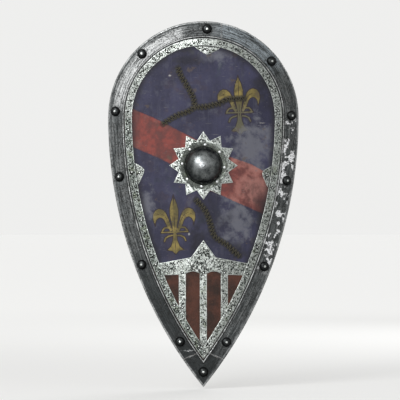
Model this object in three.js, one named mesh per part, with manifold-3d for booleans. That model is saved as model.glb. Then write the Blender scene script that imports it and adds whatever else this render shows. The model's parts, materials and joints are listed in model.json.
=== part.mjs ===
// A kite shield: a curved wooden board faced with painted leather, edged with a riveted steel rim,
// trimmed with strips, lobes and a barred lower field, and carrying a star-shaped boss plate.
// Behind the board are a forearm pad, a buckled forearm strap, a hand grip and a shoulder strap.
//
// Sizes are in millimetres. +Z is up, the painted face looks along -Y and +X is to its right.
// The origin is where the boss axis leaves the back of the board.
//
// Every plate is drawn as the front view shows it, in the plane (x, up), with its depth measured
// forwards from the front of the board. It is then wrapped round the upright axis of the curve.

import * as THREE from "three";
import { mergeVertices } from "three/addons/utils/BufferGeometryUtils.js";
import Module from "manifold-3d";

const wasm = await Module();
wasm.setup();

// Driving sizes of the whole shield
const HEIGHT = 1100; // from the top of the rim to the tip
const WIDTH = 576; // across the widest line, which is also twice the radius of the round top
const CURVE_RADIUS = 800; // of the front of the board, round an upright axis
const BOSS_DROP = 146; // from the widest line down to the boss axis
const BOARD_THICKNESS = 9;
const SEAT_GAP = 0.3; // left between pieces that lie on each other
const CUT_OVERRUN = 2; // how far a cutting tool runs past what it cuts
const BORE_CLEARANCE = 0.3; // between a rivet's shank and its hole

// Sheets and leathers
const RIM_SHEET = 1.2;
const TRIM_SHEET = 1.3;
const COVER_THICKNESS = 1.6;

// Steel rim
const RIM_WIDTH = 50.5; // of the flange on the painted side
const RIM_BACK_WIDTH = 32; // of the flange on the back
const RIM_BEVEL_WIDTH = 5;
const RIM_BEVEL_HEIGHT = 2.4;
const RIM_SEAM_OFFSET = 54; // the seam at the top, to the right of the centre line
const TIP_CAP_RADIUS = 104; // of the arc that ends the cap, round the tip
const COVER_INSET = 6; // from the outline to the edge of the leather

// Inner trim
const TRIM_WIDTH = 21.5;
const TRIM_JOINT = 1; // between the rim and the trim, and between the trim and what meets it
const LOBE_HEIGHT = 25;
const LOBE_LENGTH = 82;

// Lower field. Its levels are shares of the length from the boss axis down to the tip.
const PEAK_SHARE = 0.3363;
const SHOULDER_SHARE = 0.4144;
const CROSSBAR_END_TOP_SHARE = 0.4414;
const CROSSBAR_END_LOW_SHARE = 0.4955;
const LEATHER_JOINT_SHARE = 0.4595; // where the painted leather ends, under the crossbar
const CUSP_SHARE = 0.488; // where the crossbar meets the bars
const BAR_SPACING_SHARE = 0.21875; // of the half width, from one bar to the next
const RIGHT_BAR_END_RISE = 24.6; // of a side bar's rounded end above the edge of the trim
const LEFT_BAR_END_RISE = 5.6;
const SHOULDER_OUT = 37; // from the centre line to the foot of the crossbar's peak
const ARCH_RISE = 7; // of the crossbar's lower edge between the bars
const BAR_WIDTH = 21;

// Boss
const STAR_POINTS = 12;
const STAR_TIP_RADIUS = 103;
const STAR_ROOT_RADIUS = 77;
const STAR_BORE_RADIUS = 48;
const DOME_RADIUS = 56;
const DOME_HEIGHT = 43;
const DOME_WALL = 1.6;
const DOME_FLANGE_RADIUS = 69;
const COLLAR_RADIUS = 71;
const COLLAR_CLEARANCE = 1; // round the foot of the dome
const BOSS_PIP_RADIUS = 4;
const BOSS_PIP_HEIGHT = 2;

// Rivets: head radius, head height and shank radius
const RIM_RIVET = { head: 15, height: 10, shank: 2.6 };
const BOSS_RIVET = { head: 5.4, height: 3.6, shank: 1.9 };
const STRAP_RIVET = { head: 8, height: 4, shank: 2.4 };
const TRIM_PIN = { head: 4.8, height: 2.6, shank: 1.5, depth: 5 }; // depth: into the board
const RIM_RIVET_INSET = 23;
const BOSS_RIVET_COUNT = 8;
const BOSS_RIVET_CIRCLE_RADIUS = 63;
const TIP_RIVET_RISE = 46; // above the tip
const ROVE_RADIUS = 7;
const ROVE_THICKNESS = 1.5;
const PEEN_HEIGHT = 1.6;
const SUNK_HEAD_RADIUS = 6;
const SUNK_HEAD_THICKNESS = 1.5;

// Straps and pad
const LEATHER = 2.6;
const ELBOW_STRAP_WIDTH = 34;
const ELBOW_LOOP_HEIGHT = 92; // from the board to the heel bar of the buckle
const GUIGE_WIDTH = 28;
const GUIGE_LOOP_HEIGHT = 56;
const GUIGE_RISE = 205; // above the boss axis
const GRIP_STRAP_WIDTH = 30;
const GRIP_STRAP_THICKNESS = 4;
const GRIP_HEIGHT = 52;
const GRIP_SLEEVE_LENGTH = 84;
const GRIP_SLEEVE_WIDTH = 38;
const GRIP_SLEEVE_THICKNESS = 17;
const PAD_WIDTH = 180;
const PAD_HEIGHT = 146;
const PAD_THICKNESS = 24;
const PAD_CHANNELS = 4;
const PAD_EDGE = 5; // height of the pad's sewn edge
const PAD_CHANNEL_DEPTH = 5;

// Buckles. Their swings are in degrees, and everything else is in millimetres.
const BUCKLE_BAR_RADIUS = 2.2;
const BUCKLE_LENGTH = 24; // between the heel bar and the front bar, along the strap
const BUCKLE_SIDE_GAP = 1.2; // between the strap's edge and the frame
const BUCKLE_CORNER = 2.6;
const BUCKLE_BOW = 2.5; // of the front bar
const FRAME_SWING = 10;
const PRONG_SWING = 30;
const PRONG_RADIUS = 1.5;
const PRONG_EYE_WALL = 1.9;
const PRONG_EYE_WIDTH = 4;
const PRONG_CLEARANCE = 0.6; // round the prong in its hole
const STRAP_HOLE_SPACING = 17;
const FOLD_TAPER = 8; // from the heel bar to where the folded strap lies together
const FOLD_BACK = 30; // from the heel bar to the end of the fold
const KEEPER_WIDTH = 9;
const KEEPER_LEATHER = 2;
const KEEPER_TRAVEL = 6; // each way
const STRAP_END = 10; // past the level part of the strap

// Lacing of the torn leather
const LACE_RADIUS = 1.3;
const LACE_REACH = 7.5; // from the tear to a stitch hole
const LACE_STITCH_LENGTH = 12.5;

// How finely round shapes are divided
const FACET_COUNT = 13; // upright facets across the board
const TOP_STEPS = 18;
const SIDE_STEPS = 8;
const DOME_SIDES = 16;

// Sizes that follow from the ones above
const HALF_WIDTH = WIDTH / 2;
const SIDE_LENGTH = HEIGHT - HALF_WIDTH; // from the widest line down to the tip
const SIDE_RADIUS = (HALF_WIDTH ** 2 + SIDE_LENGTH ** 2) / WIDTH; // upright at the widest line
const SIDE_CENTRE = SIDE_RADIUS - HALF_WIDTH; // how far each side's centre lies past the middle
const WIDEST_LEVEL = BOSS_DROP;
const TIP_LEVEL = WIDEST_LEVEL - SIDE_LENGTH;
const PEAK_DROP = -TIP_LEVEL * PEAK_SHARE;
const SHOULDER_DROP = -TIP_LEVEL * SHOULDER_SHARE;
const CROSSBAR_END_TOP_DROP = -TIP_LEVEL * CROSSBAR_END_TOP_SHARE;
const CROSSBAR_END_LOW_DROP = -TIP_LEVEL * CROSSBAR_END_LOW_SHARE;
const LEATHER_JOINT_DROP = -TIP_LEVEL * LEATHER_JOINT_SHARE;
const CUSP_DROP = -TIP_LEVEL * CUSP_SHARE;
const BAR_SPACING = HALF_WIDTH * BAR_SPACING_SHARE;
const FACET_WIDTH = WIDTH / FACET_COUNT;
const MIDDLE_FACET_ANGLE = Math.asin(FACET_WIDTH / 2 / CURVE_RADIUS);
const BACK_DISTANCE = (CURVE_RADIUS - BOARD_THICKNESS) * Math.cos(MIDDLE_FACET_ANGLE);

// Depths, forwards from the front of the board
const BOARD_BACK = -BOARD_THICKNESS;
const COVER_BOTTOM = SEAT_GAP;
const COVER_TOP = COVER_BOTTOM + COVER_THICKNESS;
const PLATE_BOTTOM = COVER_TOP + SEAT_GAP;
const RIM_TOP = PLATE_BOTTOM + RIM_SHEET;
const TRIM_TOP = PLATE_BOTTOM + TRIM_SHEET;
const FLANGE_BOTTOM = TRIM_TOP + SEAT_GAP;
const FLANGE_TOP = FLANGE_BOTTOM + DOME_WALL;
const COLLAR_BOTTOM = FLANGE_TOP + SEAT_GAP;
const COLLAR_TOP = COLLAR_BOTTOM + TRIM_SHEET;
const RIM_BACK_TOP = BOARD_BACK - SEAT_GAP;
const RIM_BACK_BOTTOM = RIM_BACK_TOP - RIM_SHEET;

const TINY = 1e-4; // lengths below this count as nothing
const MITRE_SHARE = 0.5; // a bend is never thinned below this share of its width
const STATION_SPARE_SHARE = 0.05; // of a step, within which two stations would lie too close

// Solids: closed geometries joined and cut with manifold-3d

function bare(geometry) {
  const copy = geometry.clone();
  copy.deleteAttribute("normal");
  copy.deleteAttribute("uv");
  return mergeVertices(copy, TINY);
}

function solidFrom(geometry) {
  const merged = bare(geometry);
  const triVerts = new Uint32Array(merged.index.array);
  return new wasm.Manifold(
    new wasm.Mesh({ numProp: 3, vertProperties: merged.attributes.position.array, triVerts }),
  );
}

function geometryFrom(solid) {
  const mesh = solid.getMesh();
  const geometry = new THREE.BufferGeometry();
  geometry.setAttribute("position", new THREE.BufferAttribute(mesh.vertProperties, 3));
  geometry.setIndex(new THREE.BufferAttribute(mesh.triVerts, 1));
  return geometry;
}

function cut(geometry, tools) {
  const solid = tools.reduce((rest, tool) => rest.subtract(solidFrom(tool)), solidFrom(geometry));
  return geometryFrom(solid);
}

function join(...geometries) {
  const [first, ...others] = geometries.map(solidFrom);
  return geometryFrom(others.reduce((whole, other) => whole.add(other), first));
}

const keepWithin = (geometry, region) =>
  geometryFrom(solidFrom(geometry).intersect(solidFrom(region)));

// A geometry from a list of triangle corners, turned so that its faces point outwards.
function facingOut(corners) {
  let volume = 0;
  for (let i = 0; i < corners.length; i += 3) {
    volume += corners[i].dot(new THREE.Vector3().crossVectors(corners[i + 1], corners[i + 2]));
  }
  const geometry = new THREE.BufferGeometry().setFromPoints(corners);
  if (volume > 0) return geometry;
  const turned = corners.flatMap((corner, i) =>
    i % 3 === 0 ? [corner, corners[i + 2], corners[i + 1]] : [],
  );
  return new THREE.BufferGeometry().setFromPoints(turned);
}

// The curve of the board: flat positions (x, up, depth) wrapped onto upright facets

const facetLines = Array.from(
  { length: FACET_COUNT + 1 },
  (_, index) => index * FACET_WIDTH - HALF_WIDTH,
);

function facetLinePoint(index, depth) {
  const angle = Math.asin(facetLines[index] / CURVE_RADIUS);
  const radius = CURVE_RADIUS + depth;
  return new THREE.Vector2(radius * Math.sin(angle), BACK_DISTANCE - radius * Math.cos(angle));
}

function facetIndexAt(x) {
  const index = Math.floor((x + HALF_WIDTH) / FACET_WIDTH);
  return THREE.MathUtils.clamp(index, 0, FACET_COUNT - 1);
}

function wrapPoint(flat) {
  const index = facetIndexAt(flat.x);
  const share = (flat.x - facetLines[index]) / FACET_WIDTH;
  const place = facetLinePoint(index, flat.z).lerp(facetLinePoint(index + 1, flat.z), share);
  return new THREE.Vector3(place.x, place.y, flat.y);
}

// The direction that points forwards out of the facet at x.
function facetNormal(x) {
  const index = facetIndexAt(x);
  const along = facetLinePoint(index + 1, 0).sub(facetLinePoint(index, 0)).normalize();
  return new THREE.Vector3(along.y, -along.x, 0);
}

// Cuts one triangle along the upright line at x, and adds what results to the list.
function cutTriangle(triangle, x, list) {
  const left = triangle.filter((corner) => corner.x < x - TINY).length;
  const right = triangle.filter((corner) => corner.x > x + TINY).length;
  if (!left || !right) {
    list.push(triangle);
    return;
  }
  const crossing = (a, b) => {
    const [low, high] = a.x < b.x ? [a, b] : [b, a];
    return low.clone().lerp(high, (x - low.x) / (high.x - low.x)).setX(x);
  };
  const loop = [];
  triangle.forEach((corner, i) => {
    const next = triangle[(i + 1) % 3];
    loop.push(corner);
    const [here, there] = [corner.x - x, next.x - x];
    const apart = Math.min(Math.abs(here), Math.abs(there)) > TINY;
    if (here * there < 0 && apart) loop.push(crossing(corner, next));
  });
  for (const keep of [(p) => p.x < x + TINY, (p) => p.x > x - TINY]) {
    const side = loop.filter(keep);
    for (let i = 1; i + 1 < side.length; i++) list.push([side[0], side[i], side[i + 1]]);
  }
}

// Cuts a flat geometry along the facet lines and wraps it.
function wrap(geometry) {
  const flat = bare(geometry).toNonIndexed().getAttribute("position");
  let triangles = [];
  for (let i = 0; i < flat.count; i += 3) {
    triangles.push([i, i + 1, i + 2].map((n) => new THREE.Vector3().fromBufferAttribute(flat, n)));
  }
  for (const x of facetLines.slice(1, -1)) {
    const pieces = [];
    for (const triangle of triangles) cutTriangle(triangle, x, pieces);
    triangles = pieces;
  }
  return facingOut(triangles.flat().map(wrapPoint));
}

// The outline. Stations run from 0 at the tip, up the right side to 1, over the round top to 2 and
// down the left side to 3 at the tip again. The inset is measured inwards from the outline.

function edgePoint(station, inset) {
  if (station >= 1 && station <= 2) {
    const angle = (station - 1) * Math.PI;
    const radius = HALF_WIDTH - inset;
    return new THREE.Vector2(radius * Math.cos(angle), WIDEST_LEVEL + radius * Math.sin(angle));
  }
  const side = station < 1 ? 1 : -1;
  const share = station < 1 ? 1 - station : station - 2;
  const radius = SIDE_RADIUS - inset;
  const angle = share * Math.acos(SIDE_CENTRE / radius);
  const out = radius * Math.cos(angle) - SIDE_CENTRE;
  return new THREE.Vector2(side * out, WIDEST_LEVEL - radius * Math.sin(angle));
}

// The station of a level on the right side.
function rightStation(level, inset) {
  const radius = SIDE_RADIUS - inset;
  return 1 - Math.asin((WIDEST_LEVEL - level) / radius) / Math.acos(SIDE_CENTRE / radius);
}

// Stations from one to another, close enough together to follow the outline.
function stationsBetween(from, to) {
  const list = [from];
  for (let whole = 0; whole < 3; whole++) {
    const steps = whole === 1 ? TOP_STEPS : SIDE_STEPS;
    for (let i = 0; i < steps; i++) {
      const station = whole + i / steps;
      const spare = STATION_SPARE_SHARE / steps;
      if (station > from + spare && station < to - spare) list.push(station);
    }
  }
  return [...list, to];
}

const outlineBetween = (from, to, inset) =>
  stationsBetween(from, to).map((station) => edgePoint(station, inset));

// Flat shapes

function plate(outline, bottom, top, holes = []) {
  const shape = new THREE.Shape(outline);
  shape.holes = holes.map((hole) => new THREE.Path(hole));
  const geometry = new THREE.ExtrudeGeometry(shape, { depth: top - bottom, bevelEnabled: false });
  return geometry.translate(0, 0, bottom);
}

// A plate with a convex outline, wrapped facet by facet.
function convexPlate(outline, bottom, top) {
  const points = [];
  outline.forEach((point, i) => {
    const next = outline[(i + 1) % outline.length];
    const crossed = facetLines.filter((x) => (point.x - x) * (next.x - x) < -TINY);
    if (next.x < point.x) crossed.reverse();
    const run = next.x - point.x;
    points.push(point, ...crossed.map((x) => point.clone().lerp(next, (x - point.x) / run).setX(x)));
  });
  const corners = [];
  const at = (point, depth) => wrapPoint(new THREE.Vector3(point.x, point.y, depth));
  for (let index = 0; index < FACET_COUNT; index++) {
    const [low, high] = [facetLines[index], facetLines[index + 1]];
    const strip = points.filter((point) => point.x > low - TINY && point.x < high + TINY);
    for (let i = 1; i + 1 < strip.length; i++) {
      const fan = [strip[0], strip[i], strip[i + 1]];
      corners.push(...fan.map((point) => at(point, top)));
      corners.push(...fan.reverse().map((point) => at(point, bottom)));
    }
    strip.forEach((point, i) => {
      const next = strip[(i + 1) % strip.length];
      const inner = [low, high].some(
        (x) => Math.abs(point.x - x) < TINY && Math.abs(next.x - x) < TINY,
      );
      if (inner) return;
      const [a, b, c, d] = [at(point, bottom), at(next, bottom), at(next, top), at(point, top)];
      corners.push(a, b, c, a, c, d);
    });
  }
  return facingOut(corners);
}

// A profile of [inset, depth] corners swept along the outline through the given stations.
function sweepEdge(profile, stations) {
  const ring = (station) =>
    profile.map(([inset, depth]) => {
      const point = edgePoint(station, inset);
      return new THREE.Vector3(point.x, point.y, depth);
    });
  return loft(stations.map(ring), profile.map(([inset, depth]) => new THREE.Vector2(inset, depth)));
}

// Rings of corners joined into one closed body, with its ends closed as the section says.
function loft(rings, section) {
  const corners = [];
  for (let i = 0; i + 1 < rings.length; i++) {
    const [near, far] = [rings[i], rings[i + 1]];
    near.forEach((corner, k) => {
      const next = (k + 1) % near.length;
      corners.push(corner, near[next], far[next], corner, far[next], far[k]);
    });
  }
  const faces = THREE.ShapeUtils.triangulateShape(section, []);
  const turned = THREE.ShapeUtils.isClockWise(section);
  for (const [a, b, c] of faces) {
    const [first, last] = [rings[0], rings[rings.length - 1]];
    corners.push(...(turned ? [first[a], first[b], first[c]] : [first[a], first[c], first[b]]));
    corners.push(...(turned ? [last[a], last[c], last[b]] : [last[a], last[b], last[c]]));
  }
  return facingOut(corners);
}

// Round shapes

// A solid of revolution whose axis points forwards, from [radius, depth] corners.
function turned(corners, sides) {
  const profile = corners.map(([radius, depth]) => new THREE.Vector2(radius, depth));
  const lathe = bare(new THREE.LatheGeometry(profile, sides)).toNonIndexed();
  const points = lathe.getAttribute("position");
  const list = Array.from({ length: points.count }, (_, i) =>
    new THREE.Vector3().fromBufferAttribute(points, i),
  );
  const kept = [];
  for (let i = 0; i < list.length; i += 3) {
    const [a, b, c] = list.slice(i, i + 3);
    const flat = [a.distanceTo(b), b.distanceTo(c), c.distanceTo(a)].some((side) => side < TINY);
    if (!flat) kept.push(a, b, c);
  }
  return facingOut(kept).rotateX(Math.PI / 2);
}

function arcCorners(radius, height, base, steps) {
  return Array.from({ length: steps + 1 }, (_, i) => {
    const angle = (i / steps) * (Math.PI / 2);
    return [radius * Math.sin(angle), base + height * Math.cos(angle)];
  });
}

const circle = (radius, sides, centre = new THREE.Vector2()) =>
  Array.from({ length: sides }, (_, i) => {
    const angle = ((i + 0.5) / sides) * 2 * Math.PI;
    return new THREE.Vector2(radius * Math.cos(angle), radius * Math.sin(angle)).add(centre);
  });

// A six-sided hole that a round shank passes through, along the depth axis.
function bore(shank, bottom, top) {
  const radius = (shank + BORE_CLEARANCE) / Math.cos(Math.PI / 6);
  return plate(circle(radius, 6), bottom - CUT_OVERRUN, top + CUT_OVERRUN);
}

// Where a rivet stands: the front of the board at (x, level), turned to the facet there.
function seat(x, level) {
  const place = wrapPoint(new THREE.Vector3(x, level, 0));
  const turn = new THREE.Quaternion().setFromUnitVectors(
    new THREE.Vector3(0, 0, 1),
    facetNormal(x),
  );
  return new THREE.Matrix4().compose(place, turn, new THREE.Vector3(1, 1, 1));
}

// Rivets, each drawn round the depth axis with depth 0 at the front of the board

function rimRivet() {
  const { head, height, shank } = RIM_RIVET;
  const seatDepth = RIM_TOP + SEAT_GAP;
  const rove = RIM_BACK_BOTTOM - SEAT_GAP;
  return turned(
    [
      ...arcCorners(head, height, seatDepth, 3),
      [shank, seatDepth],
      [shank, rove],
      [ROVE_RADIUS, rove],
      [ROVE_RADIUS, rove - ROVE_THICKNESS],
      [0, rove - ROVE_THICKNESS - PEEN_HEIGHT],
    ],
    8,
  );
}

function bossRivet() {
  const { head, height, shank } = BOSS_RIVET;
  const seatDepth = COLLAR_TOP + SEAT_GAP;
  return turned(
    [...arcCorners(head, height, seatDepth, 2), [shank, seatDepth], [shank, BOARD_BACK], [0, BOARD_BACK]],
    8,
  );
}

// A strap rivet: a round head on the strap and a flat head sunk into the board under the leather.
function strapRivet(strapThickness) {
  const { head, height, shank } = STRAP_RIVET;
  const seatDepth = BOARD_BACK - strapThickness - 2 * SEAT_GAP;
  return turned(
    [
      [0, 0],
      [SUNK_HEAD_RADIUS, 0],
      [SUNK_HEAD_RADIUS, -SUNK_HEAD_THICKNESS],
      [shank, -SUNK_HEAD_THICKNESS],
      [shank, seatDepth],
      ...arcCorners(head, -height, seatDepth, 2).reverse(),
    ],
    8,
  );
}

function sunkHeadPocket() {
  const radius = (SUNK_HEAD_RADIUS + BORE_CLEARANCE) / Math.cos(Math.PI / 8);
  return plate(circle(radius, 8), -SUNK_HEAD_THICKNESS - SEAT_GAP, CUT_OVERRUN);
}

// A nail that holds a strip to the board: a domed head, joined by its square shank to the strip.
function trimPin() {
  const { head, height, shank, depth } = TRIM_PIN;
  const seatDepth = TRIM_TOP + SEAT_GAP;
  const dome = turned([...arcCorners(head, height, seatDepth, 2), [0, seatDepth]], 6);
  return join(dome, plate(circle(shank, 4), -depth, seatDepth + height / 2));
}

// Joins pins to a flat strip.
const pinned = (strip, places) =>
  join(strip, ...places.map(({ x, y }) => trimPin().translate(x, y, 0)));

// The square holes that those pins go through or stand in.
function pinBoresAt(places) {
  const radius = TRIM_PIN.shank + BORE_CLEARANCE / Math.cos(Math.PI / 4);
  const tool = plate(circle(radius, 4), -TRIM_PIN.depth - SEAT_GAP, COVER_TOP + CUT_OVERRUN);
  return places.map(({ x, y }) => wrap(tool.clone().translate(x, y, 0)));
}

// Places round the rim: shares of the round top from right to left, and of each side from the
// widest line down to the tip.
const TOP_RIVET_SHARES = [0.006, 0.22, 0.487, 0.744, 0.978];
const RIGHT_RIVET_SHARES = [0.23, 0.551, 0.856];
const LEFT_RIVET_SHARES = [0.216, 0.544, 0.854];

const rimRivetPlaces = [
  ...TOP_RIVET_SHARES.map((share) => edgePoint(1 + share, RIM_RIVET_INSET)),
  ...RIGHT_RIVET_SHARES.map((share) => edgePoint(1 - share, RIM_RIVET_INSET)),
  ...LEFT_RIVET_SHARES.map((share) => edgePoint(2 + share, RIM_RIVET_INSET)),
  new THREE.Vector2(0, TIP_LEVEL + TIP_RIVET_RISE),
];

const BOSS_RIVET_TURN = 5; // degrees from upright to the first rivet
const bossRivetPlaces = Array.from({ length: BOSS_RIVET_COUNT }, (_, i) => {
  const angle = THREE.MathUtils.degToRad(90 - BOSS_RIVET_TURN) - (i / BOSS_RIVET_COUNT) * 2 * Math.PI;
  return new THREE.Vector2(Math.cos(angle), Math.sin(angle)).multiplyScalar(BOSS_RIVET_CIRCLE_RADIUS);
});

const boresAt = (places, shank, bottom, top) =>
  places.map((place) => bore(shank, bottom, top).applyMatrix4(seat(place.x, place.y)));

const rimBores = () => boresAt(rimRivetPlaces, RIM_RIVET.shank, RIM_BACK_BOTTOM, RIM_TOP);
const bossBores = () => boresAt(bossRivetPlaces, BOSS_RIVET.shank, BOARD_BACK, COLLAR_TOP);

// Straps. Each set of straps has its own frame: along the strap, out from the board and across.

// The frame of a set of straps on the back of the facet at x: its middle, and how it is turned.
function backFrame(x, level, along) {
  const out = facetNormal(x).negate();
  const place = wrapPoint(new THREE.Vector3(x, level, BOARD_BACK));
  const across = new THREE.Vector3().crossVectors(along, out);
  return new THREE.Matrix4().makeBasis(along, out, across).setPosition(place);
}

// A band of leather along a line of points (along, out), centred across.
function band(line, thickness, width) {
  const sideways = line.map((point, i) => {
    const before = line[Math.max(i - 1, 0)];
    const after = line[Math.min(i + 1, line.length - 1)];
    const inDirection = point.clone().sub(before).normalize();
    const outDirection = after.clone().sub(point).normalize();
    const direction = inDirection.clone().add(outDirection).normalize();
    const open = Math.max(direction.dot(i ? inDirection : outDirection), MITRE_SHARE);
    return new THREE.Vector2(-direction.y, direction.x).multiplyScalar(thickness / 2 / open);
  });
  const left = line.map((point, i) => point.clone().add(sideways[i]));
  const right = line.map((point, i) => point.clone().sub(sideways[i]));
  return plate([...left, ...right.reverse()], -width / 2, width / 2);
}

const bend = (from, fromControl, toControl, to, steps = 7) =>
  new THREE.CubicBezierCurve(from, fromControl, toControl, to).getPoints(steps);

const at = (along, out) => new THREE.Vector2(along, out);

// A hole punched through a strap, at a place along it, towards the board.
function punched(along, out, length, width) {
  const [halfLength, halfWidth] = [length / 2, width / 2];
  const shape = [
    at(-halfLength, -halfWidth / 2),
    at(-halfLength + halfWidth / 2, -halfWidth),
    at(halfLength - halfWidth / 2, -halfWidth),
    at(halfLength, -halfWidth / 2),
    at(halfLength, halfWidth / 2),
    at(halfLength - halfWidth / 2, halfWidth),
    at(-halfLength + halfWidth / 2, halfWidth),
    at(-halfLength, halfWidth / 2),
  ];
  const reach = LEATHER + CUT_OVERRUN;
  return plate(shape, -reach, reach).rotateX(Math.PI / 2).translate(along, out, 0);
}

// A rivet hole in a strap's foot, square to the foot's slope.
function footBore(place, slope = 0) {
  const reach = GRIP_STRAP_THICKNESS / 2;
  const tool = bore(STRAP_RIVET.shank, -reach, reach).rotateX(Math.PI / 2);
  return tool.rotateZ(slope).translate(place.x, place.y, 0);
}

// A round bar bent along points, with its ends closed.
function rod(points, radius, sides) {
  return loft(tubeRings(points, radius, sides, false), circle(1, sides));
}

// A round bar bent into a closed ring.
function ringRod(points, radius, sides) {
  const rings = tubeRings(points, radius, sides, true);
  const corners = [];
  rings.forEach((near, i) => {
    const far = rings[(i + 1) % rings.length];
    near.forEach((corner, k) => {
      const next = (k + 1) % near.length;
      corners.push(corner, near[next], far[next], corner, far[next], far[k]);
    });
  });
  return facingOut(corners);
}

// Rings round each point of a line that lies in, or nearly in, one plane.
function tubeRings(points, radius, sides, closed) {
  const count = points.length;
  const neighbour = (i) =>
    closed ? points[(i + count) % count] : points[THREE.MathUtils.clamp(i, 0, count - 1)];
  const middle = points
    .reduce((sum, point) => sum.add(point), new THREE.Vector3())
    .divideScalar(count);
  const normal = new THREE.Vector3();
  points.forEach((point, i) => {
    const [a, b] = [point.clone().sub(middle), neighbour(i + 1).clone().sub(middle)];
    normal.add(new THREE.Vector3().crossVectors(a, b));
  });
  normal.normalize();
  return points.map((point, i) => {
    const inDirection = point.clone().sub(neighbour(i - 1)).normalize();
    const outDirection = neighbour(i + 1).clone().sub(point).normalize();
    const along = inDirection.clone().add(outDirection).normalize();
    const open = Math.max(along.dot(inDirection.length() ? inDirection : outDirection), MITRE_SHARE);
    const sideways = new THREE.Vector3().crossVectors(normal, along).normalize();
    return circle(1, sides).map(({ x, y }) =>
      point
        .clone()
        .addScaledVector(sideways, (x * radius) / open)
        .addScaledVector(normal, y * radius),
    );
  });
}

// Shares of a buckled strap's crown, and of its buckle's length and rise
const HEEL_SHARE = 0.15;
const CROWN_LEAD_SHARE = 2.1; // where the strap starts to bend down
const CORNER_SHARE = 0.3;
const BOW_SHARE = 0.35;
const PRONG_LEAN_SHARE = 0.05;
const PRONG_LINE_SHARES = [
  [0.02, 0.24], [0.035, 0.45], [0.05, 0.72], [0.15, 0.9], [0.5, 0.97], [1, 1], [1.2, 0.98],
];
const FOLD_STEPS = 6;

// A strap in two lengths joined by a buckle. The long one passes under the front bar of the frame
// and over its heel bar, and the short one is folded round the heel bar. Half of the level part of
// the strap is the crown, and the feet are where the strap lies on the board.
function buckledStrap({ width, height, crown, feet }) {
  const bar = BUCKLE_BAR_RADIUS + SEAT_GAP;
  const loop = bar + LEATHER / 2; // centre line of the fold round the bar
  const layer = LEATHER / 2 + SEAT_GAP; // from the middle of the fold to the centre of each layer
  const heel = at(crown * HEEL_SHARE, height);
  const longLevel = height + loop + LEATHER + SEAT_GAP;
  const longTop = longLevel + LEATHER / 2;
  const frontBar = at(heel.x - BUCKLE_LENGTH, longTop + SEAT_GAP + bar);
  const lead = crown * CROWN_LEAD_SHARE;

  const longLine = [
    feet.left.end,
    ...bend(feet.left.start, feet.left.control, at(-lead, longLevel), at(-crown, longLevel)),
    at(crown + STRAP_END, longLevel),
  ];
  const fold = Array.from({ length: FOLD_STEPS + 1 }, (_, i) => {
    const angle = (i / FOLD_STEPS) * Math.PI;
    return at(heel.x - loop * Math.sin(angle), height + loop * Math.cos(angle));
  });
  const shortLine = [
    feet.right.end,
    ...bend(feet.right.start, feet.right.control, at(lead, height + layer), at(crown, height + layer)),
    at(heel.x + FOLD_TAPER, height + layer),
    ...fold,
    at(heel.x + FOLD_TAPER, height - layer),
    at(heel.x + FOLD_BACK, height - layer),
  ];

  // The prong's hole in use is long enough for the prong to swing in it.
  const swing = THREE.MathUtils.degToRad(FRAME_SWING + PRONG_SWING);
  const prongRoom = PRONG_RADIUS + PRONG_CLEARANCE;
  const holeFront = prongRoom + BUCKLE_LENGTH * PRONG_LEAN_SHARE;
  const holeBack =
    (longTop - height) * Math.sin(swing) + PRONG_RADIUS / Math.cos(swing) + PRONG_CLEARANCE;
  const holeMiddle = heel.x + (holeBack - holeFront) / 2;
  const spareHoles = [1, 2].map((turns) => heel.x - turns * STRAP_HOLE_SPACING);
  const long = cut(band(longLine, LEATHER, width), [
    punched(holeMiddle, longLevel, holeFront + holeBack, 2 * prongRoom),
    ...spareHoles.map((along) => punched(along, longLevel, 2 * prongRoom, 2 * prongRoom)),
    footBore(feet.left.rivet, feet.left.slope),
  ]);

  const eye = bar + PRONG_EYE_WALL;
  const prongSlot = new THREE.BoxGeometry(
    2 * (eye + loop),
    2 * (loop + LEATHER),
    PRONG_EYE_WIDTH + 2 * PRONG_CLEARANCE,
  ).translate(heel.x, height, 0);
  const short = cut(band(shortLine, LEATHER, width), [
    prongSlot,
    footBore(feet.right.rivet, feet.right.slope),
  ]);

  return {
    long,
    short,
    frame: buckleFrame(heel, frontBar, width),
    prong: buckleProng(heel, frontBar, eye),
    keeper: strapKeeper(
      crown - KEEPER_TRAVEL - KEEPER_WIDTH / 2 - SEAT_GAP,
      height - layer - LEATHER / 2,
      longTop,
      width,
    ),
  };
}

// The buckle's frame: a round bar bent to a straight heel, two sides and a bowed front.
function buckleFrame(heel, frontBar, width) {
  const half = width / 2 + BUCKLE_SIDE_GAP + BUCKLE_BAR_RADIUS;
  const straight = half - BUCKLE_CORNER;
  const slope = (frontBar.y - heel.y) / BUCKLE_LENGTH;
  const point = (forward, across) =>
    new THREE.Vector3(heel.x - forward, heel.y + forward * slope, across);
  const cornerTurn = BUCKLE_CORNER * CORNER_SHARE;
  const frontStart = BUCKLE_LENGTH - BUCKLE_CORNER;
  const side = [
    [0, straight],
    [cornerTurn, half - cornerTurn],
    [BUCKLE_CORNER, half],
    [frontStart, half],
    [BUCKLE_LENGTH - cornerTurn, half - cornerTurn],
    [BUCKLE_LENGTH, straight],
    [BUCKLE_LENGTH + BUCKLE_BOW, straight * BOW_SHARE],
  ];
  const far = side.map(([forward, across]) => point(forward, across));
  const near = side.map(([forward, across]) => point(forward, -across)).reverse();
  return ringRod([...far, ...near], BUCKLE_BAR_RADIUS, 8);
}

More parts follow.
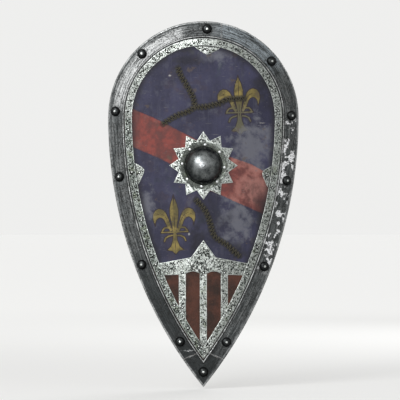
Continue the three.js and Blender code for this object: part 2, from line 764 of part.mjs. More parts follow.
// The prong: an eye round the heel bar, and a bent rod that rests on the front bar.
function buckleProng(heel, frontBar, eye) {
  const bar = BUCKLE_BAR_RADIUS + SEAT_GAP;
  const half = PRONG_EYE_WIDTH / 2;
  const ring = turned([[bar, -half], [eye, -half], [eye, half], [bar, half], [bar, -half]], 12);
  const reach = BUCKLE_LENGTH + BUCKLE_BOW;
  const rise = ((frontBar.y - heel.y) * reach) / BUCKLE_LENGTH + bar + PRONG_RADIUS;
  const line = PRONG_LINE_SHARES.map(
    ([forward, up]) => new THREE.Vector3(heel.x - reach * forward, heel.y + rise * up, 0),
  );
  return join(ring.translate(heel.x, heel.y, 0), rod(line, PRONG_RADIUS, 6));
}

// A leather loop that holds the strap's loose end, and slides along it.
function strapKeeper(along, low, high, width) {
  const half = width / 2 + SEAT_GAP;
  const wall = KEEPER_LEATHER;
  const rectangle = (reach) => [
    at(low - SEAT_GAP - reach, -half - reach),
    at(high + SEAT_GAP + reach, -half - reach),
    at(high + SEAT_GAP + reach, half + reach),
    at(low - SEAT_GAP - reach, half + reach),
  ];
  const loop = plate(rectangle(wall), -KEEPER_WIDTH / 2, KEEPER_WIDTH / 2, [rectangle(0).reverse()]);
  // The loop is drawn as (out, across) and stands square to the strap.
  const turn = new THREE.Matrix4().makeBasis(
    new THREE.Vector3(0, 1, 0),
    new THREE.Vector3(0, 0, 1),
    new THREE.Vector3(1, 0, 0),
  );
  return loop.applyMatrix4(turn).translate(along, 0, 0);
}

// Layouts of the three straps

// A foot that lies flat on the board, with the strap leaving it towards the crown.
function flatFoot(side, inner, length, thickness, lift) {
  const out = SEAT_GAP + thickness / 2;
  return {
    end: at(side * (inner + length), out),
    start: at(side * inner, out),
    control: at(side * (inner - lift), out),
    rivet: at(side * (inner + length / 2), out),
    slope: 0,
  };
}

const ELBOW_FOOT_INNER = 96;
const ELBOW_FOOT_LENGTH = 34;
const ELBOW_CROWN = 40; // half the level length at the top of the loop
const FOOT_LIFT = 34;
const ELBOW_FACET_COUNT = 3; // facets from the middle one to the one it stands on
const elbowX = ELBOW_FACET_COUNT * FACET_WIDTH;
const upwards = new THREE.Vector3(0, 0, 1);
const elbowFrame = backFrame(elbowX, 0, upwards);
const elbow = buckledStrap({
  width: ELBOW_STRAP_WIDTH,
  height: ELBOW_LOOP_HEIGHT,
  crown: ELBOW_CROWN,
  feet: {
    left: flatFoot(-1, ELBOW_FOOT_INNER, ELBOW_FOOT_LENGTH, LEATHER, FOOT_LIFT),
    right: flatFoot(1, ELBOW_FOOT_INNER, ELBOW_FOOT_LENGTH, LEATHER, FOOT_LIFT),
  },
});

// The shoulder strap crosses the hollow of the back, so its feet lie on sloping facets.
const GUIGE_FACET_COUNT = 5;
const GUIGE_FOOT_SHARE = 0.745; // of a facet's width
const GUIGE_FOOT_LENGTH = GUIGE_FOOT_SHARE * FACET_WIDTH;
const GUIGE_CROWN = 42;
const guigeX = GUIGE_FACET_COUNT * FACET_WIDTH;
const sideways = new THREE.Vector3(1, 0, 0);
const guigeFrame = backFrame(0, GUIGE_RISE, sideways);

function slopingFoot(side, length) {
  const inverse = guigeFrame.clone().invert();
  const foot = backFrame(side * guigeX, GUIGE_RISE, sideways);
  const facet = facetNormal(side * guigeX).negate();
  const along = new THREE.Vector3(facet.y, -facet.x, 0).multiplyScalar(side);
  const centre = new THREE.Vector3()
    .setFromMatrixPosition(foot)
    .addScaledVector(facet, SEAT_GAP + LEATHER / 2);
  const local = (reach) => {
    const point = centre.clone().addScaledVector(along, reach).applyMatrix4(inverse);
    return at(point.x, point.y);
  };
  return {
    end: local(length / 2),
    start: local(-length / 2),
    control: local(-length / 2 - FOOT_LIFT),
    rivet: local(0),
    slope: Math.atan2(along.y * side, along.x * side),
  };
}

const guige = buckledStrap({
  width: GUIGE_WIDTH,
  height: GUIGE_LOOP_HEIGHT,
  crown: GUIGE_CROWN,
  feet: { left: slopingFoot(-1, GUIGE_FOOT_LENGTH), right: slopingFoot(1, GUIGE_FOOT_LENGTH) },
});

// The hand grip: a doubled strap with a stitched sleeve round its middle.
const GRIP_FOOT_INNER = 84;
const GRIP_FOOT_LENGTH = 30;
const GRIP_FOOT_LIFT = 18;
const gripX = -ELBOW_FACET_COUNT * FACET_WIDTH;
const gripFrame = backFrame(gripX, 0, upwards);

function gripStrap() {
  const foot = [GRIP_FOOT_INNER, GRIP_FOOT_LENGTH, GRIP_STRAP_THICKNESS, GRIP_FOOT_LIFT];
  const left = flatFoot(-1, ...foot);
  const right = flatFoot(1, ...foot);
  const half = GRIP_SLEEVE_LENGTH / 2;
  const start = at(-half, GRIP_HEIGHT);
  const end = at(half, GRIP_HEIGHT);
  const line = [
    left.end,
    ...bend(left.start, left.control, at(-half - GRIP_FOOT_LIFT, GRIP_HEIGHT), start),
    ...bend(end, at(half + GRIP_FOOT_LIFT, GRIP_HEIGHT), right.control, right.start),
    right.end,
  ];
  return cut(band(line, GRIP_STRAP_THICKNESS, GRIP_STRAP_WIDTH), [
    footBore(left.rivet),
    footBore(right.rivet),
  ]);
}

const SLEEVE_SHARE = 0.9; // of the level part of the grip strap

function gripSleeve() {
  const outer = circle(1, 14).map(({ x, y }) =>
    at((x * GRIP_SLEEVE_THICKNESS) / 2, (y * GRIP_SLEEVE_WIDTH) / 2),
  );
  const [halfOut, halfAcross] = [
    GRIP_STRAP_THICKNESS / 2 + SEAT_GAP,
    GRIP_STRAP_WIDTH / 2 + SEAT_GAP,
  ];
  const slot = [
    at(-halfOut, -halfAcross),
    at(-halfOut, halfAcross),
    at(halfOut, halfAcross),
    at(halfOut, -halfAcross),
  ];
  const half = (GRIP_SLEEVE_LENGTH * SLEEVE_SHARE) / 2;
  const turn = new THREE.Matrix4().makeBasis(
    new THREE.Vector3(0, 1, 0),
    new THREE.Vector3(0, 0, 1),
    new THREE.Vector3(1, 0, 0),
  );
  return plate(outer, -half, half, [slot]).applyMatrix4(turn).translate(0, GRIP_HEIGHT, 0);
}

const elbowRise = ELBOW_FOOT_INNER + ELBOW_FOOT_LENGTH / 2;
const gripRise = GRIP_FOOT_INNER + GRIP_FOOT_LENGTH / 2;
const strapRivetSeats = [
  { name: "elbow_strap_rivet_low", x: elbowX, rise: -elbowRise, leather: LEATHER },
  { name: "elbow_strap_rivet_top", x: elbowX, rise: elbowRise, leather: LEATHER },
  { name: "grip_rivet_low", x: gripX, rise: -gripRise, leather: GRIP_STRAP_THICKNESS },
  { name: "grip_rivet_top", x: gripX, rise: gripRise, leather: GRIP_STRAP_THICKNESS },
  { name: "guige_rivet_left", x: -guigeX, rise: GUIGE_RISE, leather: LEATHER },
  { name: "guige_rivet_right", x: guigeX, rise: GUIGE_RISE, leather: LEATHER },
];

function strapRivetBores() {
  return strapRivetSeats.flatMap(({ x, rise }) => [
    bore(STRAP_RIVET.shank, BOARD_BACK, 0).applyMatrix4(seat(x, rise)),
    sunkHeadPocket().applyMatrix4(seat(x, rise)),
  ]);
}

// Board and leather

const allPins = () => [...topPins, ...rightPins, ...leftPins, ...lobePins, ...crossbarPins, ...sideBarPins];
const boardInset = RIM_SHEET + SEAT_GAP;

function board() {
  const outline = outlineBetween(0, 3, boardInset).slice(0, -1);
  const blank = convexPlate(outline, BOARD_BACK, 0);
  const bores = [...rimBores(), ...bossBores(), ...strapRivetBores(), ...pinBoresAt(allPins())];
  return cut(blank, bores);
}

// The painted leather ends under the crossbar, and a plain panel fills the tip below it.

function faceCover() {
  const from = rightStation(-LEATHER_JOINT_DROP, COVER_INSET);
  const outline = outlineBetween(from, 3 - from, COVER_INSET);
  const pins = pinBoresAt([...topPins, ...rightPins, ...leftPins, ...lobePins]);
  return cut(convexPlate(outline, COVER_BOTTOM, COVER_TOP), [...rimBores(), ...bossBores(), ...pins]);
}

function lowerPanel() {
  const from = rightStation(-LEATHER_JOINT_DROP - 2 * SEAT_GAP, COVER_INSET);
  const right = outlineBetween(0, from, COVER_INSET);
  const left = outlineBetween(3 - from, 3, COVER_INSET).slice(0, -1);
  const pins = pinBoresAt([...rightPins, ...leftPins, ...crossbarPins, ...sideBarPins]);
  return cut(convexPlate([...right, ...left], COVER_BOTTOM, COVER_TOP), [...rimBores(), ...pins]);
}

// Rim

function rimProfile() {
  const bevelFoot = RIM_TOP - RIM_BEVEL_HEIGHT;
  return [
    [0, RIM_BACK_BOTTOM],
    [0, bevelFoot],
    [RIM_BEVEL_WIDTH, RIM_TOP],
    [RIM_WIDTH, RIM_TOP],
    [RIM_WIDTH, PLATE_BOTTOM],
    [RIM_BEVEL_WIDTH + SEAT_GAP, PLATE_BOTTOM],
    [RIM_SHEET, bevelFoot - SEAT_GAP],
    [RIM_SHEET, RIM_BACK_TOP],
    [RIM_BACK_WIDTH, RIM_BACK_TOP],
    [RIM_BACK_WIDTH, RIM_BACK_BOTTOM],
  ];
}

const STATION_GAP = TRIM_JOINT / SIDE_LENGTH; // a joint's width, as a share of one side
const rimSeam = 1 + Math.acos(RIM_SEAM_OFFSET / HALF_WIDTH) / Math.PI;

// The round region at the tip that the cap fills.
function tipRegion(radius) {
  const reach = RIM_BACK_TOP - RIM_SHEET - CUT_OVERRUN;
  const disc = plate(circle(radius, 28), reach, RIM_TOP + CUT_OVERRUN);
  return wrap(disc.translate(0, TIP_LEVEL, 0));
}

function rimHalf(from, to) {
  const blank = wrap(sweepEdge(rimProfile(), stationsBetween(from, to)));
  return cut(blank, [...rimBores(), tipRegion(TIP_CAP_RADIUS + SEAT_GAP)]);
}

function tipCap() {
  const corner = rightStation(TIP_LEVEL + TIP_CAP_RADIUS, 0);
  const side = stationsBetween(0, corner);
  const stations = [...side.map((station) => 3 - station).reverse().slice(0, -1), ...side];
  const blank = wrap(sweepEdge(rimProfile(), stations));
  return cut(keepWithin(blank, tipRegion(TIP_CAP_RADIUS)), rimBores());
}

// Trim strips and lobes

const TRIM_OUTER = RIM_WIDTH + TRIM_JOINT;
const TRIM_INNER = TRIM_OUTER + TRIM_WIDTH;
const TRIM_MIDDLE = TRIM_OUTER + TRIM_WIDTH / 2;
const fieldEdge = TRIM_INNER + TRIM_JOINT;

// Pins along the trim: shares of the round top from right to left, and of each side downwards
const TOP_PIN_SHARES = [0.029, 0.114, 0.289, 0.428, 0.524, 0.662, 0.819, 0.95];
const RIGHT_PIN_SHARES = [0.03, 0.183, 0.283, 0.527, 0.64, 0.798, 0.968, 0.993];
const LEFT_PIN_SHARES = [0.05, 0.22, 0.415, 0.6, 0.78, 0.968];

const topPins = TOP_PIN_SHARES.map((share) => edgePoint(1 + share, TRIM_MIDDLE));
const rightPins = RIGHT_PIN_SHARES.map((share) => edgePoint(1 - share, TRIM_MIDDLE));
const leftPins = LEFT_PIN_SHARES.map((share) => edgePoint(2 + share, TRIM_MIDDLE));

function flatStrip(from, to) {
  const profile = [
    [TRIM_OUTER, PLATE_BOTTOM],
    [TRIM_OUTER, TRIM_TOP],
    [TRIM_INNER, TRIM_TOP],
    [TRIM_INNER, PLATE_BOTTOM],
  ];
  return sweepEdge(profile, stationsBetween(from, to));
}

const topStrip = () => wrap(pinned(flatStrip(1 + STATION_GAP, 2 - STATION_GAP), topPins));

// Each side strip widens where a side bar ends on it, and is cut out for the bar's rounded end.
function sideStrip(from, to, pins, side, barEnd) {
  const half = BAR_WIDTH / 2;
  const centre = side * BAR_SPACING;
  const [inner, outer] = [centre - side * half, centre + side * half];
  const low = TRIM_WIDTH / 2;
  const outline = [
    at(inner, fieldLevel(inner) - low),
    at(outer, fieldLevel(outer) - low),
    at(outer, fieldLevel(outer)),
    at(inner, barEnd + half),
  ];
  if (side < 0) outline.reverse();
  const widening = plate(outline, PLATE_BOTTOM, TRIM_TOP);
  const round = barEndOutline(centre, barEnd, SEAT_GAP);
  const past = barEnd + 2 * BAR_WIDTH;
  const barTool = plate(
    [...round, at(round[BAR_END_STEPS].x, past), at(round[0].x, past)],
    PLATE_BOTTOM - CUT_OVERRUN,
    TRIM_TOP + CUT_OVERRUN,
  );
  return wrap(pinned(cut(join(flatStrip(from, to), widening), [barTool]), pins));
}

// The level of the field's edge at x, near the tip.
function fieldLevel(x) {
  const radius = SIDE_RADIUS - TRIM_INNER;
  return WIDEST_LEVEL - Math.sqrt(radius ** 2 - (Math.abs(x) + SIDE_CENTRE) ** 2);
}

// The rounded end of a side bar, grown by a gap.
function barEndOutline(centre, end, gap) {
  const radius = BAR_WIDTH / 2 + gap;
  return Array.from({ length: BAR_END_STEPS + 1 }, (_, i) => {
    const angle = Math.PI * (1 + i / BAR_END_STEPS);
    return at(centre + radius * Math.cos(angle), end + BAR_WIDTH / 2 + radius * Math.sin(angle));
  });
}

const BAR_END_STEPS = 6;

// A lobe's outline: along the trim, in half lengths, and inwards, in heights
const LOBE_SHARES = [
  [-1, 0], [-0.7, 0.42], [-0.34, 0.83], [-0.15, 0.97], [0, 1],
  [0.15, 0.97], [0.34, 0.83], [0.7, 0.42], [1, 0], [0.5, 0], [0, 0], [-0.5, 0],
];
const LOBE_PIN_SHARE = 0.42; // of the lobe's height
const TOP_LOBE_STATION = 1.482;
const RIGHT_LOBE_STATION = 0.752;
const LEFT_LOBE_STATION = 2.236;
const lobePin = (station) => edgePoint(station, fieldEdge + LOBE_PIN_SHARE * LOBE_HEIGHT);
const lobePins = [TOP_LOBE_STATION, RIGHT_LOBE_STATION, LEFT_LOBE_STATION].map(lobePin);

function lobe(station) {
  const sideRun = SIDE_RADIUS * Math.acos(SIDE_CENTRE / SIDE_RADIUS);
  const run = station > 1 && station < 2 ? (HALF_WIDTH - fieldEdge) * Math.PI : sideRun;
  const outline = LOBE_SHARES.map(([along, inwards]) =>
    edgePoint(station + (along * LOBE_LENGTH) / 2 / run, fieldEdge + inwards * LOBE_HEIGHT),
  );
  return wrap(pinned(plate(outline, PLATE_BOTTOM, TRIM_TOP), [lobePin(station)]));
}

// Crossbar and bars of the lower field

const fieldCorner = (drop) => edgePoint(rightStation(-drop, fieldEdge), fieldEdge);
const crossbarPins = [-BAR_SPACING, 0, BAR_SPACING].map((x) =>
  at(x, -CUSP_DROP + TRIM_PIN.shank + TRIM_SHEET),
);
const rightBarEnd = fieldLevel(BAR_SPACING) + RIGHT_BAR_END_RISE;
const leftBarEnd = fieldLevel(BAR_SPACING) + LEFT_BAR_END_RISE;
const sideBarPins = [
  at(BAR_SPACING, rightBarEnd + BAR_WIDTH / 2),
  at(-BAR_SPACING, leftBarEnd + BAR_WIDTH / 2),
];

function crossbar() {
  const half = BAR_WIDTH / 2;
  const right = [
    at(half, -CUSP_DROP),
    at(BAR_SPACING / 2, -CUSP_DROP + ARCH_RISE),
    at(BAR_SPACING - half, -CUSP_DROP),
    at(BAR_SPACING + half, -CUSP_DROP - ARCH_RISE / 2),
    fieldCorner(CROSSBAR_END_LOW_DROP),
    fieldCorner((CROSSBAR_END_LOW_DROP + CROSSBAR_END_TOP_DROP) / 2),
    fieldCorner(CROSSBAR_END_TOP_DROP),
    at(SHOULDER_OUT, -SHOULDER_DROP),
  ];
  const left = right.map(({ x, y }) => at(-x, y)).reverse();
  const outline = [...right, at(0, -PEAK_DROP), ...left];
  return wrap(pinned(plate(outline, PLATE_BOTTOM, TRIM_TOP), crossbarPins));
}

// The middle bar runs down to where the side strips meet.
function middleBar() {
  const half = BAR_WIDTH / 2;
  const foot = fieldLevel(half) + 2 * TRIM_JOINT;
  const point = fieldLevel(0) + 2 * TRIM_JOINT;
  const top = -CUSP_DROP - SEAT_GAP;
  const outline = [at(-half, foot), at(0, point), at(half, foot), at(half, top), at(-half, top)];
  return wrap(plate(outline, PLATE_BOTTOM, TRIM_TOP));
}

// A side bar runs from the crossbar to its rounded end in the widened strip.
function sideBar(side, pin) {
  const [centre, half] = [side * BAR_SPACING, BAR_WIDTH / 2];
  const end = barEndOutline(centre, pin.y - half, 0);
  const inner = at(centre - side * half, -CUSP_DROP - SEAT_GAP);
  const outer = at(centre + side * half, -CUSP_DROP - ARCH_RISE / 2 - SEAT_GAP);
  const top = side > 0 ? [outer, inner] : [inner, outer];
  return wrap(pinned(plate([...end, ...top], PLATE_BOTTOM, TRIM_TOP), [pin]));
}

// Boss

function starPlate() {
  const outline = Array.from({ length: 2 * STAR_POINTS }, (_, i) => {
    const angle = (i / STAR_POINTS) * Math.PI;
    const radius = i % 2 ? STAR_ROOT_RADIUS : STAR_TIP_RADIUS;
    return at(radius * Math.cos(angle), radius * Math.sin(angle));
  });
  const hole = circle(STAR_BORE_RADIUS, 16).reverse();
  return cut(wrap(plate(outline, PLATE_BOTTOM, TRIM_TOP, [hole])), bossBores());
}

function bossDome() {
  const outer = arcCorners(DOME_RADIUS, DOME_HEIGHT, FLANGE_TOP, 6);
  const inner = arcCorners(DOME_RADIUS - DOME_WALL, DOME_HEIGHT - DOME_WALL, FLANGE_BOTTOM, 3);
  const shell = turned(
    [
      [0, FLANGE_TOP + DOME_HEIGHT + BOSS_PIP_HEIGHT],
      [BOSS_PIP_RADIUS, FLANGE_TOP + DOME_HEIGHT + BOSS_PIP_HEIGHT / 2],
      ...outer.slice(1),
      [DOME_FLANGE_RADIUS, FLANGE_TOP],
      [DOME_FLANGE_RADIUS, FLANGE_BOTTOM],
      ...inner.reverse(),
    ],
    DOME_SIDES,
  );
  return cut(wrap(shell), bossBores());
}

function bossCollar() {
  const radius = (DOME_RADIUS + COLLAR_CLEARANCE) / Math.cos(Math.PI / DOME_SIDES);
  const hole = circle(radius, DOME_SIDES).reverse();
  const ring = plate(circle(COLLAR_RADIUS, 20), COLLAR_BOTTOM, COLLAR_TOP, [hole]);
  return cut(wrap(ring), bossBores());
}

// Lacing that closes the tears in the leather. The upper tear's lines are shares of the half width,
// across from the centre line and up from the boss axis.
const UPPER_TEAR_SHARES = [
  [[-0.263, 1.017], [-0.235, 0.94], [-0.172, 0.834], [-0.11, 0.717], [-0.088, 0.61]],
  [[-0.088, 0.61], [-0.167, 0.56], [-0.285, 0.518], [-0.42, 0.435]],
  [[-0.088, 0.61], [0.032, 0.615], [0.177, 0.655], [0.25, 0.69], [0.424, 0.703]],
];

// The lower tear's line: a share of the half width across, and of the way down from the star's
// points to the shoulders of the crossbar.
const LOWER_TEAR_SHARES = [
  [-0.075, 0.004], [0.005, 0.154], [0.05, 0.295], [0.08, 0.47], [0.11, 0.62],
  [0.175, 0.711], [0.25, 0.786], [0.315, 0.895], [0.375, 0.978],
];

const upperTears = UPPER_TEAR_SHARES.map((line) =>
  line.map(([x, up]) => new THREE.Vector3(x * HALF_WIDTH, up * HALF_WIDTH, 0)),
);
const lowerTear = LOWER_TEAR_SHARES.map(([x, down]) => {
  const drop = THREE.MathUtils.lerp(STAR_TIP_RADIUS, SHOULDER_DROP, down);
  return new THREE.Vector3(x * HALF_WIDTH, -drop, 0);
});

// A lace that zigzags across a tear.
function laceAlong(line) {
  const tear = new THREE.CatmullRomCurve3(line);
  const count = Math.round(tear.getLength() / LACE_STITCH_LENGTH) * 2;
  const depth = COVER_TOP + SEAT_GAP + LACE_RADIUS;
  const points = Array.from({ length: count + 1 }, (_, i) => {
    const centre = tear.getPointAt(i / count);
    const along = tear.getTangentAt(i / count);
    const atEnd = i === 0 || i === count;
    const side = atEnd ? 0 : LACE_REACH * (-1) ** i;
    return new THREE.Vector3(centre.x - along.y * side, centre.y + along.x * side, depth);
  });
  return rod(points, LACE_RADIUS, 4);
}

function lacing(tears) {
  const laces = tears.map(laceAlong);
  const flat = bare(laces.length > 1 ? join(...laces) : laces[0]).toNonIndexed();
  const points = flat.getAttribute("position");
  const corners = Array.from({ length: points.count }, (_, i) =>
    wrapPoint(new THREE.Vector3().fromBufferAttribute(points, i)),
  );
  return facingOut(corners);
}

// The forearm pad: crowned and sewn into upright channels, with its base against the board.
function forearmPad() {
  const [columns, rows] = [16, 8];
  const base = BOARD_BACK - SEAT_GAP;
  const cornerPull = 0.12; // the corners are drawn in, as a share of each half side
  const grid = (surface) =>
    Array.from({ length: rows + 1 }, (_, row) =>
      Array.from({ length: columns + 1 }, (_, column) => {
        const [u, v] = [(2 * column) / columns - 1, (2 * row) / rows - 1];
        const pull = 1 - cornerPull * u * u * v * v;
        return surface(u, v, (u * pull * PAD_WIDTH) / 2, (v * pull * PAD_HEIGHT) / 2);
      }),
    );
  const crown = (u, v) => {
    const swell = Math.sqrt(Math.max(1 - u ** 4, 0)) * Math.sqrt(Math.max(1 - v ** 4, 0));
    const seam = Math.abs(Math.cos((Math.PI * PAD_CHANNELS * (u + 1)) / 2));
    const groove = PAD_CHANNEL_DEPTH * seam ** 6 * swell;
    return PAD_EDGE + (PAD_THICKNESS - PAD_EDGE) * swell - groove;
  };
  const back = grid((u, v, x, up) => wrapPoint(new THREE.Vector3(x, up, base - crown(u, v))));
  const front = grid((u, v, x, up) => wrapPoint(new THREE.Vector3(x, up, base)));
  const corners = [];
  const quad = (a, b, c, d) => corners.push(a, b, c, a, c, d);
  for (let row = 0; row < rows; row++) {
    for (let column = 0; column < columns; column++) {
      quad(back[row][column], back[row][column + 1], back[row + 1][column + 1], back[row + 1][column]);
      quad(front[row][column], front[row + 1][column], front[row + 1][column + 1], front[row][column + 1]);
    }
    quad(back[row][0], back[row + 1][0], front[row + 1][0], front[row][0]);
    quad(front[row][columns], front[row + 1][columns], back[row + 1][columns], back[row][columns]);
  }
  for (let column = 0; column < columns; column++) {
    quad(front[0][column], front[0][column + 1], back[0][column + 1], back[0][column]);
    quad(back[rows][column], back[rows][column + 1], front[rows][column + 1], front[rows][column]);
  }
  return facingOut(corners);
}

// Assembly

const material = (color, roughness, metalness) =>
  new THREE.MeshStandardMaterial({ color, roughness, metalness });

const rimSteel = material(0x62686a, 0.5, 0.9);
const bossSteel = material(0x4a4f50, 0.35, 0.95);
const etchedSteel = material(0xa9ada6, 0.5, 0.8);
const rivetSteel = material(0x3a3d40, 0.35, 0.9);
const buckleIron = material(0x6f6f6c, 0.4, 0.9);
const paintedLeather = material(0x46475f, 0.75, 0);
const panelLeather = material(0x6a3c31, 0.8, 0);
const strapLeather = material(0x5b3a24, 0.7, 0);
const padLeather = material(0x6f4a30, 0.75, 0);
const laceCord = material(0x2f2a21, 0.9, 0);
const boardWood = material(0x9c7748, 0.8, 0);

const shield = new THREE.Group();

function add(name, geometry, finish, placement = new THREE.Matrix4()) {
  const mesh = new THREE.Mesh(geometry, finish);
  mesh.name = name;
  mesh.applyMatrix4(placement);
  shield.add(mesh);
}

add("board", board(), boardWood);
add("face_cover", faceCover(), paintedLeather);
add("lower_panel", lowerPanel(), panelLeather);

add("rim_right", rimHalf(0, rimSeam - STATION_GAP), rimSteel);
add("rim_left", rimHalf(rimSeam + STATION_GAP, 3), rimSteel);
add("rim_tip_cap", tipCap(), rimSteel);

add("trim_top", topStrip(), etchedSteel);
add(
  "trim_right",
  sideStrip(STATION_GAP, 1 - STATION_GAP, rightPins, 1, rightBarEnd),
  etchedSteel,
);
add(
  "trim_left",
  sideStrip(2 + STATION_GAP, 3 - STATION_GAP, leftPins, -1, leftBarEnd),
  etchedSteel,
);
add("lobe_top", lobe(TOP_LOBE_STATION), etchedSteel);
add("lobe_right", lobe(RIGHT_LOBE_STATION), etchedSteel);
add("lobe_left", lobe(LEFT_LOBE_STATION), etchedSteel);

add("crossbar", crossbar(), etchedSteel);
add("field_bar_middle", middleBar(), etchedSteel);
add("field_bar_right", sideBar(1, sideBarPins[0]), etchedSteel);
add("field_bar_left", sideBar(-1, sideBarPins[1]), etchedSteel);

add("boss_star", starPlate(), etchedSteel);
add("boss_dome", bossDome(), bossSteel);
add("boss_collar", bossCollar(), etchedSteel);

rimRivetPlaces.forEach((place, i) => {
  add(`rim_rivet_${i + 1}`, rimRivet(), rivetSteel, seat(place.x, place.y));
});
bossRivetPlaces.forEach((place, i) => {
  add(`boss_rivet_${i + 1}`, bossRivet(), rivetSteel, seat(place.x, place.y));
});

add("lacing_upper", lacing(upperTears), laceCord);
add("lacing_lower", lacing([lowerTear]), laceCord);

add("forearm_pad", forearmPad(), padLeather);
add("elbow_strap_long", elbow.long, strapLeather, elbowFrame);
add("elbow_strap_short", elbow.short, strapLeather, elbowFrame);
add("elbow_buckle_frame", elbow.frame, buckleIron, elbowFrame);
add("elbow_buckle_prong", elbow.prong, buckleIron, elbowFrame);
add("elbow_keeper", elbow.keeper, strapLeather, elbowFrame);
add("guige_long", guige.long, strapLeather, guigeFrame);
add("guige_short", guige.short, strapLeather, guigeFrame);
add("guige_buckle_frame", guige.frame, buckleIron, guigeFrame);
add("guige_buckle_prong", guige.prong, buckleIron, guigeFrame);
add("guige_keeper", guige.keeper, strapLeather, guigeFrame);
add("grip_strap", gripStrap(), strapLeather, gripFrame);
add("grip_sleeve", gripSleeve(), padLeather, gripFrame);

for (const { name, x, rise, leather } of strapRivetSeats) {
  add(name, strapRivet(leather), rivetSteel, seat(x, rise));
}

export default shield;
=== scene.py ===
import json
import logging
import math
from dataclasses import dataclass
from enum import Enum
from random import Random
from typing import Callable, Sequence

import bmesh
import bpy
import numpy as np
from bmesh.types import BMesh, BMEdge, BMFace, BMVert
from mathutils import Matrix, Vector, noise
from mathutils.bvhtree import BVHTree

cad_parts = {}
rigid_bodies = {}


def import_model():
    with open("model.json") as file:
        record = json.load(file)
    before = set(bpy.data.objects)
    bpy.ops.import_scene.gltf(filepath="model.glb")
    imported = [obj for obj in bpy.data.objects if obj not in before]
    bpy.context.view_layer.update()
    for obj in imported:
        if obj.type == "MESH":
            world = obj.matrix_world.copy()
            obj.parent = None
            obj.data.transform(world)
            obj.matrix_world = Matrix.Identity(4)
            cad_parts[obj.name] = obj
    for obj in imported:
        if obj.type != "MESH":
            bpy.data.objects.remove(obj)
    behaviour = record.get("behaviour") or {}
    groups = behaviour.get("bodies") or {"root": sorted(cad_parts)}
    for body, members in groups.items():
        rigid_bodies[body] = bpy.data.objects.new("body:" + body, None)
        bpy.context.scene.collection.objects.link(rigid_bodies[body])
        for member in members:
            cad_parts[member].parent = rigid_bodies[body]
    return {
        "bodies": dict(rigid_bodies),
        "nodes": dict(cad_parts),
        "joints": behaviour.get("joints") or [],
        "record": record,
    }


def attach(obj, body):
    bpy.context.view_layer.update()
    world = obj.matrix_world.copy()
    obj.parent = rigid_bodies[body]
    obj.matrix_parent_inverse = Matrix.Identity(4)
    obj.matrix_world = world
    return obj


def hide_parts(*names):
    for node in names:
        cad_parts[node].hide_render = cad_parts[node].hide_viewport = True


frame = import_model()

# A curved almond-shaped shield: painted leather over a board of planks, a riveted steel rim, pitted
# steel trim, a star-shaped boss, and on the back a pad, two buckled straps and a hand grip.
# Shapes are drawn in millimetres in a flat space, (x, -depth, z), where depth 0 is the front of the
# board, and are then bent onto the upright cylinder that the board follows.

MM = 0.001
LOG = logging.getLogger("shield")
Point = tuple[float, float]
Colour = tuple[float, float, float]
Part = BMVert | BMEdge | BMFace


class Body(Enum):
    """The bodies that pieces ride on."""

    SHIELD = "shield"
    ELBOW_FRAME = "elbow_frame"
    ELBOW_PRONG = "elbow_prong"
    ELBOW_LOOP = "elbow_loop"
    GUIGE_FRAME = "guige_frame"
    GUIGE_PRONG = "guige_prong"
    GUIGE_LOOP = "guige_loop"


class Slot(Enum):
    """The record's material slots."""

    BOARD = "board_wood"
    FACE = "painted_leather"
    PANEL = "panel_leather"
    RIM = "rim_steel"
    ETCHED = "etched_steel"
    BOSS = "boss_steel"
    RIVET = "rivet_steel"
    LACE = "lace"
    PAD = "pad_leather"
    STRAP = "strap_leather"
    BUCKLE = "buckle_iron"


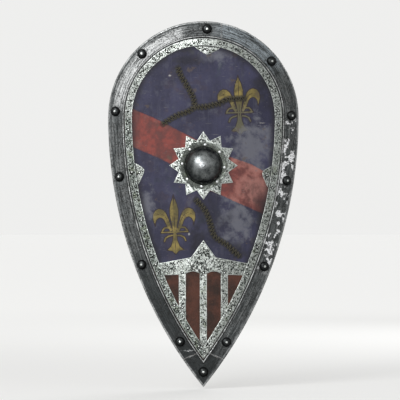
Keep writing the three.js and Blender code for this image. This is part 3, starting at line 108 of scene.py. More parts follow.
@dataclass(frozen=True)
class ShieldForm:
    """The flat outline of the shield and the cylinder that it is bent onto, in millimetres."""

    half_width: float = 288.0
    height: float = 1100.0
    boss_drop: float = 146.0
    curve_radius: float = 800.0
    board_thickness: float = 9.0
    facet_count: int = 13
    slice_width: float = 9.0
    tip_reach: float = 110.0

    @property
    def side_length(self) -> float:
        """The height of the two long sides."""
        return self.height - self.half_width

    @property
    def side_radius(self) -> float:
        """The radius of each long side."""
        return (self.half_width**2 + self.side_length**2) / (2 * self.half_width)

    @property
    def side_centre(self) -> float:
        """How far beyond the centre line each long side has its centre."""
        return self.side_radius - self.half_width

    @property
    def tip_level(self) -> float:
        """The level of the tip, with the boss at level 0."""
        return self.boss_drop - self.side_length

    @property
    def facet_width(self) -> float:
        """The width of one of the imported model's upright facets."""
        return 2 * self.half_width / self.facet_count

    @property
    def back_distance(self) -> float:
        """From the cylinder's axis to the back of the board's middle."""
        return math.sqrt(self.curve_radius**2 - (self.facet_width / 2) ** 2) - self.board_thickness

    def side_angle(self, inset: float) -> float:
        """The angle that a long side covers at an inset."""
        return math.acos(self.side_centre / (self.side_radius - inset))

    def edge_point(self, station: float, inset: float) -> Point:
        """Finds a point on the outline, or inside it.

        Args:
            station: 0 at the tip, 1 widest right, 2 widest left, 3 at the tip again.
            inset: How far inside the outline the point lies.

        Returns:
            The point's place across and its level.
        """
        if 1 <= station <= 2:
            angle = (station - 1) * math.pi
            radius = self.half_width - inset
            return radius * math.cos(angle), self.boss_drop + radius * math.sin(angle)
        side = 1 if station < 1 else -1
        share = 1 - station if station < 1 else station - 2
        radius = self.side_radius - inset
        angle = share * self.side_angle(inset)
        out = radius * math.cos(angle) - self.side_centre
        return side * out, self.boss_drop - radius * math.sin(angle)

    def edge_line(self, start: float, end: float, inset: float, step: float = 0.02) -> list[Point]:
        """Lists points along the outline from one station to another at an inset."""
        count = max(2, round(abs(end - start) / step))
        return [self.edge_point(start + (end - start) * i / count, inset) for i in range(count + 1)]

    def right_station(self, level: float, inset: float) -> float:
        """The station of a level on the right side."""
        turn = math.asin((self.boss_drop - level) / (self.side_radius - inset))
        return 1 - turn / self.side_angle(inset)

    def field_level(self, x: float, inset: float) -> float:
        """The level of the line at an inset, at x near the tip."""
        return self.boss_drop - math.sqrt((self.side_radius - inset) ** 2 - (abs(x) + self.side_centre) ** 2)

    def run_and_inset(self, x: float, level: float) -> Point:
        """Measures a flat point along the outline and inwards from it.

        Args:
            x: The point's place across.
            level: The point's level.

        Returns:
            The run along the outline, 0 at the widest right, and the inset.
        """
        if level >= self.boss_drop:
            angle = math.atan2(level - self.boss_drop, x)
            return angle * self.half_width, self.half_width - math.hypot(x, level - self.boss_drop)
        out = abs(x) + self.side_centre
        drop = self.boss_drop - level
        turn = math.atan2(drop, out) * self.side_radius
        top = math.pi * self.half_width
        run = -turn if x >= 0 or level < self.tip_level + self.tip_reach else top + turn
        return run, self.side_radius - math.hypot(out, drop)

    def bend_point(self, x: float, depth: float, level: float) -> Vector:
        """Bends one flat point onto the cylinder.

        Args:
            x: The point's place across.
            depth: How far it lies in front of the board's front.
            level: The point's level.

        Returns:
            The bent point, still in millimetres.
        """
        angle = math.asin(x / self.curve_radius)
        radius = self.curve_radius + depth
        return Vector((radius * math.sin(angle), self.back_distance - radius * math.cos(angle), level))

    def bend(self, bm: BMesh) -> None:
        """Bends every vertex of a flat mesh onto the cylinder."""
        for vert in bm.verts:
            vert.co = self.bend_point(vert.co.x, -vert.co.y, vert.co.z)

    def seat(self, x: float, level: float) -> Matrix:
        """The matrix that puts a fitting drawn round the depth axis square on the board at a place."""
        turn = Matrix.Rotation(math.asin(x / self.curve_radius), 4, "Z")
        return Matrix.Translation(self.bend_point(x, 0.0, level)) @ turn

    def back_frame(self, x: float, level: float, along: Vector) -> Matrix:
        """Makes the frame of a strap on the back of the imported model's facet at a place.

        Args:
            x: The middle of the facet.
            level: The frame's level.
            along: The direction that the strap runs in.

        Returns:
            A matrix whose X runs along the strap and whose Y points out from the board's back.
        """
        half = self.facet_width / 2
        left, right = (self.bend_point(x + way * half, -self.board_thickness, level) for way in (-1, 1))
        run = (right - left).normalized()
        out = Vector((-run.y, run.x, 0))
        return stand((left + right) / 2, along, out, along.cross(out))

    def slice_upright(self, bm: BMesh) -> None:
        """Cuts a flat mesh along upright lines, so that it bends smoothly.

        Args:
            bm: The flat mesh.
        """
        places = [vert.co.x / self.slice_width for vert in bm.verts]
        for index in range(math.ceil(min(places)), math.floor(max(places)) + 1):
            cut_across(bm, (index * self.slice_width, 0, 0), (1, 0, 0))


FORM = ShieldForm()


# Meshes

LAYERS = ("edge", "crown", "run", "inset", "plank", "seam")
FACING = -0.9


def new_mesh() -> BMesh:
    """Starts a mesh with the float attributes that the finishes read.

    Returns:
        The empty mesh.
    """
    bm = bmesh.new()
    for name in LAYERS:
        bm.verts.layers.float.new(name)
    return bm


def set_layer(bm: BMesh, name: str, value: Callable[[BMVert], float] | float) -> None:
    """Writes a float attribute on every vertex.

    Args:
        bm: The mesh.
        name: The attribute's name, one of LAYERS.
        value: The value, or a function that finds it for a vertex.
    """
    layer = bm.verts.layers.float[name]
    for vert in bm.verts:
        vert[layer] = value(vert) if callable(value) else value


def everything(bm: BMesh) -> list[Part]:
    """Lists all the vertices, edges and faces of a mesh."""
    return bm.verts[:] + bm.edges[:] + bm.faces[:]


def parts_where(bm: BMesh, test: Callable[[float], bool]) -> list[Part]:
    """Lists the vertices, edges and faces that lie wholly at levels that pass a test.

    Args:
        bm: The mesh.
        test: Tells whether a level passes.

    Returns:
        The parts of the mesh.
    """
    found = []
    for item in everything(bm):
        verts = [item] if isinstance(item, BMVert) else item.verts
        if all(test(vert.co.z) for vert in verts):
            found.append(item)
    return found


def cut_across(
    bm: BMesh, place: Sequence[float], normal: Sequence[float], clear: bool = False,
    parts: list[Part] | None = None,
) -> None:
    """Cuts a mesh along a plane.

    Args:
        bm: The mesh.
        place: A point of the plane.
        normal: The direction that the plane faces.
        clear: Whether what lies on the side it faces is removed.
        parts: What is cut, or None for everything.
    """
    bmesh.ops.bisect_plane(
        bm, geom=everything(bm) if parts is None else parts, dist=1e-5, plane_co=place, plane_no=normal,
        clear_outer=clear,
    )


def move(bm: BMesh, matrix: Matrix) -> None:
    """Moves a whole mesh by a matrix."""
    bmesh.ops.transform(bm, matrix=matrix, verts=bm.verts[:])


def shift(bm: BMesh, by: Sequence[float]) -> None:
    """Shifts a whole mesh."""
    bmesh.ops.translate(bm, verts=bm.verts[:], vec=by)


def face_out(bm: BMesh) -> None:
    """Turns all faces of a closed mesh outwards."""
    bmesh.ops.recalc_face_normals(bm, faces=bm.faces[:])


def weld(bm: BMesh, distance: float = 0.01) -> None:
    """Merges doubled vertices and turns all faces outwards."""
    bmesh.ops.remove_doubles(bm, verts=bm.verts[:], dist=distance)
    face_out(bm)


def split_large(bm: BMesh) -> None:
    """Cuts the faces of more than four corners into triangles."""
    bmesh.ops.triangulate(bm, faces=[face for face in bm.faces if len(face.verts) > 4])


def round_edges(bm: BMesh, edges: Sequence[BMEdge], width: float, segments: int = 2) -> None:
    """Rounds edges off with a bevel.

    Args:
        bm: The mesh.
        edges: The edges.
        width: The bevel's width.
        segments: How many faces each edge becomes.
    """
    bmesh.ops.bevel(
        bm, geom=edges, offset=width, offset_type="OFFSET", segments=segments, profile=0.5, affect="EDGES",
        clamp_overlap=True, material=-1,
    )


def thicken(bm: BMesh, by: float) -> None:
    """Gives a flat mesh a thickness along Y.

    Args:
        bm: The mesh, which lies square to Y.
        by: How far its new side stands from it.
    """
    grown = bmesh.ops.extrude_face_region(bm, geom=bm.faces[:])["geom"]
    moved = [item for item in grown if isinstance(item, BMVert)]
    bmesh.ops.translate(bm, verts=moved, vec=(0, by, 0))
    weld(bm)


def as_mesh(bm: BMesh, name: str) -> bpy.types.Mesh:
    """Stores a mesh in Blender's data, and frees the one that was worked on.

    Args:
        bm: The mesh that was worked on.
        name: The stored mesh's name.

    Returns:
        The stored mesh.
    """
    mesh = bpy.data.meshes.new(name)
    bm.to_mesh(mesh)
    bm.free()
    return mesh


def add_object(name: str, data: bpy.types.ID) -> bpy.types.Object:
    """Adds an object to the scene.

    Args:
        name: The object's name.
        data: Its mesh, camera or lamp.

    Returns:
        The object.
    """
    found = bpy.data.objects.new(name, data)
    bpy.context.scene.collection.objects.link(found)
    return found


def absorb(bm: BMesh, other: BMesh, material: int = 0) -> None:
    """Adds another mesh to a mesh, and frees the other.

    Args:
        bm: The mesh that grows.
        other: The mesh that is added.
        material: The material index of the added faces.
    """
    for face in other.faces:
        face.material_index = material
    carrier = as_mesh(other, "carrier")
    bm.from_mesh(carrier)
    bpy.data.meshes.remove(carrier)


def stand(place: Vector, along: Vector, out: Vector, across: Vector) -> Matrix:
    """Makes the matrix of a frame from its place and its X, Y and Z directions."""
    return Matrix.Translation(place) @ Matrix((along, out, across)).transposed().to_4x4()


def turned(profile: Sequence[Point], steps: int) -> BMesh:
    """Turns a profile of (radius, depth) corners round the depth axis.

    Args:
        profile: The corners, from the front of the axis round to the back of it.
        steps: How many steps a full turn has.

    Returns:
        The closed mesh, with its front towards -Y.
    """
    bm = new_mesh()
    verts = [bm.verts.new((radius, -depth, 0)) for radius, depth in profile]
    edges = [bm.edges.new(pair) for pair in zip(verts, verts[1:])]
    bmesh.ops.spin(
        bm, geom=verts + edges, cent=(0, 0, 0), axis=(0, 1, 0), dvec=(0, 0, 0),
        angle=2 * math.pi, steps=steps, use_merge=True, use_normal_flip=False, use_duplicate=False,
    )
    weld(bm)
    return bm


def dome_line(radius: float, height: float, base: float, steps: int, rise: float = 1.0) -> list[Point]:
    """Lists the corners of a dome's profile from its top down to its edge.

    Args:
        radius: The radius at the base.
        height: The height above the base.
        base: The depth of the base.
        steps: How many steps the quarter turn has.
        rise: 1 for an ellipse, less for a flatter top with a fuller edge.

    Returns:
        The (radius, depth) corners.
    """
    turns = [math.pi / 2 * i / steps for i in range(steps + 1)]
    return [(radius * math.sin(turn) ** rise, base + height * math.cos(turn)) for turn in turns]


def mark_edges(bm: BMesh, faces: Sequence[BMFace], width: float) -> None:
    """Insets faces and writes how near the edge each vertex lies to the attribute named edge.

    Args:
        bm: The mesh.
        faces: The faces of its front.
        width: How far the faces are inset.
    """
    set_layer(bm, "edge", 1.0)
    bmesh.ops.inset_region(bm, faces=list(faces), thickness=width, use_even_offset=True, use_boundary=True)
    layer = bm.verts.layers.float["edge"]
    for face in faces:
        for vert in face.verts:
            vert[layer] = 0.0


def plate(
    outline: Sequence[Point], bottom: float, top: float, bevel: float = 0.9, edge: float = 2.2
) -> BMesh:
    """Makes a flat plate with a rounded front edge, sliced ready to be bent.

    Args:
        outline: The corners of the plate, across and up.
        bottom: The depth of its back.
        top: The depth of its front.
        bevel: The width of the rounding of its front edge.
        edge: The width of the strip along the edge that wears bright.

    Returns:
        The mesh, still flat.
    """
    bm = new_mesh()
    bm.faces.new([bm.verts.new((x, -bottom, z)) for x, z in outline])
    thicken(bm, bottom - top)
    front = min(bm.faces, key=lambda item: (item.calc_center_median().y, -item.calc_area()))
    round_edges(bm, front.edges[:], bevel)
    front = max((item for item in bm.faces if item.normal.y < FACING), key=lambda item: item.calc_area())
    mark_edges(bm, [front], edge)
    split_large(bm)
    FORM.slice_upright(bm)
    return bm


# Shader nodes

Socket = bpy.types.NodeSocket
Value = float | Colour | Socket


class Tree:
    """Adds and joins shader nodes in one node tree."""

    def __init__(self, tree: bpy.types.NodeTree) -> None:
        """Keeps the tree that the nodes go into."""
        self.tree = tree

    def give(self, socket: Socket, value: Value) -> None:
        """Links a value to a socket, or sets it there.

        Args:
            socket: The input.
            value: Another node's output, a number, a vector or a colour.
        """
        if isinstance(value, Socket):
            self.tree.links.new(value, socket)
        elif socket.type == "RGBA":
            socket.default_value = (*value, 1.0)
        else:
            socket.default_value = value

    def add(self, kind: str, inputs: dict[str, Value] | None = None, **settings: object) -> bpy.types.Node:
        """Adds a node.

        Args:
            kind: The node's type.
            inputs: Values or sockets for its inputs, by name.
            settings: Values for its properties.

        Returns:
            The node.
        """
        node = self.tree.nodes.new(kind)
        for name, value in settings.items():
            setattr(node, name, value)
        for name, value in (inputs or {}).items():
            self.give(node.inputs[name], value)
        return node

    def work(self, kind: str, operation: str, values: Sequence[Value]) -> bpy.types.Node:
        """Adds a node that works values out.

        Args:
            kind: The node's type.
            operation: What it does.
            values: Its inputs, in order.

        Returns:
            The node.
        """
        node = self.add(kind, operation=operation)
        for socket, value in zip(node.inputs, values):
            self.give(socket, value)
        return node

    def math(self, operation: str, *values: Value) -> Socket:
        """Works numbers out."""
        return self.work("ShaderNodeMath", operation, values).outputs[0]

    def times(self, first: Value, second: Value) -> Socket:
        """Multiplies two numbers."""
        return self.math("MULTIPLY", first, second)

    def times_add(self, value: Value, factor: Value, start: Value) -> Socket:
        """Multiplies a number by a factor and adds another to it."""
        return self.math("MULTIPLY_ADD", value, factor, start)

    def most(self, first: Value, second: Value) -> Socket:
        """Finds the larger of two numbers."""
        return self.math("MAXIMUM", first, second)

    def vector(self, operation: str, first: Value, second: Value) -> Socket:
        """Works two vectors out."""
        return self.work("ShaderNodeVectorMath", operation, (first, second)).outputs["Vector"]

    def length(self, vector: Value) -> Socket:
        """Measures a vector."""
        return self.work("ShaderNodeVectorMath", "LENGTH", (vector,)).outputs["Value"]

    def mix(self, factor: Value, first: Value, second: Value) -> Socket:
        """Mixes two colours by a factor.

        Args:
            factor: The second colour's share.
            first: The first colour.
            second: The second colour.

        Returns:
            The mixed colour.
        """
        node = self.add("ShaderNodeMix", data_type="RGBA", blend_type="MIX")
        for index, value in ((0, factor), (6, first), (7, second)):
            self.give(node.inputs[index], value)
        return node.outputs[2]

    def cover(self, base: Value, mask: Value, share: Value, colour: Value) -> Socket:
        """Covers a colour with another by a share of a mask."""
        return self.mix(self.times(mask, share), base, colour)

    def span(self, value: Value, low: float, high: float, start: float = 0.0, end: float = 1.0) -> Socket:
        """Maps low..high smoothly to start..end, held at both ends.

        Args:
            value: The value.
            low: The value at which the result is start.
            high: The value at which it is end.
            start: The result up to low.
            end: The result from high on.

        Returns:
            The mapped value.
        """
        return self.add(
            "ShaderNodeMapRange",
            {"Value": value, "From Min": low, "From Max": high, "To Min": start, "To Max": end},
            interpolation_type="SMOOTHSTEP",
        ).outputs[0]

    def noise(self, vector: Value, scale: Value, detail: float, rough: float) -> Socket:
        """Adds a noise texture and returns its value."""
        inputs = {"Vector": vector, "Scale": scale, "Detail": detail, "Roughness": rough}
        return self.add("ShaderNodeTexNoise", inputs).outputs[0]

    def cells(self, vector: Value, scale: Value) -> Socket:
        """Adds a Voronoi texture and returns how far each place lies from its cell's edge."""
        inputs = {"Vector": vector, "Scale": scale}
        return self.add("ShaderNodeTexVoronoi", inputs, feature="DISTANCE_TO_EDGE").outputs["Distance"]

    def place(self) -> Socket:
        """Returns the place on the object, in metres."""
        return self.add("ShaderNodeTexCoord").outputs["Object"]

    def map(self, vector: Value, scale: Sequence[float], turn: Sequence[float] = (0, 0, 0)) -> Socket:
        """Scales and turns a pattern's place."""
        return self.add("ShaderNodeMapping", {"Vector": vector, "Scale": scale, "Rotation": turn}).outputs[0]

    def read(self, name: str) -> Socket:
        """Reads a float attribute of the mesh."""
        return self.add("ShaderNodeAttribute", attribute_name=name).outputs["Fac"]

    def join(self, x: Value, y: Value, z: Value = 0.0) -> Socket:
        """Joins three values into a vector."""
        return self.add("ShaderNodeCombineXYZ", {"X": x, "Y": y, "Z": z}).outputs[0]

    def relief(self, height: Value, distance: float, strength: float) -> Socket:
        """Adds a Bump node and returns its normal."""
        inputs = {"Height": height, "Distance": distance, "Strength": strength}
        return self.add("ShaderNodeBump", inputs).outputs[0]

    def effect(self, kind: "Effect", **inputs: Value) -> Socket:
        """Places a shared effect and returns its mask."""
        return self.add("ShaderNodeGroup", inputs, node_tree=effect_group(kind)).outputs[0]


class Effect(Enum):
    """The effects that materials share."""

    PATCHES = "patches"
    SPECKS = "specks"
    EDGE_WEAR = "edge wear"
    GRAIN = "leather grain"
    SCRATCHES = "scratches"


def over_level(nodes: Tree, field: Value, amount: Value, start: float, soft: float) -> Socket:
    """Masks where a field passes a level that falls as the amount grows."""
    level = nodes.times_add(amount, -0.4, start)
    return nodes.span(nodes.math("SUBTRACT", field, level), 0.0, soft)


def draw_patches(nodes: Tree, inputs: dict[str, Socket]) -> Socket:
    """Draws soft-edged patches that cover about the given amount.

    Args:
        nodes: The effect's tree.
        inputs: The effect's inputs.

    Returns:
        The mask.
    """
    field = nodes.noise(inputs["Vector"], inputs["Scale"], 5.0, 0.62)
    level = nodes.times_add(inputs["Amount"], -0.5, 0.75)
    above = nodes.math("SUBTRACT", field, level)
    return nodes.span(nodes.math("DIVIDE", above, inputs["Softness"]), -1.0, 1.0)


def draw_specks(nodes: Tree, inputs: dict[str, Socket]) -> Socket:
    """Draws small crisp pits, gathered into loose clusters.

    Args:
        nodes: The effect's tree.
        inputs: The effect's inputs.

    Returns:
        The mask.
    """
    fine = nodes.noise(inputs["Vector"], inputs["Scale"], 2.0, 0.7)
    broad = nodes.noise(inputs["Vector"], nodes.times(inputs["Scale"], 0.13), 2.0, 0.5)
    return over_level(nodes, nodes.times_add(broad, 0.22, fine), inputs["Amount"], 0.81, 0.05)


def draw_edge_wear(nodes: Tree, inputs: dict[str, Socket]) -> Socket:
    """Draws broken wear that follows the edges."""
    field = nodes.noise(inputs["Vector"], inputs["Scale"], 4.0, 0.65)
    return over_level(nodes, nodes.times_add(inputs["Edge"], 0.5, field), inputs["Amount"], 1.05, 0.1)


def draw_grain(nodes: Tree, inputs: dict[str, Socket]) -> Socket:
    """Draws the fine cells and creases of leather as a height.

    Args:
        nodes: The effect's tree.
        inputs: The effect's inputs.

    Returns:
        The height.
    """
    pebble = nodes.span(nodes.cells(inputs["Vector"], inputs["Scale"]), 0.0, 0.25)
    crease = nodes.noise(inputs["Vector"], nodes.times(inputs["Scale"], 0.2), 4.0, 0.6)
    return nodes.times_add(crease, 0.8, pebble)


def draw_scratches(nodes: Tree, inputs: dict[str, Socket]) -> Socket:
    """Draws thin lines along the vector's first axis."""
    field = nodes.noise(nodes.map(inputs["Vector"], (1.0, 22.0, 22.0)), inputs["Scale"], 3.0, 0.6)
    return over_level(nodes, field, inputs["Amount"], 0.85, 0.06)


EFFECTS = {
    Effect.PATCHES: (draw_patches, ("Scale", "Amount", "Softness")),
    Effect.SPECKS: (draw_specks, ("Scale", "Amount")),
    Effect.EDGE_WEAR: (draw_edge_wear, ("Edge", "Scale", "Amount")),
    Effect.GRAIN: (draw_grain, ("Scale",)),
    Effect.SCRATCHES: (draw_scratches, ("Scale", "Amount")),
}


def effect_group(kind: Effect) -> bpy.types.NodeTree:
    """Builds an effect's node group, or finds the one that is built.

    Args:
        kind: The effect.

    Returns:
        The node group, with one output named Mask.
    """
    found = bpy.data.node_groups.get(kind.value)
    if found:
        return found
    draw, numbers = EFFECTS[kind]
    group = bpy.data.node_groups.new(kind.value, "ShaderNodeTree")
    group.interface.new_socket(name="Vector", in_out="INPUT", socket_type="NodeSocketVector")
    for name in numbers:
        group.interface.new_socket(name=name, in_out="INPUT", socket_type="NodeSocketFloat")
    group.interface.new_socket(name="Mask", in_out="OUTPUT", socket_type="NodeSocketFloat")
    nodes = Tree(group)
    source = nodes.add("NodeGroupInput")
    mask = draw(nodes, {name: source.outputs[name] for name in ("Vector", *numbers)})
    nodes.add("NodeGroupOutput", {"Mask": mask})
    return group


def fresh_tree(block: bpy.types.ID) -> Tree:
    """Empties the node tree of a material or a world.

    Args:
        block: The material or the world.

    Returns:
        Its tree.
    """
    block.use_nodes = True
    block.node_tree.nodes.clear()
    return Tree(block.node_tree)


# Finishes

@dataclass(frozen=True)
class Finish:
    """A finish: its name and how it dresses a Principled shader."""

    name: str

    def dress(self, nodes: Tree) -> dict[str, Value]:
        """Works out the shader's inputs.

        Args:
            nodes: The material's tree.

        Returns:
            The shader's colour, gloss and relief, by the names of its inputs.
        """
        raise NotImplementedError

    def material(self) -> bpy.types.Material:
        """Builds the material, or finds the one that is built.

        Returns:
            The material.
        """
        found = bpy.data.materials.get(self.name)
        if found:
            return found
        material = bpy.data.materials.new(self.name)
        nodes = fresh_tree(material)
        shader = nodes.add("ShaderNodeBsdfPrincipled", self.dress(nodes))
        nodes.add("ShaderNodeOutputMaterial", {"Surface": shader.outputs[0]})
        return material


@dataclass(frozen=True)
class EtchedSteel(Finish):
    """Pale steel eaten into black pits, with patches of green patina and bright worn edges."""

    name: str = "etched steel"
    bright: Colour = (0.66, 0.70, 0.67)
    grey: Colour = (0.35, 0.385, 0.355)
    patina: Colour = (0.24, 0.28, 0.17)
    pit: Colour = (0.016, 0.019, 0.016)
    pits: float = 0.44
    green: float = 0.22

    def dress(self, nodes: Tree) -> dict[str, Value]:
        """Lays grey, patina, pits and edge wear over one another.

        Args:
            nodes: The material's tree.

        Returns:
            The shader's inputs, by name.
        """
        place = nodes.place()
        edge = nodes.read("edge")
        tone = nodes.noise(place, 110.0, 5.0, 0.65)
        colour = nodes.mix(nodes.span(tone, 0.36, 0.58), self.grey, self.bright)
        green = nodes.effect(Effect.PATCHES, Vector=place, Scale=38.0, Amount=self.green, Softness=0.09)
        colour = nodes.cover(colour, green, 0.75, self.patina)
        wear = nodes.effect(Effect.EDGE_WEAR, Vector=place, Edge=edge, Scale=130.0, Amount=0.75)
        colour = nodes.cover(colour, wear, 0.8, self.bright)
        large = nodes.effect(Effect.SPECKS, Vector=place, Scale=205.0, Amount=self.pits)
        small = nodes.effect(Effect.SPECKS, Vector=place, Scale=460.0, Amount=self.pits - 0.1)
        pits = nodes.times(nodes.most(large, small), nodes.span(edge, 0.2, 1.0, 1.0, 0.35))
        pits = nodes.most(pits, nodes.span(nodes.read("seam"), 0.25, 0.6, 0.0, 0.9))
        rough = nodes.span(green, 0.0, 1.0, 0.34, 0.6)
        fine = nodes.noise(place, 600.0, 2.0, 0.5)
        height = nodes.times_add(pits, -1.0, nodes.times(fine, 0.3))
        return {
            "Base Color": nodes.mix(pits, colour, self.pit),
            "Metallic": nodes.span(pits, 0.0, 1.0, 0.9, 0.2),
            "Roughness": nodes.most(rough, nodes.times(pits, 0.8)),
            "Normal": nodes.relief(height, 0.0005, 0.8),
        }


@dataclass(frozen=True)
class RimSteel(Finish):
    """Dark pitted steel, brushed bright in places by the wear that runs along the rim, with a painted
    highlight over the top and painted shade at the lower left.

    Attributes:
        bead: From where to where the raised line lies inside the edge, in metres.
        top_span: The run of the bright streaks at the top right, worn steel with a painted highlight, in
            metres.
        dull_span: The run of the dull smear beside them.
        side_span: The run of the bright patches down the right side.
    """

    name: str = "rim steel"
    dark: Colour = (0.030, 0.034, 0.035)
    grey: Colour = (0.082, 0.092, 0.094)
    bright: Colour = (0.86, 0.88, 0.88)
    smeared: Colour = (0.46, 0.53, 0.58)
    hollow: Colour = (0.010, 0.011, 0.010)
    bare: Colour = (0.97, 0.98, 1.0)
    bead: tuple[float, float] = (0.0443, 0.0482)
    top_span: tuple[float, float] = (0.50, 0.895)
    dull_span: tuple[float, float] = (0.13, 0.44)
    side_span: tuple[float, float] = (-0.50, 0.03)

    @staticmethod
    def window(nodes: Tree, value: Value, span: tuple[float, float], soft: float) -> Socket:
        """Makes a mask that is 1 while a value is within a span, with soft ends."""
        rise = nodes.span(value, span[0], span[0] + soft)
        return nodes.times(rise, nodes.span(value, span[1] - soft, span[1], 1.0, 0.0))

    def dress(self, nodes: Tree) -> dict[str, Value]:
        """Lays streaks with a painted highlight over the top, painted shade at the lower left, worn patches,
        a polished outer turn and pits over dark steel.

        Args:
            nodes: The material's tree.

        Returns:
            The shader's inputs, by name.
        """
        place = nodes.place()
        run = nodes.read("run")
        inset = nodes.read("inset")
        along = nodes.join(run, inset)
        mottle = nodes.noise(place, 55.0, 6.0, 0.68)
        colour = nodes.mix(nodes.span(mottle, 0.38, 0.68), self.dark, self.grey)
        streaks = nodes.noise(nodes.map(along, (1.0, 26.0, 1.0)), 9.0, 5.0, 0.68)
        fine = nodes.noise(nodes.map(along, (1.0, 16.0, 1.0)), 42.0, 4.0, 0.65)
        both = nodes.times_add(fine, 0.7, streaks)
        colour = nodes.mix(nodes.span(both, 0.70, 1.10, 0.0, 0.26), colour, self.bright)
        smear = nodes.times(nodes.span(both, 0.72, 0.95), self.window(nodes, run, self.dull_span, 0.08))
        colour = nodes.cover(colour, smear, 0.6, self.smeared)
        # Painted shade: darker towards the bottom left.
        axes = nodes.add("ShaderNodeSeparateXYZ", {"Vector": place}).outputs
        low = nodes.times(nodes.span(axes["Z"], -0.15, -0.42), nodes.span(axes["X"], 0.08, 0.02))
        colour = nodes.cover(colour, low, 0.85, self.dark)
        # Bright streaks over the top: worn steel and a painted highlight.
        top = nodes.times(nodes.span(both, 0.70, 0.90), self.window(nodes, run, self.top_span, 0.05))
        top = nodes.times(nodes.times(top, 0.76), nodes.span(inset, 0.008, 0.018))
        patches = nodes.effect(Effect.PATCHES, Vector=place, Scale=44.0, Amount=0.42, Softness=0.012)
        side = nodes.times(patches, self.window(nodes, run, self.side_span, 0.06))
        side = nodes.times(side, nodes.span(inset, 0.006, 0.012))
        slanted = nodes.map(place, (1, 1, 1), (0, 0.7, 0))
        scratches = nodes.effect(Effect.SCRATCHES, Vector=slanted, Scale=16.0, Amount=0.42)
        # worn holds the worn side patches and the top streaks with their painted highlight.
        worn = nodes.most(top, side)
        colour = nodes.cover(colour, nodes.most(worn, nodes.times(scratches, 0.45)), 0.9, self.bright)
        colour = nodes.mix(side, colour, self.bare)
        outer = nodes.span(inset, 0.0035, 0.0065, 1.0, 0.0)
        patchy = nodes.span(nodes.noise(place, 24.0, 4.0, 0.6), 0.35, 0.65, 0.22, 0.7)
        colour = nodes.cover(colour, outer, patchy, self.bright)
        groove = self.window(nodes, inset, (self.bead[0] - 0.0022, self.bead[1] + 0.0026), 0.0005)
        colour = nodes.cover(colour, groove, 0.8, self.hollow)
        colour = nodes.cover(colour, self.window(nodes, inset, self.bead, 0.0008), patchy, self.bright)
        pits = nodes.effect(Effect.SPECKS, Vector=place, Scale=290.0, Amount=0.36)
        colour = nodes.cover(colour, pits, 0.85, self.hollow)
        metal = nodes.math("SUBTRACT", nodes.span(pits, 0.0, 1.0, 0.85, 0.3), nodes.times(worn, 0.6))
        height = nodes.times_add(pits, -0.8, nodes.times(mottle, 2.0))
        height = nodes.times_add(streaks, 0.5, height)
        return {
            "Base Color": nodes.mix(nodes.span(nodes.read("edge"), 0.6, 1.0, 0.0, 0.55), colour, self.bright),
            "Metallic": nodes.most(metal, 0.0),
            "Roughness": nodes.span(mottle, 0.35, 0.7, 0.42, 0.66),
            "Normal": nodes.relief(height, 0.0007, 0.8),
        }


@dataclass(frozen=True)
class RivetSteel(Finish):
    """Dark steel whose highest spot is worn bright and carries a painted highlight, with painted shade at the
    head's foot.

    Attributes:
        foot: The dark of the painted shade at the head's foot.
        crown: How far out from the top the bright spot of wear and painted highlight reaches, as a share of
            the head.
        rough: How rough the steel is.
        foot_shade: How dark the painted shade at the foot is.
    """

    name: str = "rivet steel"
    dark: Colour = (0.018, 0.020, 0.021)
    grey: Colour = (0.06, 0.065, 0.065)
    bright: Colour = (0.75, 0.78, 0.76)
    foot: Colour = (0.004, 0.0045, 0.005)
    crown: float = 0.20
    rough: float = 0.34
    foot_shade: float = 0.85

    def dress(self, nodes: Tree) -> dict[str, Value]:
        """Lays the worn crown with its painted highlight, and painted shade at the foot, over mottled dark
        steel.

        Args:
            nodes: The material's tree.

        Returns:
            The shader's inputs, by name.
        """
        mottle = nodes.noise(nodes.place(), 160.0, 4.0, 0.6)
        colour = nodes.mix(nodes.span(mottle, 0.35, 0.7), self.dark, self.grey)
        crown = nodes.read("crown")
        # Painted shade darkens the head towards its foot.
        foot_shade = nodes.span(crown, 1.1, 1.4, self.foot_shade, 0.0)
        colour = nodes.cover(colour, nodes.span(crown, 0.45, 0.85), foot_shade, self.foot)
        # Bright crown: wear and a painted highlight.
        reach = nodes.times_add(mottle, 0.12, crown)
        worn = nodes.span(reach, self.crown + 0.02, self.crown + 0.10, 1.0, 0.0)
        return {
            "Base Color": nodes.mix(worn, colour, self.bright),
            "Metallic": 0.85,
            "Roughness": nodes.span(mottle, 0.3, 0.7, self.rough - 0.06, self.rough + 0.1),
            "Normal": nodes.relief(mottle, 0.0006, 0.5),
        }


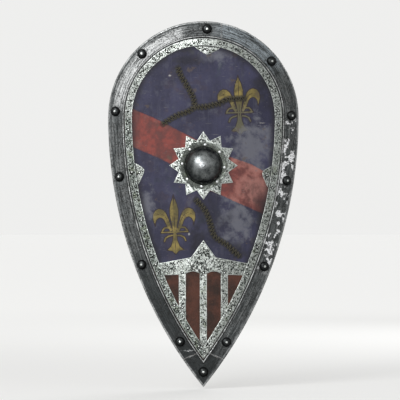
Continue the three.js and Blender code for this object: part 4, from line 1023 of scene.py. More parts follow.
@dataclass(frozen=True)
class PolishedSteel(Finish):
    """The boss's dark polished steel, with fine turned lines, a few scratches, a painted highlight and
    painted shade towards its foot.

    Attributes:
        ring: From where to where the dark ring at the top lies, in metres from the middle.
        crown: Where the painted highlight has its middle, in metres.
    """

    name: str = "boss steel"
    dark: Colour = (0.060, 0.068, 0.070)
    pale: Colour = (0.30, 0.32, 0.32)
    # foot darkens the pits, the ring and the painted shade towards the dome's foot; bright is the painted
    # highlight.
    foot: Colour = (0.016, 0.018, 0.018)
    bright: Colour = (0.86, 0.89, 0.91)
    ring: tuple[float, float] = (0.0040, 0.0070)
    crown: tuple[float, float, float] = (-0.006, 0.0, 0.003)

    def dress(self, nodes: Tree) -> dict[str, Value]:
        """Lays scratches, pits, painted shade towards the foot, a painted highlight and a dark ring over
        polished steel.

        Args:
            nodes: The material's tree.

        Returns:
            The shader's inputs, by name.
        """
        place = nodes.place()
        mottle = nodes.noise(place, 45.0, 5.0, 0.6)
        colour = nodes.mix(nodes.span(mottle, 0.32, 0.7), self.dark, self.pale)
        lines = nodes.effect(Effect.SCRATCHES, Vector=place, Scale=60.0, Amount=0.35)
        colour = nodes.cover(colour, lines, 0.5, self.pale)
        pits = nodes.effect(Effect.SPECKS, Vector=place, Scale=260.0, Amount=0.30)
        colour = nodes.cover(colour, pits, 0.7, self.foot)
        flat = nodes.vector("MULTIPLY", place, (1.0, 0.0, 1.0))
        reach = nodes.length(flat)
        # Painted shade: darker towards the dome's foot.
        colour = nodes.mix(nodes.span(reach, 0.026, 0.054, 0.0, 0.8), colour, self.foot)
        # Painted highlight: a bright oval near the top.
        oval = nodes.map(nodes.vector("SUBTRACT", flat, self.crown), (0.75, 1.0, 1.3))
        worn = nodes.times_add(mottle, 0.024, nodes.length(oval))
        colour = nodes.mix(nodes.span(worn, 0.014, 0.034, 0.52, 0.0), colour, self.bright)
        start, end = self.ring
        off = nodes.math("ABSOLUTE", nodes.math("SUBTRACT", reach, (start + end) / 2))
        return {
            "Base Color": nodes.mix(nodes.span(off, 0.0, (end - start) / 2, 0.8, 0.0), colour, self.foot),
            "Metallic": 0.95,
            "Roughness": nodes.span(mottle, 0.3, 0.7, 0.24, 0.38),
            "Normal": nodes.relief(mottle, 0.0008, 0.35),
        }


@dataclass(frozen=True)
class ForgedIron(Finish):
    """The buckles' forged iron, worn pale and browned by rust."""

    name: str = "forged iron"
    dark: Colour = (0.10, 0.10, 0.097)
    pale: Colour = (0.44, 0.435, 0.42)
    rust: Colour = (0.10, 0.045, 0.02)

    def dress(self, nodes: Tree) -> dict[str, Value]:
        """Lays brown rust and worn spots over forged iron.

        Args:
            nodes: The material's tree.

        Returns:
            The shader's inputs, by name.
        """
        place = nodes.place()
        mottle = nodes.noise(place, 210.0, 5.0, 0.65)
        colour = nodes.mix(nodes.span(mottle, 0.35, 0.62), self.dark, self.pale)
        rust = nodes.effect(Effect.PATCHES, Vector=place, Scale=90.0, Amount=0.3, Softness=0.06)
        return {
            "Base Color": nodes.cover(colour, rust, 0.6, self.rust),
            "Metallic": nodes.span(rust, 0.0, 1.0, 0.9, 0.3),
            "Roughness": nodes.span(mottle, 0.3, 0.7, 0.36, 0.6),
            "Normal": nodes.relief(mottle, 0.0006, 0.5),
        }


@dataclass(frozen=True)
class PaintedLeather(Finish):
    """Worn blue-grey paint with a red bend and gold lilies, over leather."""

    name: str = "painted leather"
    field: Colour = (0.055, 0.055, 0.108)
    deep: Colour = (0.030, 0.030, 0.060)
    cool: Colour = (0.044, 0.056, 0.082)
    warm: Colour = (0.066, 0.052, 0.078)
    pale: Colour = (0.120, 0.122, 0.155)
    rubbed: Colour = (0.185, 0.190, 0.222)
    red: Colour = (0.300, 0.075, 0.062)
    red_deep: Colour = (0.145, 0.048, 0.044)
    red_pale: Colour = (0.430, 0.205, 0.175)
    gold: Colour = (0.325, 0.252, 0.082)
    gold_deep: Colour = (0.120, 0.098, 0.036)
    gold_faded: Colour = (0.120, 0.118, 0.080)
    chipped: Colour = (0.42, 0.41, 0.40)
    outline: Colour = (0.034, 0.022, 0.016)
    leather: Colour = (0.115, 0.085, 0.065)
    slit: Colour = (0.012, 0.012, 0.007)
    tear_band: Colour = (0.024, 0.023, 0.021)
    stain: Colour = (0.014, 0.013, 0.017)
    soot: Colour = (0.014, 0.013, 0.018)
    nick: Colour = (0.20, 0.19, 0.20)
    grime: Colour = (0.016, 0.015, 0.018)

    def field_and_bend(self, nodes: Tree, broad: Value, mid: Value, bend: Value) -> Socket:
        """Draws the worn blue-grey field and the red bend across it.

        Args:
            nodes: The material's tree.
            broad: A slow noise.
            mid: A finer noise.
            bend: How far each place lies outside the bend.

        Returns:
            The colour.
        """
        place = nodes.place()
        upright = nodes.noise(nodes.map(place, (1.0, 1.0, 0.08)), 120.0, 3.0, 0.6)
        hue = nodes.noise(place, 15.0, 4.0, 0.6)
        field = nodes.mix(nodes.span(hue, 0.42, 0.34, 0.0, 0.8), self.field, self.cool)
        field = nodes.mix(nodes.span(hue, 0.54, 0.64, 0.0, 0.8), field, self.warm)
        base = nodes.mix(nodes.span(broad, 0.36, 0.66), self.deep, field)
        base = nodes.cover(base, nodes.span(mid, 0.50, 0.72), 0.55, self.pale)
        base = nodes.cover(base, nodes.span(upright, 0.52, 0.75), 0.22, self.pale)
        red = nodes.mix(nodes.span(mid, 0.38, 0.68), self.red_deep, self.red)
        red = nodes.cover(red, nodes.span(broad, 0.50, 0.66), 0.45, self.red_pale)
        base = nodes.mix(nodes.span(bend, 0.7, -0.7), base, red)
        return nodes.mix(nodes.span(nodes.math("ABSOLUTE", bend), 1.0, 3.4, 0.45, 0.0), base, self.deep)

    def lilies(self, nodes: Tree, base: Value, mid: Value, ragged: Value) -> Socket:
        """Draws the gold lilies with their outlines and veins.

        Args:
            nodes: The material's tree.
            base: The colour below them.
            mid: A noise that mottles the gold.
            ragged: A noise in millimetres that frays their edges.

        Returns:
            The colour.
        """
        lily = nodes.times_add(ragged, 0.35, nodes.read("lily_gap"))
        gold = nodes.mix(nodes.span(mid, 0.36, 0.66), self.gold_deep, self.gold)
        gold = nodes.cover(gold, nodes.read("fade"), 0.85, self.gold_faded)
        base = nodes.mix(nodes.span(lily, 2.6, 0.6, 0.0, 0.8), base, self.outline)
        base = nodes.mix(nodes.span(lily, -0.4, -1.3), base, gold)
        vein = nodes.times_add(ragged, 0.3, nodes.read("vein_gap"))
        return nodes.mix(nodes.span(vein, 1.5, 0.7, 0.0, 0.8), base, self.outline)

    def dress(self, nodes: Tree) -> dict[str, Value]:
        """Lays field, bend, lilies, wear, scratches and the slits of the tears over leather grain.

        Args:
            nodes: The material's tree.

        Returns:
            The shader's inputs, by name.
        """
        place = nodes.place()
        ragged = nodes.times_add(nodes.noise(place, 150.0, 4.0, 0.65), 4.5, -2.25)
        broad = nodes.noise(place, 9.0, 6.0, 0.62)
        mid = nodes.noise(place, 34.0, 5.0, 0.65)
        bend = nodes.math("ADD", nodes.read("bend_gap"), ragged)
        base = self.field_and_bend(nodes, broad, mid, bend)
        base = self.lilies(nodes, base, mid, ragged)

        blotch = nodes.math("SUBTRACT", mid, 0.5)
        rubbed = nodes.mix(nodes.span(bend, 0.7, -0.7), self.rubbed, self.red_pale)
        scuff = nodes.times_add(blotch, 3.0, nodes.read("scuff"))
        base = nodes.mix(nodes.span(scuff, -0.1, 0.8, 0.0, 0.75), base, rubbed)
        stain = nodes.times_add(blotch, 3.0, nodes.read("stain"))
        base = nodes.mix(nodes.span(stain, 0.0, 0.8, 0.0, 0.6), base, self.stain)
        chip = nodes.times_add(ragged, 0.25, nodes.read("chip"))
        base = nodes.mix(nodes.span(chip, 0.05, 0.35, 0.0, 0.9), base, self.chipped)
        worn = nodes.effect(Effect.PATCHES, Vector=place, Scale=26.0, Amount=0.20, Softness=0.035)
        base = nodes.cover(base, worn, 0.6, self.leather)
        turned_place = nodes.map(place, (1, 1, 0.5), (0.4, 0, 0.9))
        soot = nodes.effect(Effect.PATCHES, Vector=turned_place, Scale=15.0, Amount=0.30, Softness=0.10)
        base = nodes.cover(base, soot, 0.55, self.soot)
        nicks = nodes.effect(Effect.SCRATCHES, Vector=place, Scale=14.0, Amount=0.50)
        base = nodes.cover(base, nicks, 0.5, self.nick)
        edge = nodes.math("ADD", nodes.read("edge_gap"), nodes.times(mid, -14.0))
        base = nodes.mix(nodes.span(edge, -8.0, 12.0, 0.75, 0.0), base, self.grime)
        tear = nodes.math("ADD", nodes.read("tear_gap"), ragged)
        base = nodes.mix(nodes.span(tear, 13.0, 7.0, 0.0, 0.72), base, self.tear_band)
        slit = nodes.span(tear, 3.6, 2.4)
        grain = nodes.effect(Effect.GRAIN, Vector=place, Scale=420.0)
        height = nodes.times_add(mid, 1.6, nodes.times(grain, 0.35))
        height = nodes.times_add(nicks, -0.5, height)
        height = nodes.times_add(nodes.span(tear, 7.0, 3.0), 1.0, height)
        height = nodes.times_add(slit, -3.0, height)
        return {
            "Base Color": nodes.mix(slit, base, self.slit),
            "Roughness": nodes.span(mid, 0.3, 0.7, 0.52, 0.74),
            "Specular IOR Level": 0.35,
            "Normal": nodes.relief(height, 0.0007, 0.9),
        }


@dataclass(frozen=True)
class PlainLeather(Finish):
    """Plain leather with grain, creases, dirt and lighter worn edges."""

    base: Colour
    deep: Colour
    worn: Colour
    grain: float = 650.0
    rough: float = 0.55
    creases: float = 0.5

    def dress(self, nodes: Tree) -> dict[str, Value]:
        """Lays tone, creases, dirt and edge wear over leather grain.

        Args:
            nodes: The material's tree.

        Returns:
            The shader's inputs, by name.
        """
        place = nodes.place()
        broad = nodes.noise(place, 22.0, 5.0, 0.62)
        mid = nodes.noise(place, 95.0, 5.0, 0.65)
        colour = nodes.mix(nodes.span(broad, 0.34, 0.68), self.deep, self.base)
        colour = nodes.cover(colour, nodes.span(mid, 0.52, 0.74), 0.5, self.worn)
        cracks = nodes.span(nodes.cells(place, 130.0), 0.0, 0.07, 1.0, 0.0)
        cracks = nodes.times(cracks, nodes.span(mid, 0.46, 0.62, 0.0, self.creases))
        colour = nodes.mix(cracks, colour, self.deep)
        wear = nodes.effect(
            Effect.EDGE_WEAR, Vector=place, Edge=nodes.read("edge"), Scale=160.0, Amount=0.62
        )
        grain = nodes.effect(Effect.GRAIN, Vector=place, Scale=self.grain)
        return {
            "Base Color": nodes.cover(colour, wear, 0.7, self.worn),
            "Roughness": nodes.span(mid, 0.3, 0.7, self.rough - 0.08, self.rough + 0.14),
            "Specular IOR Level": 0.4,
            "Normal": nodes.relief(nodes.times_add(cracks, -0.8, grain), 0.00035, 0.8),
        }


@dataclass(frozen=True)
class BoardWood(Finish):
    """Bare old planks with upright grain, each in its own tone, and darker joints."""

    name: str = "board wood"
    pale: Colour = (0.30, 0.185, 0.098)
    deep: Colour = (0.135, 0.075, 0.036)
    grime: Colour = (0.035, 0.024, 0.015)

    def dress(self, nodes: Tree) -> dict[str, Value]:
        """Lays grain, plank tones and grime over wood.

        Args:
            nodes: The material's tree.

        Returns:
            The shader's inputs, by name.
        """
        place = nodes.place()
        plank = nodes.read("plank")
        moved = nodes.vector("ADD", place, nodes.join(0.0, plank, plank))
        rings = nodes.noise(nodes.map(moved, (1.0, 1.0, 0.06)), 85.0, 6.0, 0.62)
        fine = nodes.noise(nodes.map(moved, (1.0, 1.0, 0.025)), 520.0, 3.0, 0.6)
        tone = nodes.times_add(plank, 0.16, nodes.times_add(fine, 0.3, rings))
        colour = nodes.mix(nodes.span(tone, 0.48, 0.86), self.deep, self.pale)
        dirt = nodes.effect(Effect.PATCHES, Vector=place, Scale=11.0, Amount=0.5, Softness=0.16)
        colour = nodes.cover(colour, dirt, 0.45, self.grime)
        return {
            "Base Color": nodes.cover(colour, nodes.read("edge"), 0.6, self.grime),
            "Roughness": nodes.span(tone, 0.4, 0.9, 0.78, 0.6),
            "Normal": nodes.relief(tone, 0.0006, 0.8),
        }


@dataclass(frozen=True)
class Cord(Finish):
    """Twisted waxed cord or sewing thread."""

    base: Colour
    pale: Colour
    twist: float = 900.0
    lean: float = 38.0

    def dress(self, nodes: Tree) -> dict[str, Value]:
        """Lays slanting twist lines over the cord's colour.

        Args:
            nodes: The material's tree.

        Returns:
            The shader's inputs, by name.
        """
        place = nodes.place()
        tone = nodes.noise(place, 240.0, 3.0, 0.6)
        slanted = nodes.map(place, (1.0, 1.0, 1.0), (0.0, math.radians(self.lean), 0.0))
        inputs = {"Vector": slanted, "Scale": self.twist, "Distortion": 1.5}
        wave = nodes.add("ShaderNodeTexWave", inputs).outputs["Fac"]
        colour = nodes.mix(nodes.span(tone, 0.35, 0.7), self.base, self.pale)
        return {
            "Base Color": nodes.cover(colour, wave, 0.35, self.base),
            "Roughness": 0.7,
            "Normal": nodes.relief(wave, 0.0003, 0.7),
        }


ETCHED = EtchedSteel()
DARK_ETCHED = EtchedSteel(
    "etched steel, dull", bright=(0.60, 0.65, 0.62), grey=(0.22, 0.26, 0.23), pits=0.50, green=0.32
)
COLLAR_STEEL = EtchedSteel(
    "collar steel", bright=(0.30, 0.33, 0.30), grey=(0.10, 0.115, 0.10), pits=0.56, green=0.3
)
RIM_STEEL = RimSteel()
# Each rivet steel paints a highlight on the crown of its heads and shade at their foot.
RIVET_STEEL = RivetSteel()
PIN_STEEL = RivetSteel("pin steel", dark=(0.07, 0.075, 0.07), grey=(0.20, 0.21, 0.19), crown=0.42)
BOSS_RIVET_STEEL = RivetSteel(
    "boss rivet steel", dark=(0.22, 0.24, 0.24), grey=(0.5, 0.53, 0.53), bright=(0.9, 0.92, 0.92),
    crown=0.9, foot_shade=0.3,
)
BOSS_STEEL = PolishedSteel()
IRON = ForgedIron()
PAINTED = PaintedLeather()
PANEL_LEATHER = PlainLeather(
    "panel leather", (0.105, 0.036, 0.022), (0.034, 0.016, 0.011), (0.16, 0.080, 0.052), rough=0.6
)
STRAP_LEATHER = PlainLeather(
    "strap leather", (0.105, 0.052, 0.026), (0.045, 0.022, 0.012), (0.24, 0.135, 0.07), rough=0.45
)
PAD_LEATHER = PlainLeather(
    "pad leather", (0.20, 0.115, 0.062), (0.10, 0.055, 0.03), (0.32, 0.21, 0.125), grain=800.0
)
SLEEVE_LEATHER = PlainLeather(
    "sleeve leather", (0.15, 0.082, 0.044), (0.075, 0.04, 0.022), (0.27, 0.17, 0.10), grain=800.0
)
# Painted shade: the dark inside of the punched holes, which are marks on the strap rather than openings.
HOLE_SHADE = PlainLeather(
    "punched hole", (0.012, 0.008, 0.006), (0.006, 0.004, 0.003), (0.03, 0.02, 0.012), rough=0.8
)
BOARD_WOOD = BoardWood()
LACE = Cord("lace", (0.010, 0.010, 0.007), (0.046, 0.043, 0.035))
THREAD = Cord("thread", (0.30, 0.25, 0.17), (0.50, 0.44, 0.32), twist=2200.0)


def show(
    bm: BMesh, name: str, finishes: Sequence[Finish], stands_for: Sequence[str] = (),
    body: Body = Body.SHIELD, crease: float = 32.0,
) -> bpy.types.Object:
    """Turns a finished mesh in millimetres into a piece of the shield.

    Args:
        bm: The mesh, bent and in place. It is freed.
        name: The piece's name.
        finishes: Its finishes, by material index.
        stands_for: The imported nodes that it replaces.
        body: The body that it moves with.
        crease: The angle in degrees above which an edge stays sharp.

    Returns:
        The piece's object.
    """
    bmesh.ops.scale(bm, vec=(MM, MM, MM), verts=bm.verts[:])
    mesh = as_mesh(bm, name)
    mesh.shade_smooth()
    mesh.set_sharp_from_angle(angle=math.radians(crease))
    for finish in finishes:
        mesh.materials.append(finish.material())
    piece = add_object(name, mesh)
    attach(piece, body.value)
    if stands_for:
        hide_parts(*stands_for)
    LOG.info("%s: %d faces", name, len(mesh.polygons))
    return piece


# Board and leather

SEAT_GAP = 0.3
COVER_BOTTOM, COVER_TOP = 0.3, 1.9
PLATE_BOTTOM, RIM_TOP, TRIM_TOP = 2.2, 3.4, 3.5
FIELD_INSET = 74.0
LEATHER_JOINT = -306.0


@dataclass
class Board:
    """Seven upright planks, glued edge to edge."""

    joints: tuple[float, ...] = (-240.0, -150.0, -55.0, 40.0, 130.0, 225.0)
    inset: float = 1.5
    gap: float = 0.15
    rounding: float = 0.7
    worn: float = 3.0

    def plank(self, low: float, high: float, tone: float) -> BMesh:
        """Makes one plank.

        Args:
            low: Where it starts across the board.
            high: Where it ends.
            tone: Its own tone, from 0 to 1.

        Returns:
            The bent mesh.
        """
        bm = new_mesh()
        outline = FORM.edge_line(0.0, 3.0, self.inset)[:-1]
        bm.faces.new([bm.verts.new((x, FORM.board_thickness, z)) for x, z in outline])
        sides = (low + self.gap, high - self.gap)
        cut_across(bm, (sides[0], 0, 0), (-1, 0, 0), clear=True)
        cut_across(bm, (sides[1], 0, 0), (1, 0, 0), clear=True)
        thicken(bm, -FORM.board_thickness)
        joints = [edge for edge in bm.edges if self.is_joint(edge, sides)]
        round_edges(bm, joints, self.rounding, segments=1)
        split_large(bm)
        FORM.slice_upright(bm)
        for x in (low + self.worn, high - self.worn):
            cut_across(bm, (x, 0, 0), (1, 0, 0))
        near = self.rounding + self.gap + 0.1
        set_layer(bm, "edge", lambda vert: float(min(vert.co.x - low, high - vert.co.x) < near))
        set_layer(bm, "plank", tone)
        FORM.bend(bm)
        return bm

    @staticmethod
    def is_joint(edge: BMEdge, sides: Sequence[float]) -> bool:
        """Tells whether an edge runs upright along a joint of the plank.

        Args:
            edge: The edge.
            sides: Where the plank's two joints are.

        Returns:
            Whether it does.
        """
        start, end = (vert.co for vert in edge.verts)
        upright = abs(start.y - end.y) < 0.01
        return upright and any(max(abs(start.x - x), abs(end.x - x)) < 0.01 for x in sides)

    def build(self) -> None:
        """Builds the board from its planks."""
        limits = (-FORM.half_width - 1, *self.joints, FORM.half_width + 1)
        chance = Random(7)
        board = new_mesh()
        for low, high in zip(limits, limits[1:]):
            absorb(board, self.plank(low, high, chance.random()))
        show(board, "board_planks", [BOARD_WOOD], ["board"])


def line_gaps(places: np.ndarray, line: Sequence[Point]) -> np.ndarray:
    """Measures how far each place lies from a line of points.

    Args:
        places: One (x, z) row for each place.
        line: The line's points.

    Returns:
        One distance for each place.
    """
    nearest = np.full(len(places), np.inf)
    for start, end in zip(line, line[1:]):
        first = np.array(start)
        run = np.array(end) - first
        offset = places - first
        share = np.clip(offset @ run / max(run @ run, 1e-9), 0, 1)
        nearest = np.minimum(nearest, np.hypot(*(offset - share[:, None] * run).T))
    return nearest


def shape_gaps(places: np.ndarray, shape: Sequence[Point]) -> np.ndarray:
    """Measures how far each place lies outside a closed shape, less than 0 inside it.

    Args:
        places: One (x, z) row for each place.
        shape: The shape's corners.

    Returns:
        One signed distance for each place.
    """
    loop = [*shape, shape[0]]
    inside = np.zeros(len(places), bool)
    for (x0, z0), (x1, z1) in zip(loop, loop[1:]):
        crosses = (z0 > places[:, 1]) != (z1 > places[:, 1])
        if z0 != z1:
            at = x0 + (places[:, 1] - z0) * (x1 - x0) / (z1 - z0)
            inside ^= crosses & (places[:, 0] < at)
    gaps = line_gaps(places, loop)
    return np.where(inside, -gaps, gaps)


@dataclass(frozen=True)
class Lily:
    """A heraldic lily, drawn round its waist as its right half."""

    petal: tuple[Point, ...] = (
        (0.0, 113.0), (3.5, 101.0), (9.5, 85.0), (13.5, 66.0), (12.5, 46.0), (8.5, 24.0), (5.0, 0.0),
        (0.0, 0.0),
    )
    leaf: tuple[Point, ...] = (
        (6.0, 2.0), (13.0, 26.0), (19.0, 46.0), (25.0, 60.0), (34.0, 69.0), (45.0, 72.0), (56.0, 67.0),
        (63.0, 56.0), (64.0, 42.0), (60.0, 26.0), (57.0, 19.0), (56.0, 31.0), (52.0, 40.0), (44.0, 45.0),
        (36.0, 43.0), (30.0, 36.0), (23.0, 19.0), (14.0, 2.0),
    )
    foot: tuple[Point, ...] = (
        (0.0, -2.0), (5.0, -2.0), (7.0, -24.0), (13.0, -42.0), (26.0, -54.0), (10.0, -57.0), (0.0, -68.0),
    )
    petal_vein: tuple[Point, ...] = ((0.0, 96.0), (0.0, 14.0))
    leaf_vein: tuple[Point, ...] = ((11.0, 10.0), (19.0, 34.0), (29.0, 50.0), (41.0, 57.0), (53.0, 53.0))
    curls: tuple[tuple[Point, ...], ...] = (
        ((9.0, 8.0), (20.0, 14.0), (30.0, 13.0), (37.0, 5.0)),
        ((9.0, -10.0), (19.0, -12.0), (28.0, -17.0), (32.0, -27.0)),
    )
    curl_width: float = 2.9
    band_reach: float = 42.0
    band_half_height: float = 2.6
    lean: float = 2.5

    def gaps(self, places: np.ndarray, waist: Point) -> tuple[np.ndarray, np.ndarray]:
        """Measures places against a lily whose waist is at a place.

        Args:
            places: One (x, z) row for each place.
            waist: Where its waist is.

        Returns:
            The signed distances to its shape, and the distances to its veins.
        """
        turn = math.radians(self.lean)
        offset = places - np.array(waist)
        across = offset[:, 0] * math.cos(turn) + offset[:, 1] * math.sin(turn)
        up = offset[:, 1] * math.cos(turn) - offset[:, 0] * math.sin(turn)
        half = np.column_stack([np.abs(across), up])
        band = np.maximum(half[:, 0] - self.band_reach, np.abs(half[:, 1]) - self.band_half_height)
        gaps = [shape_gaps(half, shape) for shape in (self.petal, self.leaf, self.foot)]
        gaps += [line_gaps(half, curl) - self.curl_width for curl in self.curls]
        veins = np.minimum(line_gaps(half, self.petal_vein), line_gaps(half, self.leaf_vein))
        return np.minimum.reduce([*gaps, band]), veins


def smooth_line(points: Sequence[Point], steps: int = 8) -> list[Point]:
    """Draws a smooth curve through points.

    Args:
        points: The points.
        steps: How many steps each stretch has.

    Returns:
        The curve's points.
    """
    line = [Vector(point) for point in points]
    ends = [line[0] * 2 - line[1], *line, line[-1] * 2 - line[-2]]
    curve: list[Point] = []
    for before, start, end, after in zip(ends, ends[1:], ends[2:], ends[3:]):
        for index in range(steps):
            t = index / steps
            place = 0.5 * (
                2 * start + (end - before) * t + (2 * before - 5 * start + 4 * end - after) * t * t
                + (3 * start - before - 3 * end + after) * t**3
            )
            curve.append(tuple(place))
    return [*curve, tuple(line[-1])]


@dataclass(frozen=True)
class Tears:
    """The lines of the two laced tears in the leather."""

    upper: tuple[tuple[Point, ...], ...] = (
        ((-75.7, 292.9), (-67.7, 270.7), (-49.5, 240.2), (-31.7, 206.5), (-25.3, 175.7)),
        ((-25.3, 175.7), (-48.1, 161.3), (-82.1, 149.2), (-121.0, 125.3)),
        ((-25.3, 175.7), (9.2, 177.1), (51.0, 188.6), (72.0, 198.7), (122.1, 202.5)),
    )
    lower: tuple[Point, ...] = (
        (-21.6, -103.7), (1.4, -129.6), (14.4, -154.0), (23.0, -184.3), (31.7, -210.3), (50.4, -226.0),
        (72.0, -239.0), (90.7, -257.8), (108.0, -272.2),
    )

    def lines(self) -> list[list[Point]]:
        """Lists the smoothed lines, the upper tear's arms first."""
        return [smooth_line(line) for line in (*self.upper, self.lower)]


TEARS = Tears()


@dataclass
class FaceLeather:
    """The painted leather over the front of the board, as a fine sheet that carries its pattern.

    Attributes:
        step: The width of the grid's squares.
        inset: How far inside the outline it ends, under the rim.
        bend_line: The outline of the red bend.
        upper_waist: The waist of the upper lily.
        lower_waist: The waist of the lower lily.
        scuffs: Rubbed ovals, each its middle and its reach across and up. Stains and chips are the same.
        wave_height: How high the leather's slow waves rise.
        wave_length: How long they are.
        calm_edge: How far from the trim they reach their height.
        fade_above: How far above its waist the upper lily starts to fade.
        fade_length: Over what height it fades.
        fade_from: From which place across it fades.
        lip_height: How high the leather rises beside a tear.
        lip_reach: How far from the tear the rise is highest.
        lip_width: How wide the rise is.
        slit_depth: How deep the leather sinks at the tear.
        slit_width: How wide it sinks.
    """

    step: float = 3.0
    inset: float = 9.0
    bend_line: tuple[Point, ...] = (
        (-300.0, 208.0), (-216.0, 173.0), (-150.0, 145.0), (-110.0, 125.0), (-53.0, 95.0), (15.0, 60.0),
        (82.0, 26.0), (144.0, 4.0), (180.0, -16.0), (300.0, -70.0), (300.0, -205.0), (173.0, -143.0),
        (112.0, -116.0), (55.0, -90.0), (17.0, -76.0), (-45.0, -34.0), (-102.0, 6.0), (-134.0, 22.0),
        (-212.0, 56.0), (-300.0, 88.0),
    )
    upper_waist: Point = (108.0, 159.5)
    lower_waist: Point = (-85.8, -199.8)
    scuffs: tuple[tuple[Point, Point], ...] = (
        ((150.0, 52.0), (72.0, 100.0)), ((95.0, -170.0), (66.0, 80.0)), ((150.0, -70.0), (60.0, 60.0)),
        ((30.0, 330.0), (70.0, 24.0)), ((-170.0, -120.0), (30.0, 50.0)),
    )
    stains: tuple[tuple[Point, Point], ...] = (
        ((95.0, -257.0), (44.0, 34.0)), ((175.0, 240.0), (34.0, 50.0)), ((-20.0, -230.0), (26.0, 60.0)),
        ((170.0, -120.0), (26.0, 60.0)), ((-40.0, 320.0), (60.0, 30.0)),
    )
    chips: tuple[tuple[Point, Point], ...] = (
        ((-101.0, 271.0), (5.5, 3.2)), ((-43.0, -206.0), (3.6, 5.0)), ((178.0, 128.0), (20.0, 1.7)),
        ((166.0, 121.0), (15.0, 1.4)), ((186.0, 109.0), (14.0, 1.2)),
    )
    wave_height: float = 0.35
    wave_length: float = 60.0
    calm_edge: float = 30.0
    fade_above: float = 45.0
    fade_length: float = 50.0
    fade_from: float = 30.0
    lip_height: float = 0.9
    lip_reach: float = 6.5
    lip_width: float = 4.0
    slit_depth: float = 1.1
    slit_width: float = 3.2

    @staticmethod
    def spots(places: np.ndarray, ovals: Sequence[tuple[Point, Point]]) -> np.ndarray:
        """Measures how deep places lie in ovals.

        Args:
            places: One (x, z) row for each place.
            ovals: Each oval's middle and its reach.

        Returns:
            One depth for each place in its nearest oval: 1 at the middle, 0 at the edge.
        """
        depths = [
            1 - np.hypot((places[:, 0] - middle[0]) / reach[0], (places[:, 1] - middle[1]) / reach[1])
            for middle, reach in ovals
        ]
        return np.maximum.reduce(depths)

    def is_outside(self, face: BMFace) -> bool:
        """Tells whether a face lies outside the leather's edge."""
        centre = face.calc_center_median()
        return FORM.run_and_inset(centre.x, centre.z)[1] < self.inset

    def sheet(self) -> BMesh:
        """Makes the flat sheet as a grid that is trimmed under the rim.

        Returns:
            The sheet.
        """
        top = FORM.boss_drop + FORM.half_width
        columns = round(2 * FORM.half_width / self.step)
        rows = round((top - LEATHER_JOINT) / self.step)
        bm = bmesh.new()
        bmesh.ops.create_grid(bm, x_segments=columns, y_segments=rows, size=0.5)
        stand_up = Matrix.Rotation(math.pi / 2, 4, "X")
        size = Matrix.Diagonal((columns * self.step, rows * self.step, 1, 1))
        middle = Matrix.Translation((0, -COVER_TOP, LEATHER_JOINT + rows * self.step / 2))
        move(bm, middle @ stand_up @ size)
        bmesh.ops.delete(bm, geom=[face for face in bm.faces if self.is_outside(face)], context="FACES")
        thicken(bm, COVER_TOP - COVER_BOTTOM)
        return bm

    def write_gaps(self, bm: BMesh) -> None:
        """Writes how far each vertex lies from the bend, the lilies, the tears and the trim.

        Args:
            bm: The flat sheet.
        """
        places = np.array([(vert.co.x, vert.co.z) for vert in bm.verts])
        upper, upper_veins = Lily().gaps(places, self.upper_waist)
        lower, lower_veins = Lily().gaps(places, self.lower_waist)
        tear = np.minimum.reduce([line_gaps(places, line) for line in TEARS.lines()])
        insets = np.array([FORM.run_and_inset(x, z)[1] for x, z in places])
        top = self.upper_waist[1] + self.fade_above
        fade = np.clip((top - places[:, 1]) / self.fade_length, 0, 1) * (places[:, 0] > self.fade_from)
        values = {
            "bend_gap": shape_gaps(places, self.bend_line),
            "lily_gap": np.minimum(upper, lower),
            "vein_gap": np.minimum(upper_veins, lower_veins),
            "tear_gap": tear,
            "edge_gap": insets - FIELD_INSET,
            "fade": fade * (upper < lower),
            "scuff": self.spots(places, self.scuffs),
            "stain": self.spots(places, self.stains),
            "chip": self.spots(places, self.chips),
        }
        for name, column in values.items():
            layer = bm.verts.layers.float.new(name)
            for vert, value in zip(bm.verts, column):
                vert[layer] = float(value)

    def swell(self, bm: BMesh) -> None:
        """Raises the leather's front in slow waves, and more beside the tears.

        Args:
            bm: The flat sheet, with its gaps written.
        """
        gap = bm.verts.layers.float["tear_gap"]
        edge = bm.verts.layers.float["edge_gap"]
        for vert in bm.verts:
            if vert.co.y > -COVER_TOP + 0.1 or vert[edge] < 1:
                continue
            free = min(vert[edge] / self.calm_edge, 1)
            wave = 0.5 + 0.5 * noise.noise(Vector((vert.co.x, 0, vert.co.z)) / self.wave_length)
            lip = math.exp(-(((vert[gap] - self.lip_reach) / self.lip_width) ** 2))
            slit = math.exp(-((vert[gap] / self.slit_width) ** 2))
            vert.co.y -= free * (self.wave_height * wave + self.lip_height * lip) - self.slit_depth * slit

    def build(self) -> None:
        """Builds the painted leather."""
        bm = self.sheet()
        self.write_gaps(bm)
        self.swell(bm)
        FORM.bend(bm)
        show(bm, "face_leather", [PAINTED], ["face_cover"])


@dataclass
class LowerPanel:
    """The red-brown panel in the tip, under the bars."""

    inset: float = 6.0

    def build(self) -> None:
        """Builds the panel."""
        start = FORM.right_station(LEATHER_JOINT - 2 * SEAT_GAP, self.inset)
        right = FORM.edge_line(0.0, start, self.inset)
        left = FORM.edge_line(3 - start, 3.0, self.inset)[:-1]
        bm = plate([*right, *left], COVER_BOTTOM, COVER_TOP, bevel=0.5)
        FORM.bend(bm)
        show(bm, "tip_panel", [PANEL_LEATHER], ["lower_panel"])


# Rim

